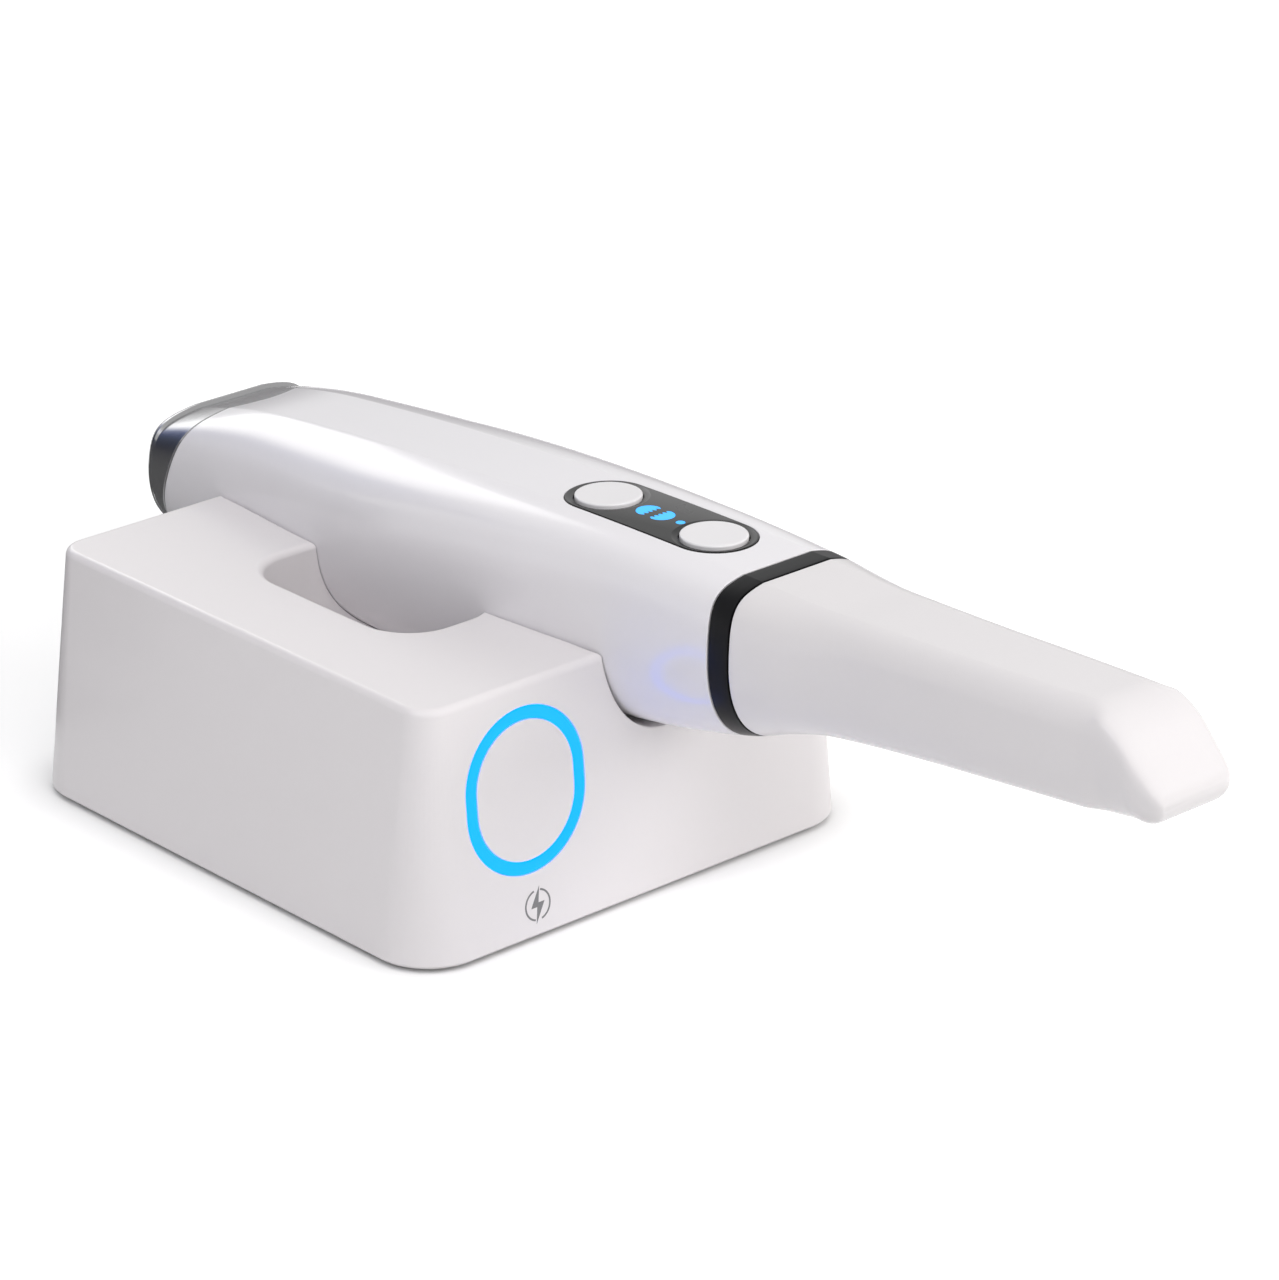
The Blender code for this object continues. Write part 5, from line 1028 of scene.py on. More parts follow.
@functools.lru_cache(maxsize=None)
def look(name):
    """Finish by its slot name, made when it is first asked for."""
    dock = bpy.context.scene.scanner_dock
    hand = bpy.context.scene.scanner_handpiece
    white = {"Specular IOR Level": 0.5, "Coat Weight": 0.15, "Coat Roughness": 0.10}
    makers = {
        "dock_white": lambda: moulded(name, dock.shell_colour, (0.30, 0.34), **white),
        "body_white": lambda: moulded(name, hand.shell_colour, (0.17, 0.19), **white),
        "tip_white": lambda: moulded(name, hand.tip_colour, (0.22, 0.26), grain=1800.0, **white),
        "gunmetal_cap": lambda: drawn_metal(
            name, hand.cap_colour, (0.24, 0.27), 700.0, 0.0000003, 0.92, Metallic=0.9,
            **{"Coat Weight": 0.3, "Coat Roughness": 0.12},
        ),
        "black_collar": lambda: moulded(
            name, hand.collar_colour, (0.28, 0.34), 0.2, 30.0, **{"Specular IOR Level": 0.12}
        ),
        "panel_black": lambda: panel_finish(name, hand.panel_colour, hand.panel_painted_reflection),
        "button_white": lambda: moulded(name, hand.button_colour, (0.36, 0.46), grain=2600.0),
        "ring_light": lambda: glowing(name, dock.ring_colour, dock.ring_strength, (0.0, 0.02, 0.10)),
        "jaw_light": lambda: glowing(name, hand.light_colour, hand.light_strength, (0.02, 0.15, 0.30)),
        "symbol_grey": lambda: moulded(name, dock.symbol_colour, (0.30, 0.40), 0.05, 60.0),
        "rubber": lambda: moulded(name, slot_colour("rubber"), (0.7, 0.9), 0.2, 40.0, 900.0, 0.00001),
        "inner_plastic": lambda: moulded(name, slot_colour("inner_plastic"), (0.4, 0.6), 0.15),
        "circuit_board": lambda: board_finish(name, slot_colour("circuit_board")),
        "steel": lambda: drawn_metal(name, slot_colour("steel"), (0.22, 0.4), Metallic=1.0),
        "copper": lambda: drawn_metal(name, slot_colour("copper"), (0.2, 0.35), Metallic=1.0),
        "ferrite": lambda: moulded(name, slot_colour("ferrite"), (0.5, 0.75), 0.3, 120.0, 900.0, 0.00001),
        "aluminium": lambda: drawn_metal(name, slot_colour("aluminium"), (0.25, 0.45), Metallic=1.0),
        "glass": lambda: clear_glass(name, slot_colour("glass")),
        "mirror": lambda: moulded(
            name, slot_colour("mirror"), (0.01, 0.03), 0.01, 30.0, 400.0, 0.0000001, Metallic=1.0
        ),
        "cell_sleeve": lambda: moulded(name, slot_colour("cell_sleeve"), (0.25, 0.4), 0.1, 60.0),
    }
    return makers[name]()


# Dock

def dock_ring(height, inset=0.0, steps=CORNER_STEPS):
    """Outline of the dock's leaning walls at a height, moved inwards by a distance."""
    share = height / DOCK_HEIGHT
    lean = DOCK_LEAN * share
    radius = max(mixed(DOCK_CORNER_FOOT, DOCK_CORNER_TOP, share) - inset, DOCK_LEAST_CORNER)
    outline = rounded_rectangle(
        DOCK_WIDTH / 2 - lean - inset, DOCK_LENGTH / 2 - lean - inset, radius, steps
    )
    return np.column_stack([outline, np.full(len(outline), height)])


def edge_rings(outline_at, top, radius):
    """Rings round a top edge of the given radius, from the wall to the flat."""
    return [outline_at(top - down, across) for across, down in rounding(radius)]


def boss_places():
    x = DOCK_WIDTH / 2 - BOSS_INSET
    y = DOCK_LENGTH / 2 - BOSS_INSET
    return [(x, y), (-x, y), (-x, -y), (x, -y)]


def front_frame(height):
    """Place and tilt of a drawing on the leaning front wall, centred on the light ring's
    line. Its Z points out of the wall and its Y up the slope."""
    lean = math.atan2(DOCK_LEAN, DOCK_HEIGHT)
    return (RING_X, -DOCK_LENGTH / 2 + DOCK_LEAN * height / DOCK_HEIGHT, height), math.pi / 2 - lean


def ring_outline(offset):
    half = RING_WIDTH / 2 + offset
    return rounded_rectangle(half, RING_LENGTH / 2 + offset, half, steps=RING_STEPS)


def peg_places():
    half = (RING_WIDTH - RING_BAND) / 2
    rise = (RING_LENGTH - RING_BAND) / 2
    return [(half, 0.0), (0.0, rise), (-half, 0.0), (0.0, -rise)]


def inlet_place():
    """Middle of the socket's mouth, on the rear wall."""
    height = DOCK_BOARD_RISE + BASE_THICKNESS + BOARD_THICKNESS + GAP + INLET_HEIGHT / 2
    rear = DOCK_LENGTH / 2 - DOCK_LEAN * height / DOCK_HEIGHT
    return (DOCK_BOARD_CENTRE[0], rear - GAP, height)


def coil_middle():
    """Middle of the charging coil's top, under the trough."""
    y = RECEIVER_Y
    floor = keel_height(y) - TROUGH_CLEARANCE - TROUGH_WALL
    return (HANDPIECE_X, y, floor - GAP - COIL_DROP)


def framed(base, location, tilt=0.0):
    """Frame of a drawing placed on the dock or the handpiece and tilted about X."""
    return base @ Matrix.Translation(location) @ Matrix.Rotation(tilt, 4, "X")


def trough_profile(y, clearance):
    """The handpiece's belly at y, moved outwards, with a rounded lip that opens upwards."""
    flare = TROUGH_TOP_EDGE
    lift = keel_height(max(y, TROUGH_FLAT_FROM)) - keel_height(y)
    outline = section_outline(y, -clearance)[: RING_POINTS // 2 + 1]
    right = outline[outline[:, 1] < middle_height(y)] + (0.0, min(lift, 0.0))
    edge_x = float(np.interp(-(DOCK_HEIGHT - flare), -right[:, 1], right[:, 0]))
    below = right[right[:, 1] < DOCK_HEIGHT - flare]
    below = evenly_spaced(np.vstack([[(edge_x, DOCK_HEIGHT - flare)], below]), TROUGH_STEPS)
    lip = [(edge_x + flare, DOCK_HEIGHT + OVERCUT)]
    lip += [(edge_x + across, DOCK_HEIGHT - down) for across, down in rounding(flare)[:0:-1]]
    side = np.vstack([lip, below[:-1]])
    return np.vstack([side, side[::-1] * (-1, 1)])


def trough_cutter(name, clearance, rows, mouth=0.0):
    """Solid that leaves the trough. mouth rounds its edge in the front and the rear wall."""
    rings = []

    def add(flat, ys):
        across = flat[:, 0] + HANDPIECE_X
        rings.append(np.column_stack([across, np.broadcast_to(ys, len(flat)), flat[:, 1]]))

    def add_mouth(side):
        shares = np.linspace(0, 1, EDGE_STEPS + 1)
        steps = [(mouth * (1 - share), mouth * (1 - math.sqrt(1 - share * share))) for share in shares]
        steps.append((-OVERCUT, mouth))
        for depth, wider in steps if side < 0 else steps[::-1]:
            flat = trough_profile(side * MOUTH_SECTION_Y, clearance + wider)
            wall = DOCK_LENGTH / 2 - DOCK_LEAN * np.minimum(flat[:, 1], DOCK_HEIGHT) / DOCK_HEIGHT
            add(flat, side * (wall - depth))

    if mouth:
        add_mouth(1)
        for y in np.linspace(TROUGH_END_Y, -TROUGH_END_Y, rows):
            add(trough_profile(y, clearance), y)
        add_mouth(-1)
    else:
        reach = DOCK_LENGTH / 2 + OVERCUT
        for y in [*np.linspace(reach, TROUGH_FLAT_FROM, rows), -reach]:
            add(trough_profile(y, clearance), y)
    return ring_solid(name, rings, DOCK)


def recess_cutter(name, offset):
    """Finger recess beside the trough, with a soft rim and a rounded floor."""
    middle = ((RECESS_LEFT + RECESS_RIGHT) / 2, (RECESS_FRONT + RECESS_REAR) / 2)
    half_x = (RECESS_RIGHT - RECESS_LEFT) / 2 + offset
    half_y = (RECESS_REAR - RECESS_FRONT) / 2 + offset
    floor = RECESS_FLOOR - offset

    def ring(height, inset):
        outline = rounded_rectangle(half_x - inset, half_y - inset, RECESS_CORNER + offset - inset)
        return np.column_stack([outline + middle, np.full(len(outline), height)])

    rings = [ring(DOCK_HEIGHT + OVERCUT, -RECESS_TOP_EDGE)]
    for across, down in rounding(RECESS_TOP_EDGE, RECESS_TOP_STEPS):
        rings.append(ring(DOCK_HEIGHT - across, -down))
    for across, down in rounding(RECESS_FLOOR_EDGE, RECESS_FLOOR_STEPS):
        rings.append(ring(floor + down, across))
    return ring_solid(name, rings, DOCK)


def ring_place():
    return framed(DOCK, *front_frame(RING_HEIGHT_ABOVE_RIM))


def pegs(name, radius, low, high):
    return [
        extruded(f"{name}_{number}", circle(radius, TINY_ROUND) + place, low, high, ring_place())
        for number, place in enumerate(peg_places(), start=1)
    ]


def make_dock_shell():
    outer = [dock_ring(0.0, DOCK_FOOT_EDGE), dock_ring(DOCK_FOOT_EDGE)]
    outer += edge_rings(dock_ring, DOCK_HEIGHT, DOCK_TOP_EDGE)
    shell = ring_solid("dock_shell_finished", outer, DOCK)
    cavity_rings = [dock_ring(-OVERCUT, DOCK_WALL, 4), dock_ring(DOCK_HEIGHT - DOCK_WALL, DOCK_WALL, 4)]
    cavity = ring_solid("dock_cavity", cavity_rings, DOCK)
    kept = [
        trough_cutter("trough_wall", TROUGH_CLEARANCE + TROUGH_WALL, 8),
        recess_cutter("recess_wall", TROUGH_WALL),
    ]
    for number, place in enumerate(boss_places(), start=1):
        outline = circle(BOSS_RADIUS, TINY_ROUND) + place
        kept.append(extruded(f"boss_{number}", outline, BASE_THICKNESS + GAP, DOCK_HEIGHT, DOCK))
    cut(cavity, *kept)
    groove = []
    for offset, height in (
        (RING_SLIT, -RING_DEPTH - GAP),
        (RING_SLIT, OVERCUT),
        (-RING_BAND - RING_SLIT, OVERCUT),
        (-RING_BAND - RING_SLIT, -RING_DEPTH - GAP),
    ):
        groove.append((ring_outline(offset), height))
    cutters = [
        cavity,
        trough_cutter("trough", TROUGH_SNUG, TROUGH_ROWS, MOUTH_EDGE),
        recess_cutter("finger_recess", 0.0),
        ring_solid("ring_groove", flat_rings(groove), ring_place(), loop=True),
    ]
    cutters += pegs("peg_hole", RING_PEG_RADIUS + GAP, -DOCK_WALL - OVERCUT, -RING_DEPTH)
    inlet_hole = rounded_rectangle(
        INLET_WIDTH / 2 + GAP, INLET_HEIGHT / 2 + GAP, INLET_HEIGHT / 2 + GAP
    )
    inlet_frame = framed(DOCK, inlet_place(), math.pi / 2)
    cutters.append(extruded("inlet_hole", inlet_hole, -OVERCUT, DOCK_WALL + OVERCUT, inlet_frame))
    for number, place in enumerate(boss_places(), start=1):
        outline = circle(SCREW_RADIUS + GAP, TINY_ROUND) + place
        cutters.append(extruded(f"pilot_{number}", outline, -OVERCUT, SCREW_LENGTH + OVERCUT, DOCK))
    cut(shell, *cutters)
    return finished(shell, look("dock_white"), "white_shell", ROOT_BODY, "dock_shell")


# Geometry Nodes trees

def nodes_tree(name, inputs):
    """Geometry Nodes tree with named inputs, and its first and last node."""
    tree = bpy.data.node_groups.new(name, "GeometryNodeTree")
    tree.interface.new_socket("Geometry", in_out="INPUT", socket_type="NodeSocketGeometry")
    for label, kind in inputs:
        tree.interface.new_socket(label, in_out="INPUT", socket_type=kind)
    tree.interface.new_socket("Geometry", in_out="OUTPUT", socket_type="NodeSocketGeometry")
    return tree, tree.nodes.new("NodeGroupInput"), tree.nodes.new("NodeGroupOutput")


def end_tree(tree, given, result, geometry):
    """Smooth shading, Realize Instances and Set Material, which end every tree."""
    smooth = tree.nodes.new("GeometryNodeSetShadeSmooth")
    real = tree.nodes.new("GeometryNodeRealizeInstances")
    paint = tree.nodes.new("GeometryNodeSetMaterial")
    tree.links.new(geometry, smooth.inputs["Geometry"])
    tree.links.new(smooth.outputs["Geometry"], real.inputs["Geometry"])
    tree.links.new(real.outputs["Geometry"], paint.inputs["Geometry"])
    tree.links.new(given.outputs["Material"], paint.inputs["Material"])
    tree.links.new(paint.outputs["Geometry"], result.inputs["Geometry"])


def swept(tree, given, profile, caps):
    """The path drawn out with a profile. Its flat side stays level with the path."""
    path = tree.nodes.new("GeometryNodeMeshToCurve")
    level = tree.nodes.new("GeometryNodeSetCurveNormal")
    level.mode = "Z_UP"
    sweep = tree.nodes.new("GeometryNodeCurveToMesh")
    sweep.inputs["Fill Caps"].default_value = caps
    tree.links.new(given.outputs["Geometry"], path.inputs["Mesh"])
    tree.links.new(path.outputs["Curve"], level.inputs["Curve"])
    tree.links.new(level.outputs["Curve"], sweep.inputs["Curve"])
    tree.links.new(profile, sweep.inputs["Profile Curve"])
    return sweep.outputs["Mesh"]


@functools.lru_cache(maxsize=None)
def band_tree():
    """Band of rounded rectangular section along a closed path."""
    tree, given, result = nodes_tree(
        "light_band",
        (
            ("Width", "NodeSocketFloat"),
            ("Thickness", "NodeSocketFloat"),
            ("Corner", "NodeSocketFloat"),
            ("Material", "NodeSocketMaterial"),
        ),
    )
    section = tree.nodes.new("GeometryNodeCurvePrimitiveQuadrilateral")
    tree.links.new(given.outputs["Width"], section.inputs["Width"])
    tree.links.new(given.outputs["Thickness"], section.inputs["Height"])
    fillet = tree.nodes.new("GeometryNodeFilletCurve")
    fillet.mode = "POLY"
    fillet.inputs["Count"].default_value = 5
    tree.links.new(section.outputs["Curve"], fillet.inputs["Curve"])
    tree.links.new(given.outputs["Corner"], fillet.inputs["Radius"])
    end_tree(tree, given, result, swept(tree, given, fillet.outputs["Curve"], False))
    return tree


@functools.lru_cache(maxsize=None)
def wire_tree():
    """Round enamelled wire along an open path."""
    tree, given, result = nodes_tree(
        "wound_wire", (("Wire Radius", "NodeSocketFloat"), ("Material", "NodeSocketMaterial"))
    )
    section = tree.nodes.new("GeometryNodeCurvePrimitiveCircle")
    section.inputs["Resolution"].default_value = 8
    tree.links.new(given.outputs["Wire Radius"], section.inputs["Radius"])
    end_tree(tree, given, result, swept(tree, given, section.outputs["Curve"], True))
    return tree


@functools.lru_cache(maxsize=None)
def screw_tree():
    """One screw at each of the given points."""
    tree, given, result = nodes_tree(
        "screw_set", (("Screw", "NodeSocketObject"), ("Material", "NodeSocketMaterial"))
    )
    points = tree.nodes.new("GeometryNodeMeshToPoints")
    info = tree.nodes.new("GeometryNodeObjectInfo")
    copies = tree.nodes.new("GeometryNodeInstanceOnPoints")
    tree.links.new(given.outputs["Geometry"], points.inputs["Mesh"])
    tree.links.new(given.outputs["Screw"], info.inputs["Object"])
    tree.links.new(points.outputs["Points"], copies.inputs["Points"])
    tree.links.new(info.outputs["Geometry"], copies.inputs["Instance"])
    end_tree(tree, given, result, copies.outputs["Instances"])
    return tree


def grown(name, points, closed, tree, values, place):
    """Object made by a tree from a line of points, turned into a plain mesh in its place."""
    mesh = bpy.data.meshes.new(name)
    count = len(points)
    edges = [(i, i + 1) for i in range(count - 1)] + ([(count - 1, 0)] if closed else [])
    mesh.from_pydata([tuple(point) for point in points], edges if closed is not None else [], [])
    made = linked(name, mesh)
    modifier = made.modifiers.new("made", "NODES")
    modifier.node_group = tree
    for item in tree.interface.items_tree:
        if item.in_out == "INPUT" and item.name in values:
            modifier[item.identifier] = values[item.name]
    applied(made)
    made.data.transform(place)
    bm = bmesh.new()
    bm.from_mesh(made.data)
    bmesh.ops.remove_doubles(bm, verts=bm.verts, dist=FLATNESS)
    bmesh.ops.recalc_face_normals(bm, faces=bm.faces)
    bm.to_mesh(made.data)
    bm.free()
    return made


def make_light_ring():
    """Light guide band, with a peg at each quarter that reaches the lamps."""
    thickness = RING_DEPTH + RING_PROUD
    middle = RING_PROUD - thickness / 2
    outline = ring_outline(-RING_BAND / 2)
    path = np.column_stack([outline, np.full(len(outline), middle)])
    values = {
        "Width": RING_BAND, "Thickness": thickness, "Corner": RING_CORNER,
        "Material": look("ring_light"),
    }
    ring = grown("light_ring_finished", path, True, band_tree(), values, ring_place())
    fuse(ring, *pegs("peg", RING_PEG_RADIUS, -DOCK_WALL - PEG_OVERHANG, SINK - RING_DEPTH))
    return finished(ring, look("ring_light"), "blue_light", ROOT_BODY, "light_ring")


def symbol_arc(side):
    """Half of the broken circle, as a band."""
    start = SYMBOL_BREAK
    angles = np.linspace(start, math.pi - start, SYMBOL_ARC_STEPS + 1)
    outer = SYMBOL_RADIUS + SYMBOL_STROKE / 2
    inner = SYMBOL_RADIUS - SYMBOL_STROKE / 2
    points = [(side * outer * math.sin(a), outer * math.cos(a)) for a in angles]
    points += [(side * inner * math.sin(a), inner * math.cos(a)) for a in angles[::-1]]
    return points


def make_charging_symbol():
    """Printed charging symbol, as thin as paint, on the leaning front wall."""
    place, tilt = front_frame(SYMBOL_HEIGHT)
    frame_matrix = framed(DOCK, (SYMBOL_X, place[1], place[2]), tilt)
    bolt = [(x * SYMBOL_RADIUS, y * SYMBOL_RADIUS) for x, y in BOLT]
    marks = []
    for name, outline in (("bolt", bolt), ("left_arc", symbol_arc(-1)), ("right_arc", symbol_arc(1))):
        mark = extruded(f"charging_symbol_{name}", outline, -SYMBOL_DEPTH, SYMBOL_PROUD, frame_matrix)
        marks.append(finished(mark, look("symbol_grey"), "panel_black", ROOT_BODY))
    return marks


def make_power_inlet():
    """Metal socket with a rolled rim and a tongue."""
    outer = rounded_rectangle(INLET_WIDTH / 2, INLET_HEIGHT / 2, INLET_HEIGHT / 2)
    inner = inset_outline(outer, INLET_WALL)
    rim = inset_outline(outer, INLET_WALL / 2)
    edge = INLET_WALL / 3
    levels = (
        (inner, INLET_FLOOR), (inner, edge), (rim, 0.0), (outer, edge), (outer, INLET_DEPTH),
    )
    place = framed(DOCK, inlet_place(), math.pi / 2)
    inlet = ring_solid("power_inlet_finished", flat_rings(levels), place)
    finished(inlet, look("steel"), "steel", ROOT_BODY, "power_inlet")
    half = TONGUE_HALF_WIDTH
    tongue = block(
        "power_inlet_tongue",
        (-half, -INLET_TONGUE / 2, TONGUE_SETBACK),
        (half, INLET_TONGUE / 2, INLET_FLOOR + SINK),
        place,
    )
    return finished(tongue, look("inner_plastic"), "inner_plastic", ROOT_BODY)


def make_base_screws():
    """Pan-head screws up through the base plate, one at each boss."""
    seat = MAT_THICKNESS - MAT_PROUD + GAP
    head = seat - GAP - SCREW_HEAD_HEIGHT
    socket = SCREW_HEAD_RADIUS / 2
    profile = [
        (0.0, head + SCREW_SOCKET_DEPTH),
        (socket, head + SCREW_SOCKET_DEPTH),
        (socket, head),
        (SCREW_HEAD_RADIUS - SCREW_HEAD_EDGE, head),
        (SCREW_HEAD_RADIUS, head + SCREW_HEAD_EDGE),
        (SCREW_HEAD_RADIUS, seat - GAP),
        (SCREW_RADIUS, seat - GAP),
        (SCREW_RADIUS, SCREW_LENGTH * SCREW_TAPER_FROM),
        (SCREW_RADIUS / 2, SCREW_LENGTH),
        (0.0, SCREW_LENGTH),
    ]
    screw = lathe("screw_pattern", profile, Matrix.Identity(4), SCREW_ROUND, hexed=(1, 2))
    points = [(x, y, 0.0) for x, y in boss_places()]
    values = {"Screw": screw, "Material": look("steel")}
    screws = grown("base_screws_finished", points, None, screw_tree(), values, DOCK)
    bpy.data.objects.remove(screw, do_unlink=True)
    nodes = [f"base_screw_{number}" for number in range(1, len(points) + 1)]
    return finished(screws, look("steel"), "steel", ROOT_BODY, *nodes)


def winding_path(width, length, hole, wire, layers, top):
    """Flat winding with round ends, from its rim inwards, then out again one layer lower."""
    turns = max(int((width - hole) / 2 / wire) - 1, 1)
    points = []
    for layer in range(layers):
        height = top - wire * (layer + 0.5)
        line = []
        total = turns * COIL_TURN_POINTS
        for step in range(total + 1):
            offset = wire * (0.5 + step / COIL_TURN_POINTS)
            half = width / 2 - offset
            outline = rounded_rectangle(half, length / 2 - offset, half, COIL_END_STEPS)
            line.append((*along_outline(outline, step / COIL_TURN_POINTS % 1.0), height))
        points += line if layer % 2 == 0 else line[::-1]
    return points


def along_outline(outline, share):
    """Point on a closed outline at a share of its length."""
    closed = np.vstack([outline, outline[:1]])
    lengths = np.concatenate([[0.0], np.cumsum(np.linalg.norm(np.diff(closed, axis=0), axis=1))])
    at = share * lengths[-1]
    return tuple(float(np.interp(at, lengths, closed[:, column])) for column in (0, 1))


def receiver_foot():
    ends = (RECEIVER_Y - RECEIVER_LENGTH / 2, RECEIVER_Y, RECEIVER_Y + RECEIVER_LENGTH / 2)
    return max(inner_floor(y, RECEIVER_WIDTH / 2) for y in ends) + GAP


def make_coils():
    """Wound wire of the charging coil in the dock and of the receiving coil above it."""
    wire = bpy.context.scene.scanner_inside.wire_diameter
    coils = (
        ("charging_coil", COIL_WIDTH, COIL_LENGTH, COIL_HOLE, 2, framed(DOCK, coil_middle())),
        (
            "receiving_coil", RECEIVER_WIDTH, RECEIVER_LENGTH, RECEIVER_HOLE, 1,
            framed(HANDPIECE, (0.0, RECEIVER_Y, receiver_foot() + RECEIVER_THICKNESS)),
        ),
    )
    for node, width, length, hole, layers, place in coils:
        path = winding_path(width, length, hole, wire, layers, 0.0)
        values = {"Wire Radius": wire / 2 * WIRE_FIT, "Material": look("copper")}
        coil = grown(f"{node}_finished", path, False, wire_tree(), values, place)
        finished(coil, look("copper"), "copper", ROOT_BODY, node)


# Handpiece

def facet_frame(y):
    """Place and tilt of a drawing on the top facet, with its Z along the facet's normal."""
    slope = (top_height(y + SLOPE_STEP) - top_height(y - SLOPE_STEP)) / (2 * SLOPE_STEP)
    return (0.0, y, top_height(y)), math.atan(slope)


def facet_band(name, radius, profile):
    """Long shape with round ends that follows the top facet. Its profile is a list of
    (offset outwards, height over the facet) from its foot to its top."""
    middle = (PANEL_REAR_CENTRE + PANEL_FRONT_CENTRE) / 2
    half_length = (PANEL_REAR_CENTRE - PANEL_FRONT_CENTRE) / 2
    turns = np.linspace(math.pi / 2 * (1 - 0.3 / PANEL_END_STEPS), 0, PANEL_END_STEPS + 1)
    rows = [(half_length, turn) for turn in turns]
    rows += [(half_length * share, 0.0) for share in np.linspace(1, 0, PANEL_STRAIGHT_STEPS + 1)[1:]]
    rows += [(-reach, -turn) for reach, turn in rows[-2::-1]]
    rings = []
    for reach, turn in rows:
        side = []
        for offset, height in profile:
            y = middle + reach + (radius + offset) * math.sin(turn)
            side.append(((radius + offset) * math.cos(turn), y, top_height(y) + height))
        rings.append(side + [(-x, y, z) for x, y, z in side[::-1]])
    return ring_solid(name, rings, HANDPIECE)


def make_body_shell():
    seam = seam_ys()
    front = COLLAR_REAR + GAP
    edge = COLLAR_EDGE
    rings = [section_ring(seam, SHELL_WALL), section_ring(seam, edge / 2), section_ring(seam - edge / 2)]
    shares = np.linspace(0, 1, BODY_ROWS)[1:-1]
    rings += [section_ring(mixed(seam, front, share)) for share in shares]
    rings += [section_ring(front + edge / 2), section_ring(front, edge / 2)]
    rings.append(section_ring(front, SHELL_WALL))
    inner_shares = np.linspace(0, 1, BODY_INNER_ROWS)[::-1][1:-1]
    rings += [section_ring(mixed(seam, front, share), SHELL_WALL) for share in inner_shares]
    shell = ring_solid("body_shell_finished", rings, HANDPIECE, loop=True)
    pocket = [
        (PANEL_FIT, -PANEL_THICKNESS - GAP),
        (PANEL_FIT, -POCKET_EDGE),
        (PANEL_FIT + POCKET_EDGE, HAIR / 4),
        (PANEL_FIT + POCKET_EDGE, OVERCUT),
    ]
    cutters = [facet_band("panel_pocket", PANEL_HALF_WIDTH, pocket)]
    for name, y in BUTTON_PLACES:
        outline = circle(BUTTON_RADIUS + GAP, FINE_ROUND)
        place = framed(HANDPIECE, *facet_frame(y))
        cutters.append(extruded(f"{name}_shaft", outline, -SHELL_WALL - OVERCUT, OVERCUT, place))
    low, high = guide_span()
    half = JAW_WIDTH / 2 + GAP
    under = TOP_PEAK_HEIGHT - SHELL_WALL - OVERCUT
    over = TOP_PEAK_HEIGHT + OVERCUT
    cutters.append(block("guide_slot", (-half, low, under), (half, high, over), HANDPIECE))
    cut(shell, *cutters)
    return finished(shell, look("body_white"), "white_shell", ROOT_BODY, "body_shell")


def rim_ring(inset, back, shrink=1.0):
    """Ring on the rounded rear end of the tail cap."""
    ring = section_ring(RIM_SECTION_Y, inset)
    middle = tail_middle()
    ring[:, 0] *= shrink
    ring[:, 2] = middle + (ring[:, 2] - middle) * shrink
    ring[:, 1] = rim_y(ring[:, 2]) - back
    return ring


def make_tail_cap():
    seam = seam_ys() + GAP
    lip = seam - GAP - CAP_LIP_LENGTH
    lip_outside = SHELL_WALL + GAP
    lip_inside = lip_outside + CAP_LIP
    shrinks = (RIM_SHRINK / 2, RIM_SHRINK, *RIM_OUTER_SHRINKS)
    rings = [rim_ring(TAIL_EDGE, 0.0, shrink) for shrink in shrinks]
    rings += [rim_ring(across, down) for across, down in rounding(TAIL_EDGE)[::-1]]
    start = rings[-1][:, 1]
    for row in range(1, CAP_ROWS):
        rings.append(section_ring(mixed(start, seam, row / CAP_ROWS)))
    rings.append(section_ring(seam + CAP_SEAM_EDGE))
    rings.append(section_ring(seam, CAP_SEAM_EDGE))
    rings.append(section_ring(seam, lip_outside))
    rings.append(section_ring(lip, lip_outside))
    rings.append(section_ring(lip, lip_inside))
    floor_inset = lip_inside + CAP_FLOOR_INSET
    inner_start = rim_ring(floor_inset, TAIL_EDGE + SHELL_WALL)
    rings.append(section_ring(mixed(seam, inner_start[:, 1], 0.8), lip_inside))
    rings.append(rim_ring(floor_inset, SHELL_WALL + CAP_FLOOR_SINK))
    rings.append(rim_ring(floor_inset, SHELL_WALL, RIM_SHRINK))
    middle = tail_middle()
    outer_centre = (0.0, float(rim_y(middle)) + CAP_DOME, middle)
    inner_centre = (0.0, float(rim_y(middle)) - SHELL_WALL, middle)
    cap = ring_solid("tail_cap_finished", rings, HANDPIECE, first=outer_centre, last=inner_centre)
    return finished(cap, look("gunmetal_cap"), "gunmetal_cap", ROOT_BODY, "tail_cap")


def make_collar():
    rings = []
    edge = COLLAR_EDGE
    for y, inset in (
        (COLLAR_REAR - edge, 0.0),
        (mixed(COLLAR_REAR, COLLAR_FRONT, 0.35), 0.0),
        (mixed(COLLAR_REAR, COLLAR_FRONT, 0.65), 0.0),
        (COLLAR_FRONT + edge, 0.0),
        (COLLAR_FRONT + edge * EDGE_SHARE, edge * EDGE_SHARE),
        (COLLAR_FRONT, edge),
        (COLLAR_FRONT, COLLAR_WALL),
        (COLLAR_REAR, COLLAR_WALL),
        (COLLAR_REAR, edge),
        (COLLAR_REAR - edge * EDGE_SHARE, edge * EDGE_SHARE),
    ):
        rings.append(section_ring(y, inset))
    collar = ring_solid("front_collar_finished", rings, HANDPIECE, loop=True)
    return finished(collar, look("black_collar"), "black_collar", ROOT_BODY, "front_collar")


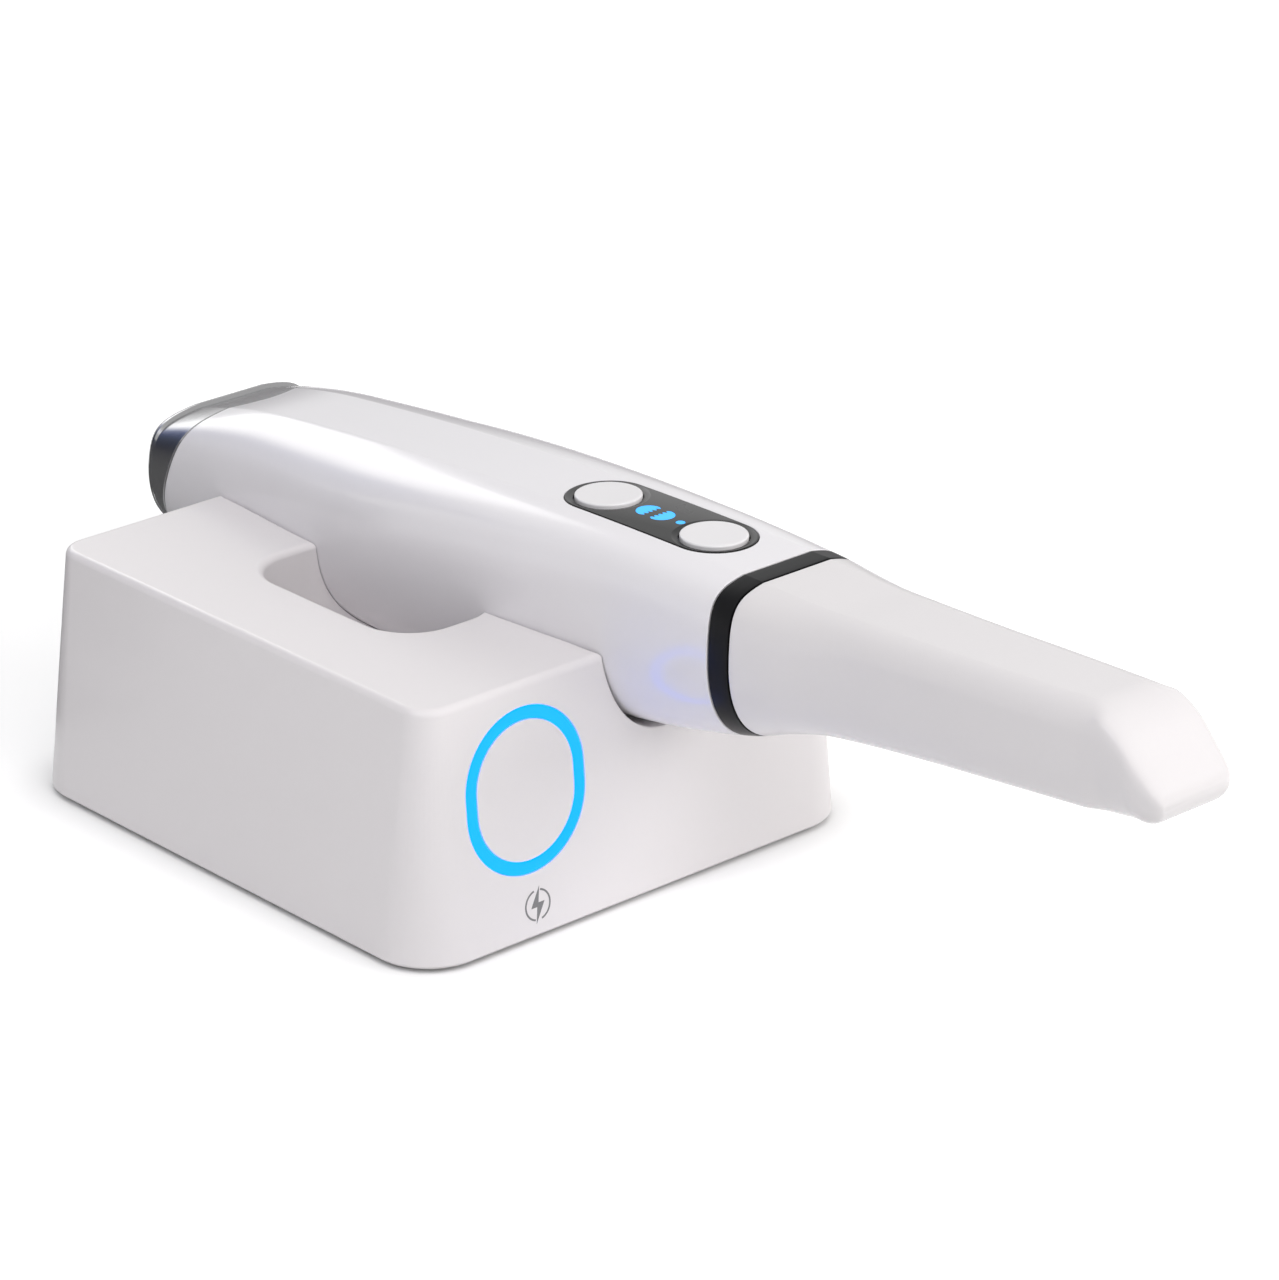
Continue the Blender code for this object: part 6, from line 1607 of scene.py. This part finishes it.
def jaw_outline(y, towards, margin):
    """Half-round row of teeth. Its teeth point along Y in the direction given."""
    half = JAW_WIDTH / 2 + margin
    depth = JAW_DEPTH + margin
    points = []
    for step in range(JAW_ARC_STEPS + 1):
        angle = math.pi * step / JAW_ARC_STEPS
        points.append((half * math.cos(angle), -towards * depth * math.sin(angle)))
    steps = JAW_TEETH * JAW_TOOTH_STEPS
    for step in range(1, steps):
        x = -half + 2 * half * step / steps
        wave = abs(math.sin(math.pi * JAW_TEETH * step / steps))
        points.append((x, towards * (JAW_TOOTH * wave + margin)))
    return np.array(points) + (0.0, y)


def light_outlines(margin):
    return [
        jaw_outline(REAR_JAW_Y, -1, margin),
        jaw_outline(FRONT_JAW_Y, 1, margin),
        circle(DOT_RADIUS + margin, SMALL_ROUND) + (0.0, DOT_Y),
    ]


def guide_span():
    """Front and rear of the slot that the light guide's raised lights pass."""
    return DOT_Y - DOT_RADIUS - SLOT_MARGIN, REAR_JAW_Y + JAW_DEPTH + SLOT_MARGIN


def make_button_panel():
    """Dark panel with a shallow dish round each button and openings for the lights."""
    edge = PANEL_EDGE
    profile = [
        (0.0, -PANEL_THICKNESS),
        (0.0, PANEL_PROUD - edge),
        (-edge * EDGE_SHARE, PANEL_PROUD - edge * EDGE_SHARE),
        (-edge, PANEL_PROUD),
    ]
    panel = facet_band("button_panel_finished", PANEL_HALF_WIDTH, profile)
    floor = PANEL_PROUD - DISH_DEPTH
    hole = BUTTON_RADIUS + GAP
    dish = [(0.0, -OVERCUT), (hole, -OVERCUT), (hole, floor)]
    for step in range(1, EDGE_STEPS + 1):
        share = step / EDGE_STEPS
        dish.append((mixed(hole, DISH_RADIUS, share), floor + DISH_DEPTH * share ** DISH_CURVE))
    slope = DISH_DEPTH / (DISH_RADIUS - hole) * DISH_CURVE
    outside = DISH_RADIUS + DISH_OVER
    dish += [(outside, PANEL_PROUD + slope * DISH_OVER), (outside, OVERCUT), (0.0, OVERCUT)]
    cutters = []
    for name, y in BUTTON_PLACES:
        place = framed(HANDPIECE, *facet_frame(y))
        cutters.append(lathe(f"{name}_dish", dish, place, FINE_ROUND))
    low = TOP_PEAK_HEIGHT - OVERCUT
    high = TOP_PEAK_HEIGHT + OVERCUT
    for number, outline in enumerate(light_outlines(HAIR / 2), start=1):
        cutters.append(extruded(f"light_hole_{number}", outline, low, high, HANDPIECE))
    cut(panel, *cutters)
    return finished(panel, look("panel_black"), "panel_black", ROOT_BODY, "button_panel")


def make_buttons():
    """Round buttons with a soft edge and a hollow for the fingertip."""
    top = PANEL_PROUD + BUTTON_PROUD
    flange_top = -SHELL_WALL - GAP
    flange_foot = flange_top - BUTTON_FLANGE
    profile = [
        (0.0, flange_foot - BUTTON_STEM),
        (BUTTON_STEM_RADIUS, flange_foot - BUTTON_STEM),
        (BUTTON_STEM_RADIUS, flange_foot),
        (BUTTON_FLANGE_RADIUS, flange_foot),
        (BUTTON_FLANGE_RADIUS, flange_top),
        (BUTTON_RADIUS, flange_top),
    ]
    profile += [(BUTTON_RADIUS - across, top - down) for across, down in rounding(BUTTON_EDGE)]
    reach = BUTTON_RADIUS - BUTTON_EDGE
    for share in np.linspace(1, 0, EDGE_STEPS + 1)[1:]:
        sunk = BUTTON_HOLLOW * (1 - share * share)
        profile.append((reach * share, top - sunk))
    for name, y in BUTTON_PLACES:
        place = framed(HANDPIECE, *facet_frame(y))
        button = lathe(f"{name}_button_finished", profile, place, FINE_ROUND)
        finished(button, look("button_white"), "button_white", f"{name}_button", f"{name}_button")


def make_indicator_lights():
    """Clear guide under the shell with the jaws and the dot raised on it."""
    low, high = guide_span()
    under = top_height((low + high) / 2) - SHELL_WALL - GAP - GUIDE_DROP
    half = GUIDE_WIDTH / 2
    front = PANEL_FRONT_CENTRE + BUTTON_FLANGE_RADIUS + GAP
    rear = PANEL_REAR_CENTRE - BUTTON_FLANGE_RADIUS - GAP
    corners = (-half, front, under - GUIDE_THICKNESS), (half, rear, under)
    guide = block("indicator_light_guide_finished", *corners, HANDPIECE)
    raised = []
    for number, outline in enumerate(light_outlines(0.0), start=1):
        y = float(np.mean(outline[:, 1]))
        top = top_height(y) + PANEL_PROUD - LIGHT_SINK
        raised.append(extruded(f"raised_light_{number}", outline, under - SINK, top, HANDPIECE))
    fuse(guide, *raised)
    return finished(guide, look("jaw_light"), "blue_light", ROOT_BODY, "indicator_light_guide")


# Tip and optics

def tip_end_rings(inset):
    """Slanted sections from the end of the straight tip to its rounded front edge."""
    top = top_height(TIP_END)
    keel = keel_height(TIP_END)
    half = half_width(TIP_END)
    angle = TIP_FACE_ANGLE
    big = TIP_FACE_TOP_RADIUS
    small = TIP_NOSE_RADIUS
    arc_end = np.array([TIP_END - big * math.sin(angle), top - big * (1 - math.cos(angle))])
    along = np.array([-math.cos(angle), -math.sin(angle)])
    face_end = arc_end + TIP_FACE_LENGTH * along
    centre = face_end + small * np.array([math.sin(angle), -math.cos(angle)])
    uppers = []
    for step in range(1, TIP_ARC_STEPS + 1):
        turn = angle * step / TIP_ARC_STEPS
        uppers.append((TIP_END - big * math.sin(turn), top - big * (1 - math.cos(turn))))
    uppers += [tuple(arc_end + (face_end - arc_end) * share) for share in (0.25, 0.5, 0.75, 1.0)]
    lowers = []
    foot = centre + (0.0, -small)
    for step in range(1, len(uppers) + 1):
        share = step / len(uppers)
        lowers.append((mixed(TIP_END, foot[0], share), mixed(keel, foot[1], share)))
    for step in range(1, TIP_NOSE_STEPS + 1):
        share = step / (TIP_NOSE_STEPS + 0.3)
        turn_up = mixed(math.pi / 2 + angle, math.pi, share)
        turn_down = mixed(math.pi * 1.5, math.pi, share)
        uppers.append((centre[0] + small * math.cos(turn_up), centre[1] + small * math.sin(turn_up)))
        lowers.append((centre[0] + small * math.cos(turn_down), centre[1] + small * math.sin(turn_down)))
    front = centre[0] - small
    rings = []
    for number, (upper, lower) in enumerate(zip(uppers, lowers), start=1):
        upper = np.array(upper)
        lower = np.array(lower)
        height = float(np.linalg.norm(upper - lower))
        if height < 2 * inset + TIP_LEAST_HEIGHT:
            break
        past = TIP_NARROWS_FROM - (upper[0] + lower[0]) / 2
        reach = min(max(past / (TIP_NARROWS_FROM - front), 0), 1)
        side = half - TIP_NOSE_NARROWING * (1 - math.sqrt(max(1 - reach * reach, 0)))
        corner = min(TIP_CORNER, height / 2.05)
        turned = smooth_share(number, 0, TIP_TURN_RINGS)
        outline = outline_between(
            side - corner, side, side - corner, height, height - corner, 0.0, 1.0 - turned, turned
        )
        outline = inset_outline(outline, inset)
        up = (upper - lower) / height
        points = [(x, lower[0] + v * up[0], lower[1] + v * up[1]) for x, v in outline]
        rings.append(np.array(points))
    return rings


def make_tip():
    """Detachable hollow tip, open at its rear and through a window under its end."""
    rear = COLLAR_FRONT - GAP
    edge = TIP_REAR_WALL_EDGE
    rings = tip_end_rings(TIP_WALL)[::-1]
    rings += [section_ring(y, TIP_WALL) for y in np.linspace(TIP_END, rear, TIP_INNER_ROW_COUNT)]
    rings += [section_ring(rear, edge), section_ring(rear - edge * EDGE_SHARE, edge * EDGE_SHARE)]
    rings += [section_ring(y) for y in np.linspace(rear - edge, TIP_END, TIP_OUTER_ROWS)]
    rings += tip_end_rings(0.0)
    sleeve = ring_solid("tip_sleeve_finished", rings, HANDPIECE)
    middle = (WINDOW_REAR + WINDOW_FRONT) / 2
    half_y = (WINDOW_REAR - WINDOW_FRONT) / 2
    place = framed(HANDPIECE, (0.0, middle, keel_height(TIP_END)))
    window = rounded_rectangle(WINDOW_HALF_WIDTH, half_y, WINDOW_CORNER)
    rim = rounded_rectangle(
        WINDOW_HALF_WIDTH + WINDOW_RIM, half_y + WINDOW_RIM, WINDOW_CORNER + WINDOW_RIM
    )
    cut(
        sleeve,
        extruded("scan_window", window, -OVERCUT, OVERCUT + TIP_WALL, place),
        extruded("window_rim", rim, -OVERCUT, WINDOW_RIM_DEPTH, place),
    )
    return finished(sleeve, look("tip_white"), "tip_white", TIP_BODY, "tip_sleeve")


def nose_top():
    return TOP_PEAK_HEIGHT - NOSE_TOP_DEPTH


def shrunk(ring, margin):
    """The ring drawn in about its middle until each side has moved by the margin."""
    low = ring.min(axis=0)
    high = ring.max(axis=0)
    middle = (low + high) / 2
    reach = (high - low) / 2
    scale = np.array((1 - margin / reach[0], 1.0, 1 - margin / reach[2]))
    return middle + (ring - middle) * scale


def make_optics():
    """Nose that carries the tip and the seal that grips the tip."""
    rows = [(NOSE_REAR, SHELL_WALL + GAP), (COLLAR_FRONT, SHELL_WALL + GAP)]
    nose_ys = np.linspace(NOSE_STEP, NOSE_FRONT, NOSE_ROW_COUNT)
    rows += [(y, TIP_WALL + NOSE_CLEARANCE) for y in nose_ys]
    rings = [section_ring(y, inset, nose_top()) for y, inset in rows]
    rings += [shrunk(ring, NOSE_WALL) for ring in rings[::-1]]
    nose = ring_solid("optical_nose_finished", rings, HANDPIECE, loop=True)
    finished(nose, look("inner_plastic"), "inner_plastic", ROOT_BODY, "optical_nose")
    near = TIP_WALL + NOSE_CLEARANCE - GAP
    far = TIP_WALL + GAP
    seal = []
    end = SEAL_Y - SEAL_WIDTH
    for y, inset in ((SEAL_Y, near), (SEAL_Y, far), (end, far), (end, near)):
        seal.append(section_ring(y, inset, nose_top() + (GAP if inset == near else SEAL_RISE)))
    ring = ring_solid("tip_seal_ring_finished", seal, HANDPIECE, loop=True)
    finished(ring, look("rubber"), "rubber", ROOT_BODY, "tip_seal_ring")


def dress_plain_nodes():
    """Finishes of the pieces that keep their plain shape."""
    looks = {
        "non_slip_mat": "rubber", "base_plate": "inner_plastic", "ballast_plate": "steel",
        "light_ring_board": "circuit_board", "dock_main_board": "circuit_board",
        "coil_ferrite": "ferrite", "receiving_ferrite": "ferrite", "switch_board": "circuit_board",
        "rear_switch": "inner_plastic", "front_switch": "inner_plastic",
        "inner_chassis": "inner_plastic", "battery_cell": "cell_sleeve",
        "handpiece_main_board": "circuit_board", "imaging_board": "circuit_board",
        "nose_window": "glass", "heat_spreader": "aluminium", "projector_module": "inner_plastic",
        "left_camera": "inner_plastic", "right_camera": "inner_plastic", "tip_mirror": "mirror",
    }
    for node, name in looks.items():
        plain = frame["nodes"][node]
        plain.data.materials.clear()
        plain.data.materials.append(look(name))


# Stage

def camera_axes(azimuth, elevation, roll):
    """The camera's right, its up, and the direction from the object to it."""
    away = Vector(
        (
            math.sin(azimuth) * math.cos(elevation),
            -math.cos(azimuth) * math.cos(elevation),
            math.sin(elevation),
        )
    )
    right = Vector((math.cos(azimuth), math.sin(azimuth), 0.0))
    up = away.cross(right)
    return (
        right * math.cos(roll) + up * math.sin(roll),
        up * math.cos(roll) - right * math.sin(roll),
        away,
    )


def make_camera(stage):
    right, up, away = camera_axes(stage.azimuth, stage.elevation, stage.roll)
    place = right * stage.slide_right + up * stage.slide_up + away * stage.distance
    place.z += MAT_PROUD
    data = bpy.data.cameras.new("studio_camera")
    data.lens = stage.lens
    data.sensor_width = SENSOR_WIDTH
    data.clip_start, data.clip_end = CLIP
    camera = linked("studio_camera", data)
    rotation = Matrix((right, up, away)).transposed().to_4x4()
    camera.matrix_world = Matrix.Translation(place) @ rotation
    bpy.context.scene.camera = camera


def make_lamp(name, direction, distance, size, colour, mirrored, radiance):
    """Softbox that looks at the object. radiance is the brightness of its face."""
    data = bpy.data.lights.new(name, "AREA")
    data.shape = "RECTANGLE"
    data.size, data.size_y = size
    data.energy = radiance * math.pi * size[0] * size[1]
    data.color = colour
    lamp = linked(name, data)
    away = Vector(direction).normalized()
    turn = away.to_track_quat("Z", "Y").to_matrix().to_4x4()
    lamp.matrix_world = Matrix.Translation(away * distance) @ turn
    lamp.visible_glossy = mirrored


def seen_directly(tree):
    """1 for camera, glossy and transmission rays."""
    path = tree.nodes.new("ShaderNodeLightPath")
    either = calculated(tree, "MAXIMUM", path.outputs["Is Camera Ray"], path.outputs["Is Glossy Ray"])
    return calculated(tree, "MAXIMUM", either, path.outputs["Is Transmission Ray"])


def make_world(stage):
    world = bpy.data.worlds.new("studio")
    world.use_nodes = True
    tree = world.node_tree
    background = tree.nodes["Background"]
    background.inputs["Color"].default_value = (1.0, 1.0, 1.0, 1.0)
    strength = ranged(tree, seen_directly(tree), stage.ambient, 1.0)
    tree.links.new(strength, background.inputs["Strength"])
    bpy.context.scene.world = world


def make_sheet(name, corners):
    """Flat sheet with four corners, and the tree of its still empty material."""
    mesh = bpy.data.meshes.new(name)
    mesh.from_pydata(corners, [], [(0, 1, 2, 3)])
    made = bpy.data.materials.new(name)
    made.use_nodes = True
    made.node_tree.nodes.remove(made.node_tree.nodes["Principled BSDF"])
    mesh.materials.append(made)
    return linked(name, mesh), made.node_tree


def make_floor(stage):
    """Pale floor. Its own glow, seen but not cast, keeps it white except in close shadow."""
    half = FLOOR_HALF
    level = -HAIR
    corners = [(-half, -half, level), (half, -half, level), (half, half, level), (-half, half, level)]
    floor, tree = make_sheet("studio_floor", corners)
    diffuse = new_node(tree, "ShaderNodeBsdfDiffuse", Color=opaque(stage.floor_colour))
    glow = tree.nodes.new("ShaderNodeEmission")
    place = tree.nodes.new("ShaderNodeTexCoord")
    away = new_node(tree, "ShaderNodeVectorMath", operation="LENGTH")
    tree.links.new(place.outputs["Object"], away.inputs[0])
    near, far = GLOW_RANGE
    by_distance = ranged(tree, away.outputs["Value"], stage.floor_glow, FAR_GLOW, near, far)
    close = new_node(tree, "ShaderNodeAmbientOcclusion", Distance=CONTACT_REACH)
    open_share = calculated(tree, "POWER", close.outputs["AO"], CONTACT_FADE)
    shown = calculated(tree, "MULTIPLY", seen_directly(tree), open_share)
    tree.links.new(calculated(tree, "MULTIPLY", shown, by_distance), glow.inputs["Strength"])
    both = tree.nodes.new("ShaderNodeAddShader")
    tree.links.new(diffuse.outputs[0], both.inputs[0])
    tree.links.new(glow.outputs[0], both.inputs[1])
    tree.links.new(both.outputs[0], tree.nodes["Material Output"].inputs["Surface"])


def make_card(name, corners, axis, tones, strength=1.0):
    """Card seen only in reflections, as a studio's reflector or flag is. axis is the way its
    tones run."""
    card, tree = make_sheet(name, corners)
    place = tree.nodes.new("ShaderNodeTexCoord")
    parts = tree.nodes.new("ShaderNodeSeparateXYZ")
    tree.links.new(place.outputs["Generated"], parts.inputs[0])
    ramp = tree.nodes.new("ShaderNodeValToRGB")
    stops = ramp.color_ramp.elements
    while len(stops) < len(tones):
        stops.new(0.5)
    for stop, (position, tone) in zip(stops, tones):
        stop.position = position
        stop.color = (*tone, 1.0)
    tree.links.new(parts.outputs[axis], ramp.inputs["Fac"])
    glow = new_node(tree, "ShaderNodeEmission", Strength=strength)
    tree.links.new(ramp.outputs["Color"], glow.inputs["Color"])
    tree.links.new(glow.outputs[0], tree.nodes["Material Output"].inputs["Surface"])
    for ray in ("camera", "diffuse", "shadow", "transmission"):
        setattr(card, f"visible_{ray}", False)


def standing(foot, across, height):
    """Corners of an upright card."""
    rise = Vector((0.0, 0.0, height))
    return [foot - across, foot + across, foot + across + rise, foot - across + rise]


def make_cards(stage):
    facing = (STREAK_CENTRE - STREAK_AIM).to_track_quat("Z", "Y").to_matrix().to_4x4()
    place = Matrix.Translation(STREAK_CENTRE) @ facing
    half_x, half_y = STREAK_SIZE[0] / 2, STREAK_SIZE[1] / 2
    around = ((-half_x, -half_y), (half_x, -half_y), (half_x, half_y), (-half_x, half_y))
    corners = [place @ Vector((x, y, 0.0)) for x, y in around]
    make_card("streak_card", corners, "X", STREAK_TONES, stage.streak_lamp)
    make_card("flag_card", standing(FLAG_FOOT, FLAG_ACROSS, FLAG_HEIGHT), "Z", FLAG_TONES)
    make_card("apron_card", APRON_CORNERS, "X", APRON_TONES)
    horizon = standing(HORIZON_FOOT, HORIZON_ACROSS, HORIZON_HEIGHT)
    make_card("horizon_card", horizon, "Z", HORIZON_TONES)


def make_stage():
    stage = bpy.context.scene.scanner_stage
    make_camera(stage)
    make_world(stage)
    make_floor(stage)
    for name, *form in SOFTBOXES:
        make_lamp(f"{name}_softbox", *form, getattr(stage, f"{name}_lamp"))
    make_cards(stage)
    bpy.context.scene.view_settings.view_transform = "Standard"


# Settings

def colour_setting(name, description, default):
    return bpy.props.FloatVectorProperty(
        name=name, description=description, default=default, size=3, min=0.0, max=1.0, subtype="COLOR"
    )


def number_setting(name, description, default):
    return bpy.props.FloatProperty(name=name, description=description, default=default, min=0.0)


def length_setting(name, description, default, **limits):
    return bpy.props.FloatProperty(
        name=name, description=description, default=default, subtype="DISTANCE", unit="LENGTH", **limits
    )


def angle_setting(name, description, degrees):
    return bpy.props.FloatProperty(
        name=name, description=description, default=math.radians(degrees), subtype="ANGLE"
    )


class DockSettings(bpy.types.PropertyGroup):
    """Colours and lights of the dock."""

    shell_colour: colour_setting("Shell", "Colour of the dock's shell", (0.78, 0.754, 0.762))
    symbol_colour: colour_setting("Symbol", "Colour of the charging symbol", (0.20, 0.20, 0.205))
    ring_colour: colour_setting("Ring", "Colour of the light ring", (0.0005, 0.135, 1.0))
    ring_strength: number_setting("Ring strength", "How strongly the ring glows", 4.0)


class HandpieceSettings(bpy.types.PropertyGroup):
    """Colours and lights of the handpiece."""

    shell_colour: colour_setting("Shell", "Colour of the body shell", (0.805, 0.790, 0.814))
    tip_colour: colour_setting("Tip", "Colour of the detachable tip", (0.725, 0.704, 0.711))
    cap_colour: colour_setting("Tail cap", "Colour of the tail cap's lacquer", (0.33, 0.33, 0.335))
    collar_colour: colour_setting("Collar", "Colour of the front collar", (0.005, 0.005, 0.006))
    panel_colour: colour_setting("Panel", "Colour of the button panel", (0.006, 0.006, 0.006))
    # Palest colour of the panel's painted reflection, at its rear right corner
    panel_painted_reflection: colour_setting("Panel, pale", "Colour at its palest corner", (0.12, 0.12, 0.12))
    button_colour: colour_setting("Buttons", "Colour of the buttons", (0.78, 0.77, 0.78))
    light_colour: colour_setting("Lights", "Colour of the indicator lights", (0.03, 0.40, 1.0))
    light_strength: number_setting("Light strength", "How strongly the lights glow", 1.2)


class InsideSettings(bpy.types.PropertyGroup):
    """Sizes of the pieces inside."""

    wire_diameter: length_setting("Wire", "Diameter of the coils' wire", 0.0009, min=0.0003)


class StageSettings(bpy.types.PropertyGroup):
    """Camera, floor and lamps of the studio."""

    azimuth: angle_setting("Azimuth", "Camera's turn from the front", -42.99)
    elevation: angle_setting("Elevation", "Camera's height as an angle", 23.14)
    roll: angle_setting("Roll", "Camera's turn about its own line of sight", 0.60)
    distance: length_setting("Distance", "From the object to the camera", 1.0862)
    slide_right: length_setting("Slide right", "Camera's offset to its right", 0.0393)
    slide_up: length_setting("Slide up", "Camera's offset upwards", 0.0306)
    lens: bpy.props.FloatProperty(name="Lens", description="Focal length in mm", default=154.6875)
    floor_colour: colour_setting("Floor", "Colour of the floor", (0.80, 0.80, 0.80))
    floor_glow: number_setting("Floor glow", "White added near the object where it is seen", 0.40)
    ambient: number_setting("Ambient", "Even light of the room", 0.34)
    back_lamp: number_setting("Back softbox", "Brightness of its face", 0.15)
    streak_lamp: number_setting("Streak card", "Brightness of the card mirrored in the shoulder", 3.6)
    top_lamp: number_setting("Top softbox", "Brightness of its face", 2.0)
    front_lamp: number_setting("Front softbox", "Brightness of its face", 3.2)
    fill_lamp: number_setting("Fill softbox", "Brightness of its face", 1.15)
    side_lamp: number_setting("Side softbox", "Brightness of its face", 1.8)


# Operators

class PieceOperator:
    """What the operators share: each builds its pieces when it runs."""

    bl_options = {"REGISTER", "UNDO"}

    def execute(self, context):
        self.build()
        return {"FINISHED"}


class SCANNER_OT_dock_shell(PieceOperator, bpy.types.Operator):
    """Builds the dock's shell with its trough, recess and groove."""

    bl_idname = "scanner.dock_shell"
    bl_label = "Dock shell"
    build = staticmethod(make_dock_shell)


class SCANNER_OT_light_ring(PieceOperator, bpy.types.Operator):
    """Builds the light ring in the front wall."""

    bl_idname = "scanner.light_ring"
    bl_label = "Light ring"
    build = staticmethod(make_light_ring)


class SCANNER_OT_charging_symbol(PieceOperator, bpy.types.Operator):
    """Prints the charging symbol on the front wall."""

    bl_idname = "scanner.charging_symbol"
    bl_label = "Charging symbol"
    build = staticmethod(make_charging_symbol)


class SCANNER_OT_power_inlet(PieceOperator, bpy.types.Operator):
    """Builds the socket in the rear wall."""

    bl_idname = "scanner.power_inlet"
    bl_label = "Power inlet"
    build = staticmethod(make_power_inlet)


class SCANNER_OT_base_screws(PieceOperator, bpy.types.Operator):
    """Sets a screw at each boss of the base."""

    bl_idname = "scanner.base_screws"
    bl_label = "Base screws"
    build = staticmethod(make_base_screws)


class SCANNER_OT_coils(PieceOperator, bpy.types.Operator):
    """Winds the charging coil and the receiving coil."""

    bl_idname = "scanner.coils"
    bl_label = "Coils"
    build = staticmethod(make_coils)


class SCANNER_OT_body_shell(PieceOperator, bpy.types.Operator):
    """Builds the handpiece's white shell."""

    bl_idname = "scanner.body_shell"
    bl_label = "Body shell"
    build = staticmethod(make_body_shell)


class SCANNER_OT_tail_cap(PieceOperator, bpy.types.Operator):
    """Builds the dark cap at the tail."""

    bl_idname = "scanner.tail_cap"
    bl_label = "Tail cap"
    build = staticmethod(make_tail_cap)


class SCANNER_OT_collar(PieceOperator, bpy.types.Operator):
    """Builds the black collar behind the tip."""

    bl_idname = "scanner.collar"
    bl_label = "Front collar"
    build = staticmethod(make_collar)


class SCANNER_OT_button_panel(PieceOperator, bpy.types.Operator):
    """Builds the dark panel on the top facet."""

    bl_idname = "scanner.button_panel"
    bl_label = "Button panel"
    build = staticmethod(make_button_panel)


class SCANNER_OT_buttons(PieceOperator, bpy.types.Operator):
    """Builds the two round buttons."""

    bl_idname = "scanner.buttons"
    bl_label = "Buttons"
    build = staticmethod(make_buttons)


class SCANNER_OT_indicator_lights(PieceOperator, bpy.types.Operator):
    """Builds the jaw-shaped lights and the dot."""

    bl_idname = "scanner.indicator_lights"
    bl_label = "Indicator lights"
    build = staticmethod(make_indicator_lights)


class SCANNER_OT_tip(PieceOperator, bpy.types.Operator):
    """Builds the detachable tip with its window."""

    bl_idname = "scanner.tip"
    bl_label = "Tip"
    build = staticmethod(make_tip)


class SCANNER_OT_optics(PieceOperator, bpy.types.Operator):
    """Builds the nose that carries the tip and its seal."""

    bl_idname = "scanner.optics"
    bl_label = "Optics"
    build = staticmethod(make_optics)


class SCANNER_OT_plain_pieces(PieceOperator, bpy.types.Operator):
    """Gives the pieces inside their finishes."""

    bl_idname = "scanner.plain_pieces"
    bl_label = "Plain pieces"
    build = staticmethod(dress_plain_nodes)


class SCANNER_OT_stage(PieceOperator, bpy.types.Operator):
    """Sets up the floor, the lamps and the camera."""

    bl_idname = "scanner.stage"
    bl_label = "Stage"
    build = staticmethod(make_stage)


OPERATORS = (
    SCANNER_OT_dock_shell,
    SCANNER_OT_light_ring,
    SCANNER_OT_charging_symbol,
    SCANNER_OT_power_inlet,
    SCANNER_OT_base_screws,
    SCANNER_OT_coils,
    SCANNER_OT_body_shell,
    SCANNER_OT_tail_cap,
    SCANNER_OT_collar,
    SCANNER_OT_button_panel,
    SCANNER_OT_buttons,
    SCANNER_OT_indicator_lights,
    SCANNER_OT_tip,
    SCANNER_OT_optics,
    SCANNER_OT_plain_pieces,
    SCANNER_OT_stage,
)


class SCANNER_PT_pieces(bpy.types.Panel):
    """Sidebar panel with the settings and one button for each group of pieces."""

    bl_label = "Intraoral scanner"
    bl_idname = "SCANNER_PT_pieces"
    bl_space_type = "VIEW_3D"
    bl_region_type = "UI"
    bl_category = "Scanner"

    def draw(self, context):
        for group_name in SETTINGS:
            box = self.layout.box()
            settings = getattr(context.scene, group_name)
            for name in settings.__annotations__:
                box.prop(settings, name)
        for operator in OPERATORS:
            self.layout.operator(operator.bl_idname)


SETTINGS = {
    "scanner_dock": DockSettings,
    "scanner_handpiece": HandpieceSettings,
    "scanner_inside": InsideSettings,
    "scanner_stage": StageSettings,
}


def register():
    for name, group in SETTINGS.items():
        bpy.utils.register_class(group)
        setattr(bpy.types.Scene, name, bpy.props.PointerProperty(type=group))
    for operator in OPERATORS:
        bpy.utils.register_class(operator)
    bpy.utils.register_class(SCANNER_PT_pieces)


def unregister():
    bpy.utils.unregister_class(SCANNER_PT_pieces)
    for operator in reversed(OPERATORS):
        bpy.utils.unregister_class(operator)
    for name, group in reversed(SETTINGS.items()):
        delattr(bpy.types.Scene, name)
        bpy.utils.unregister_class(group)


def main():
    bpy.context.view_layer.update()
    register()
    for operator in OPERATORS:
        family, action = operator.bl_idname.split(".")
        getattr(getattr(bpy.ops, family), action)()


if __name__ == "__main__":
    main()
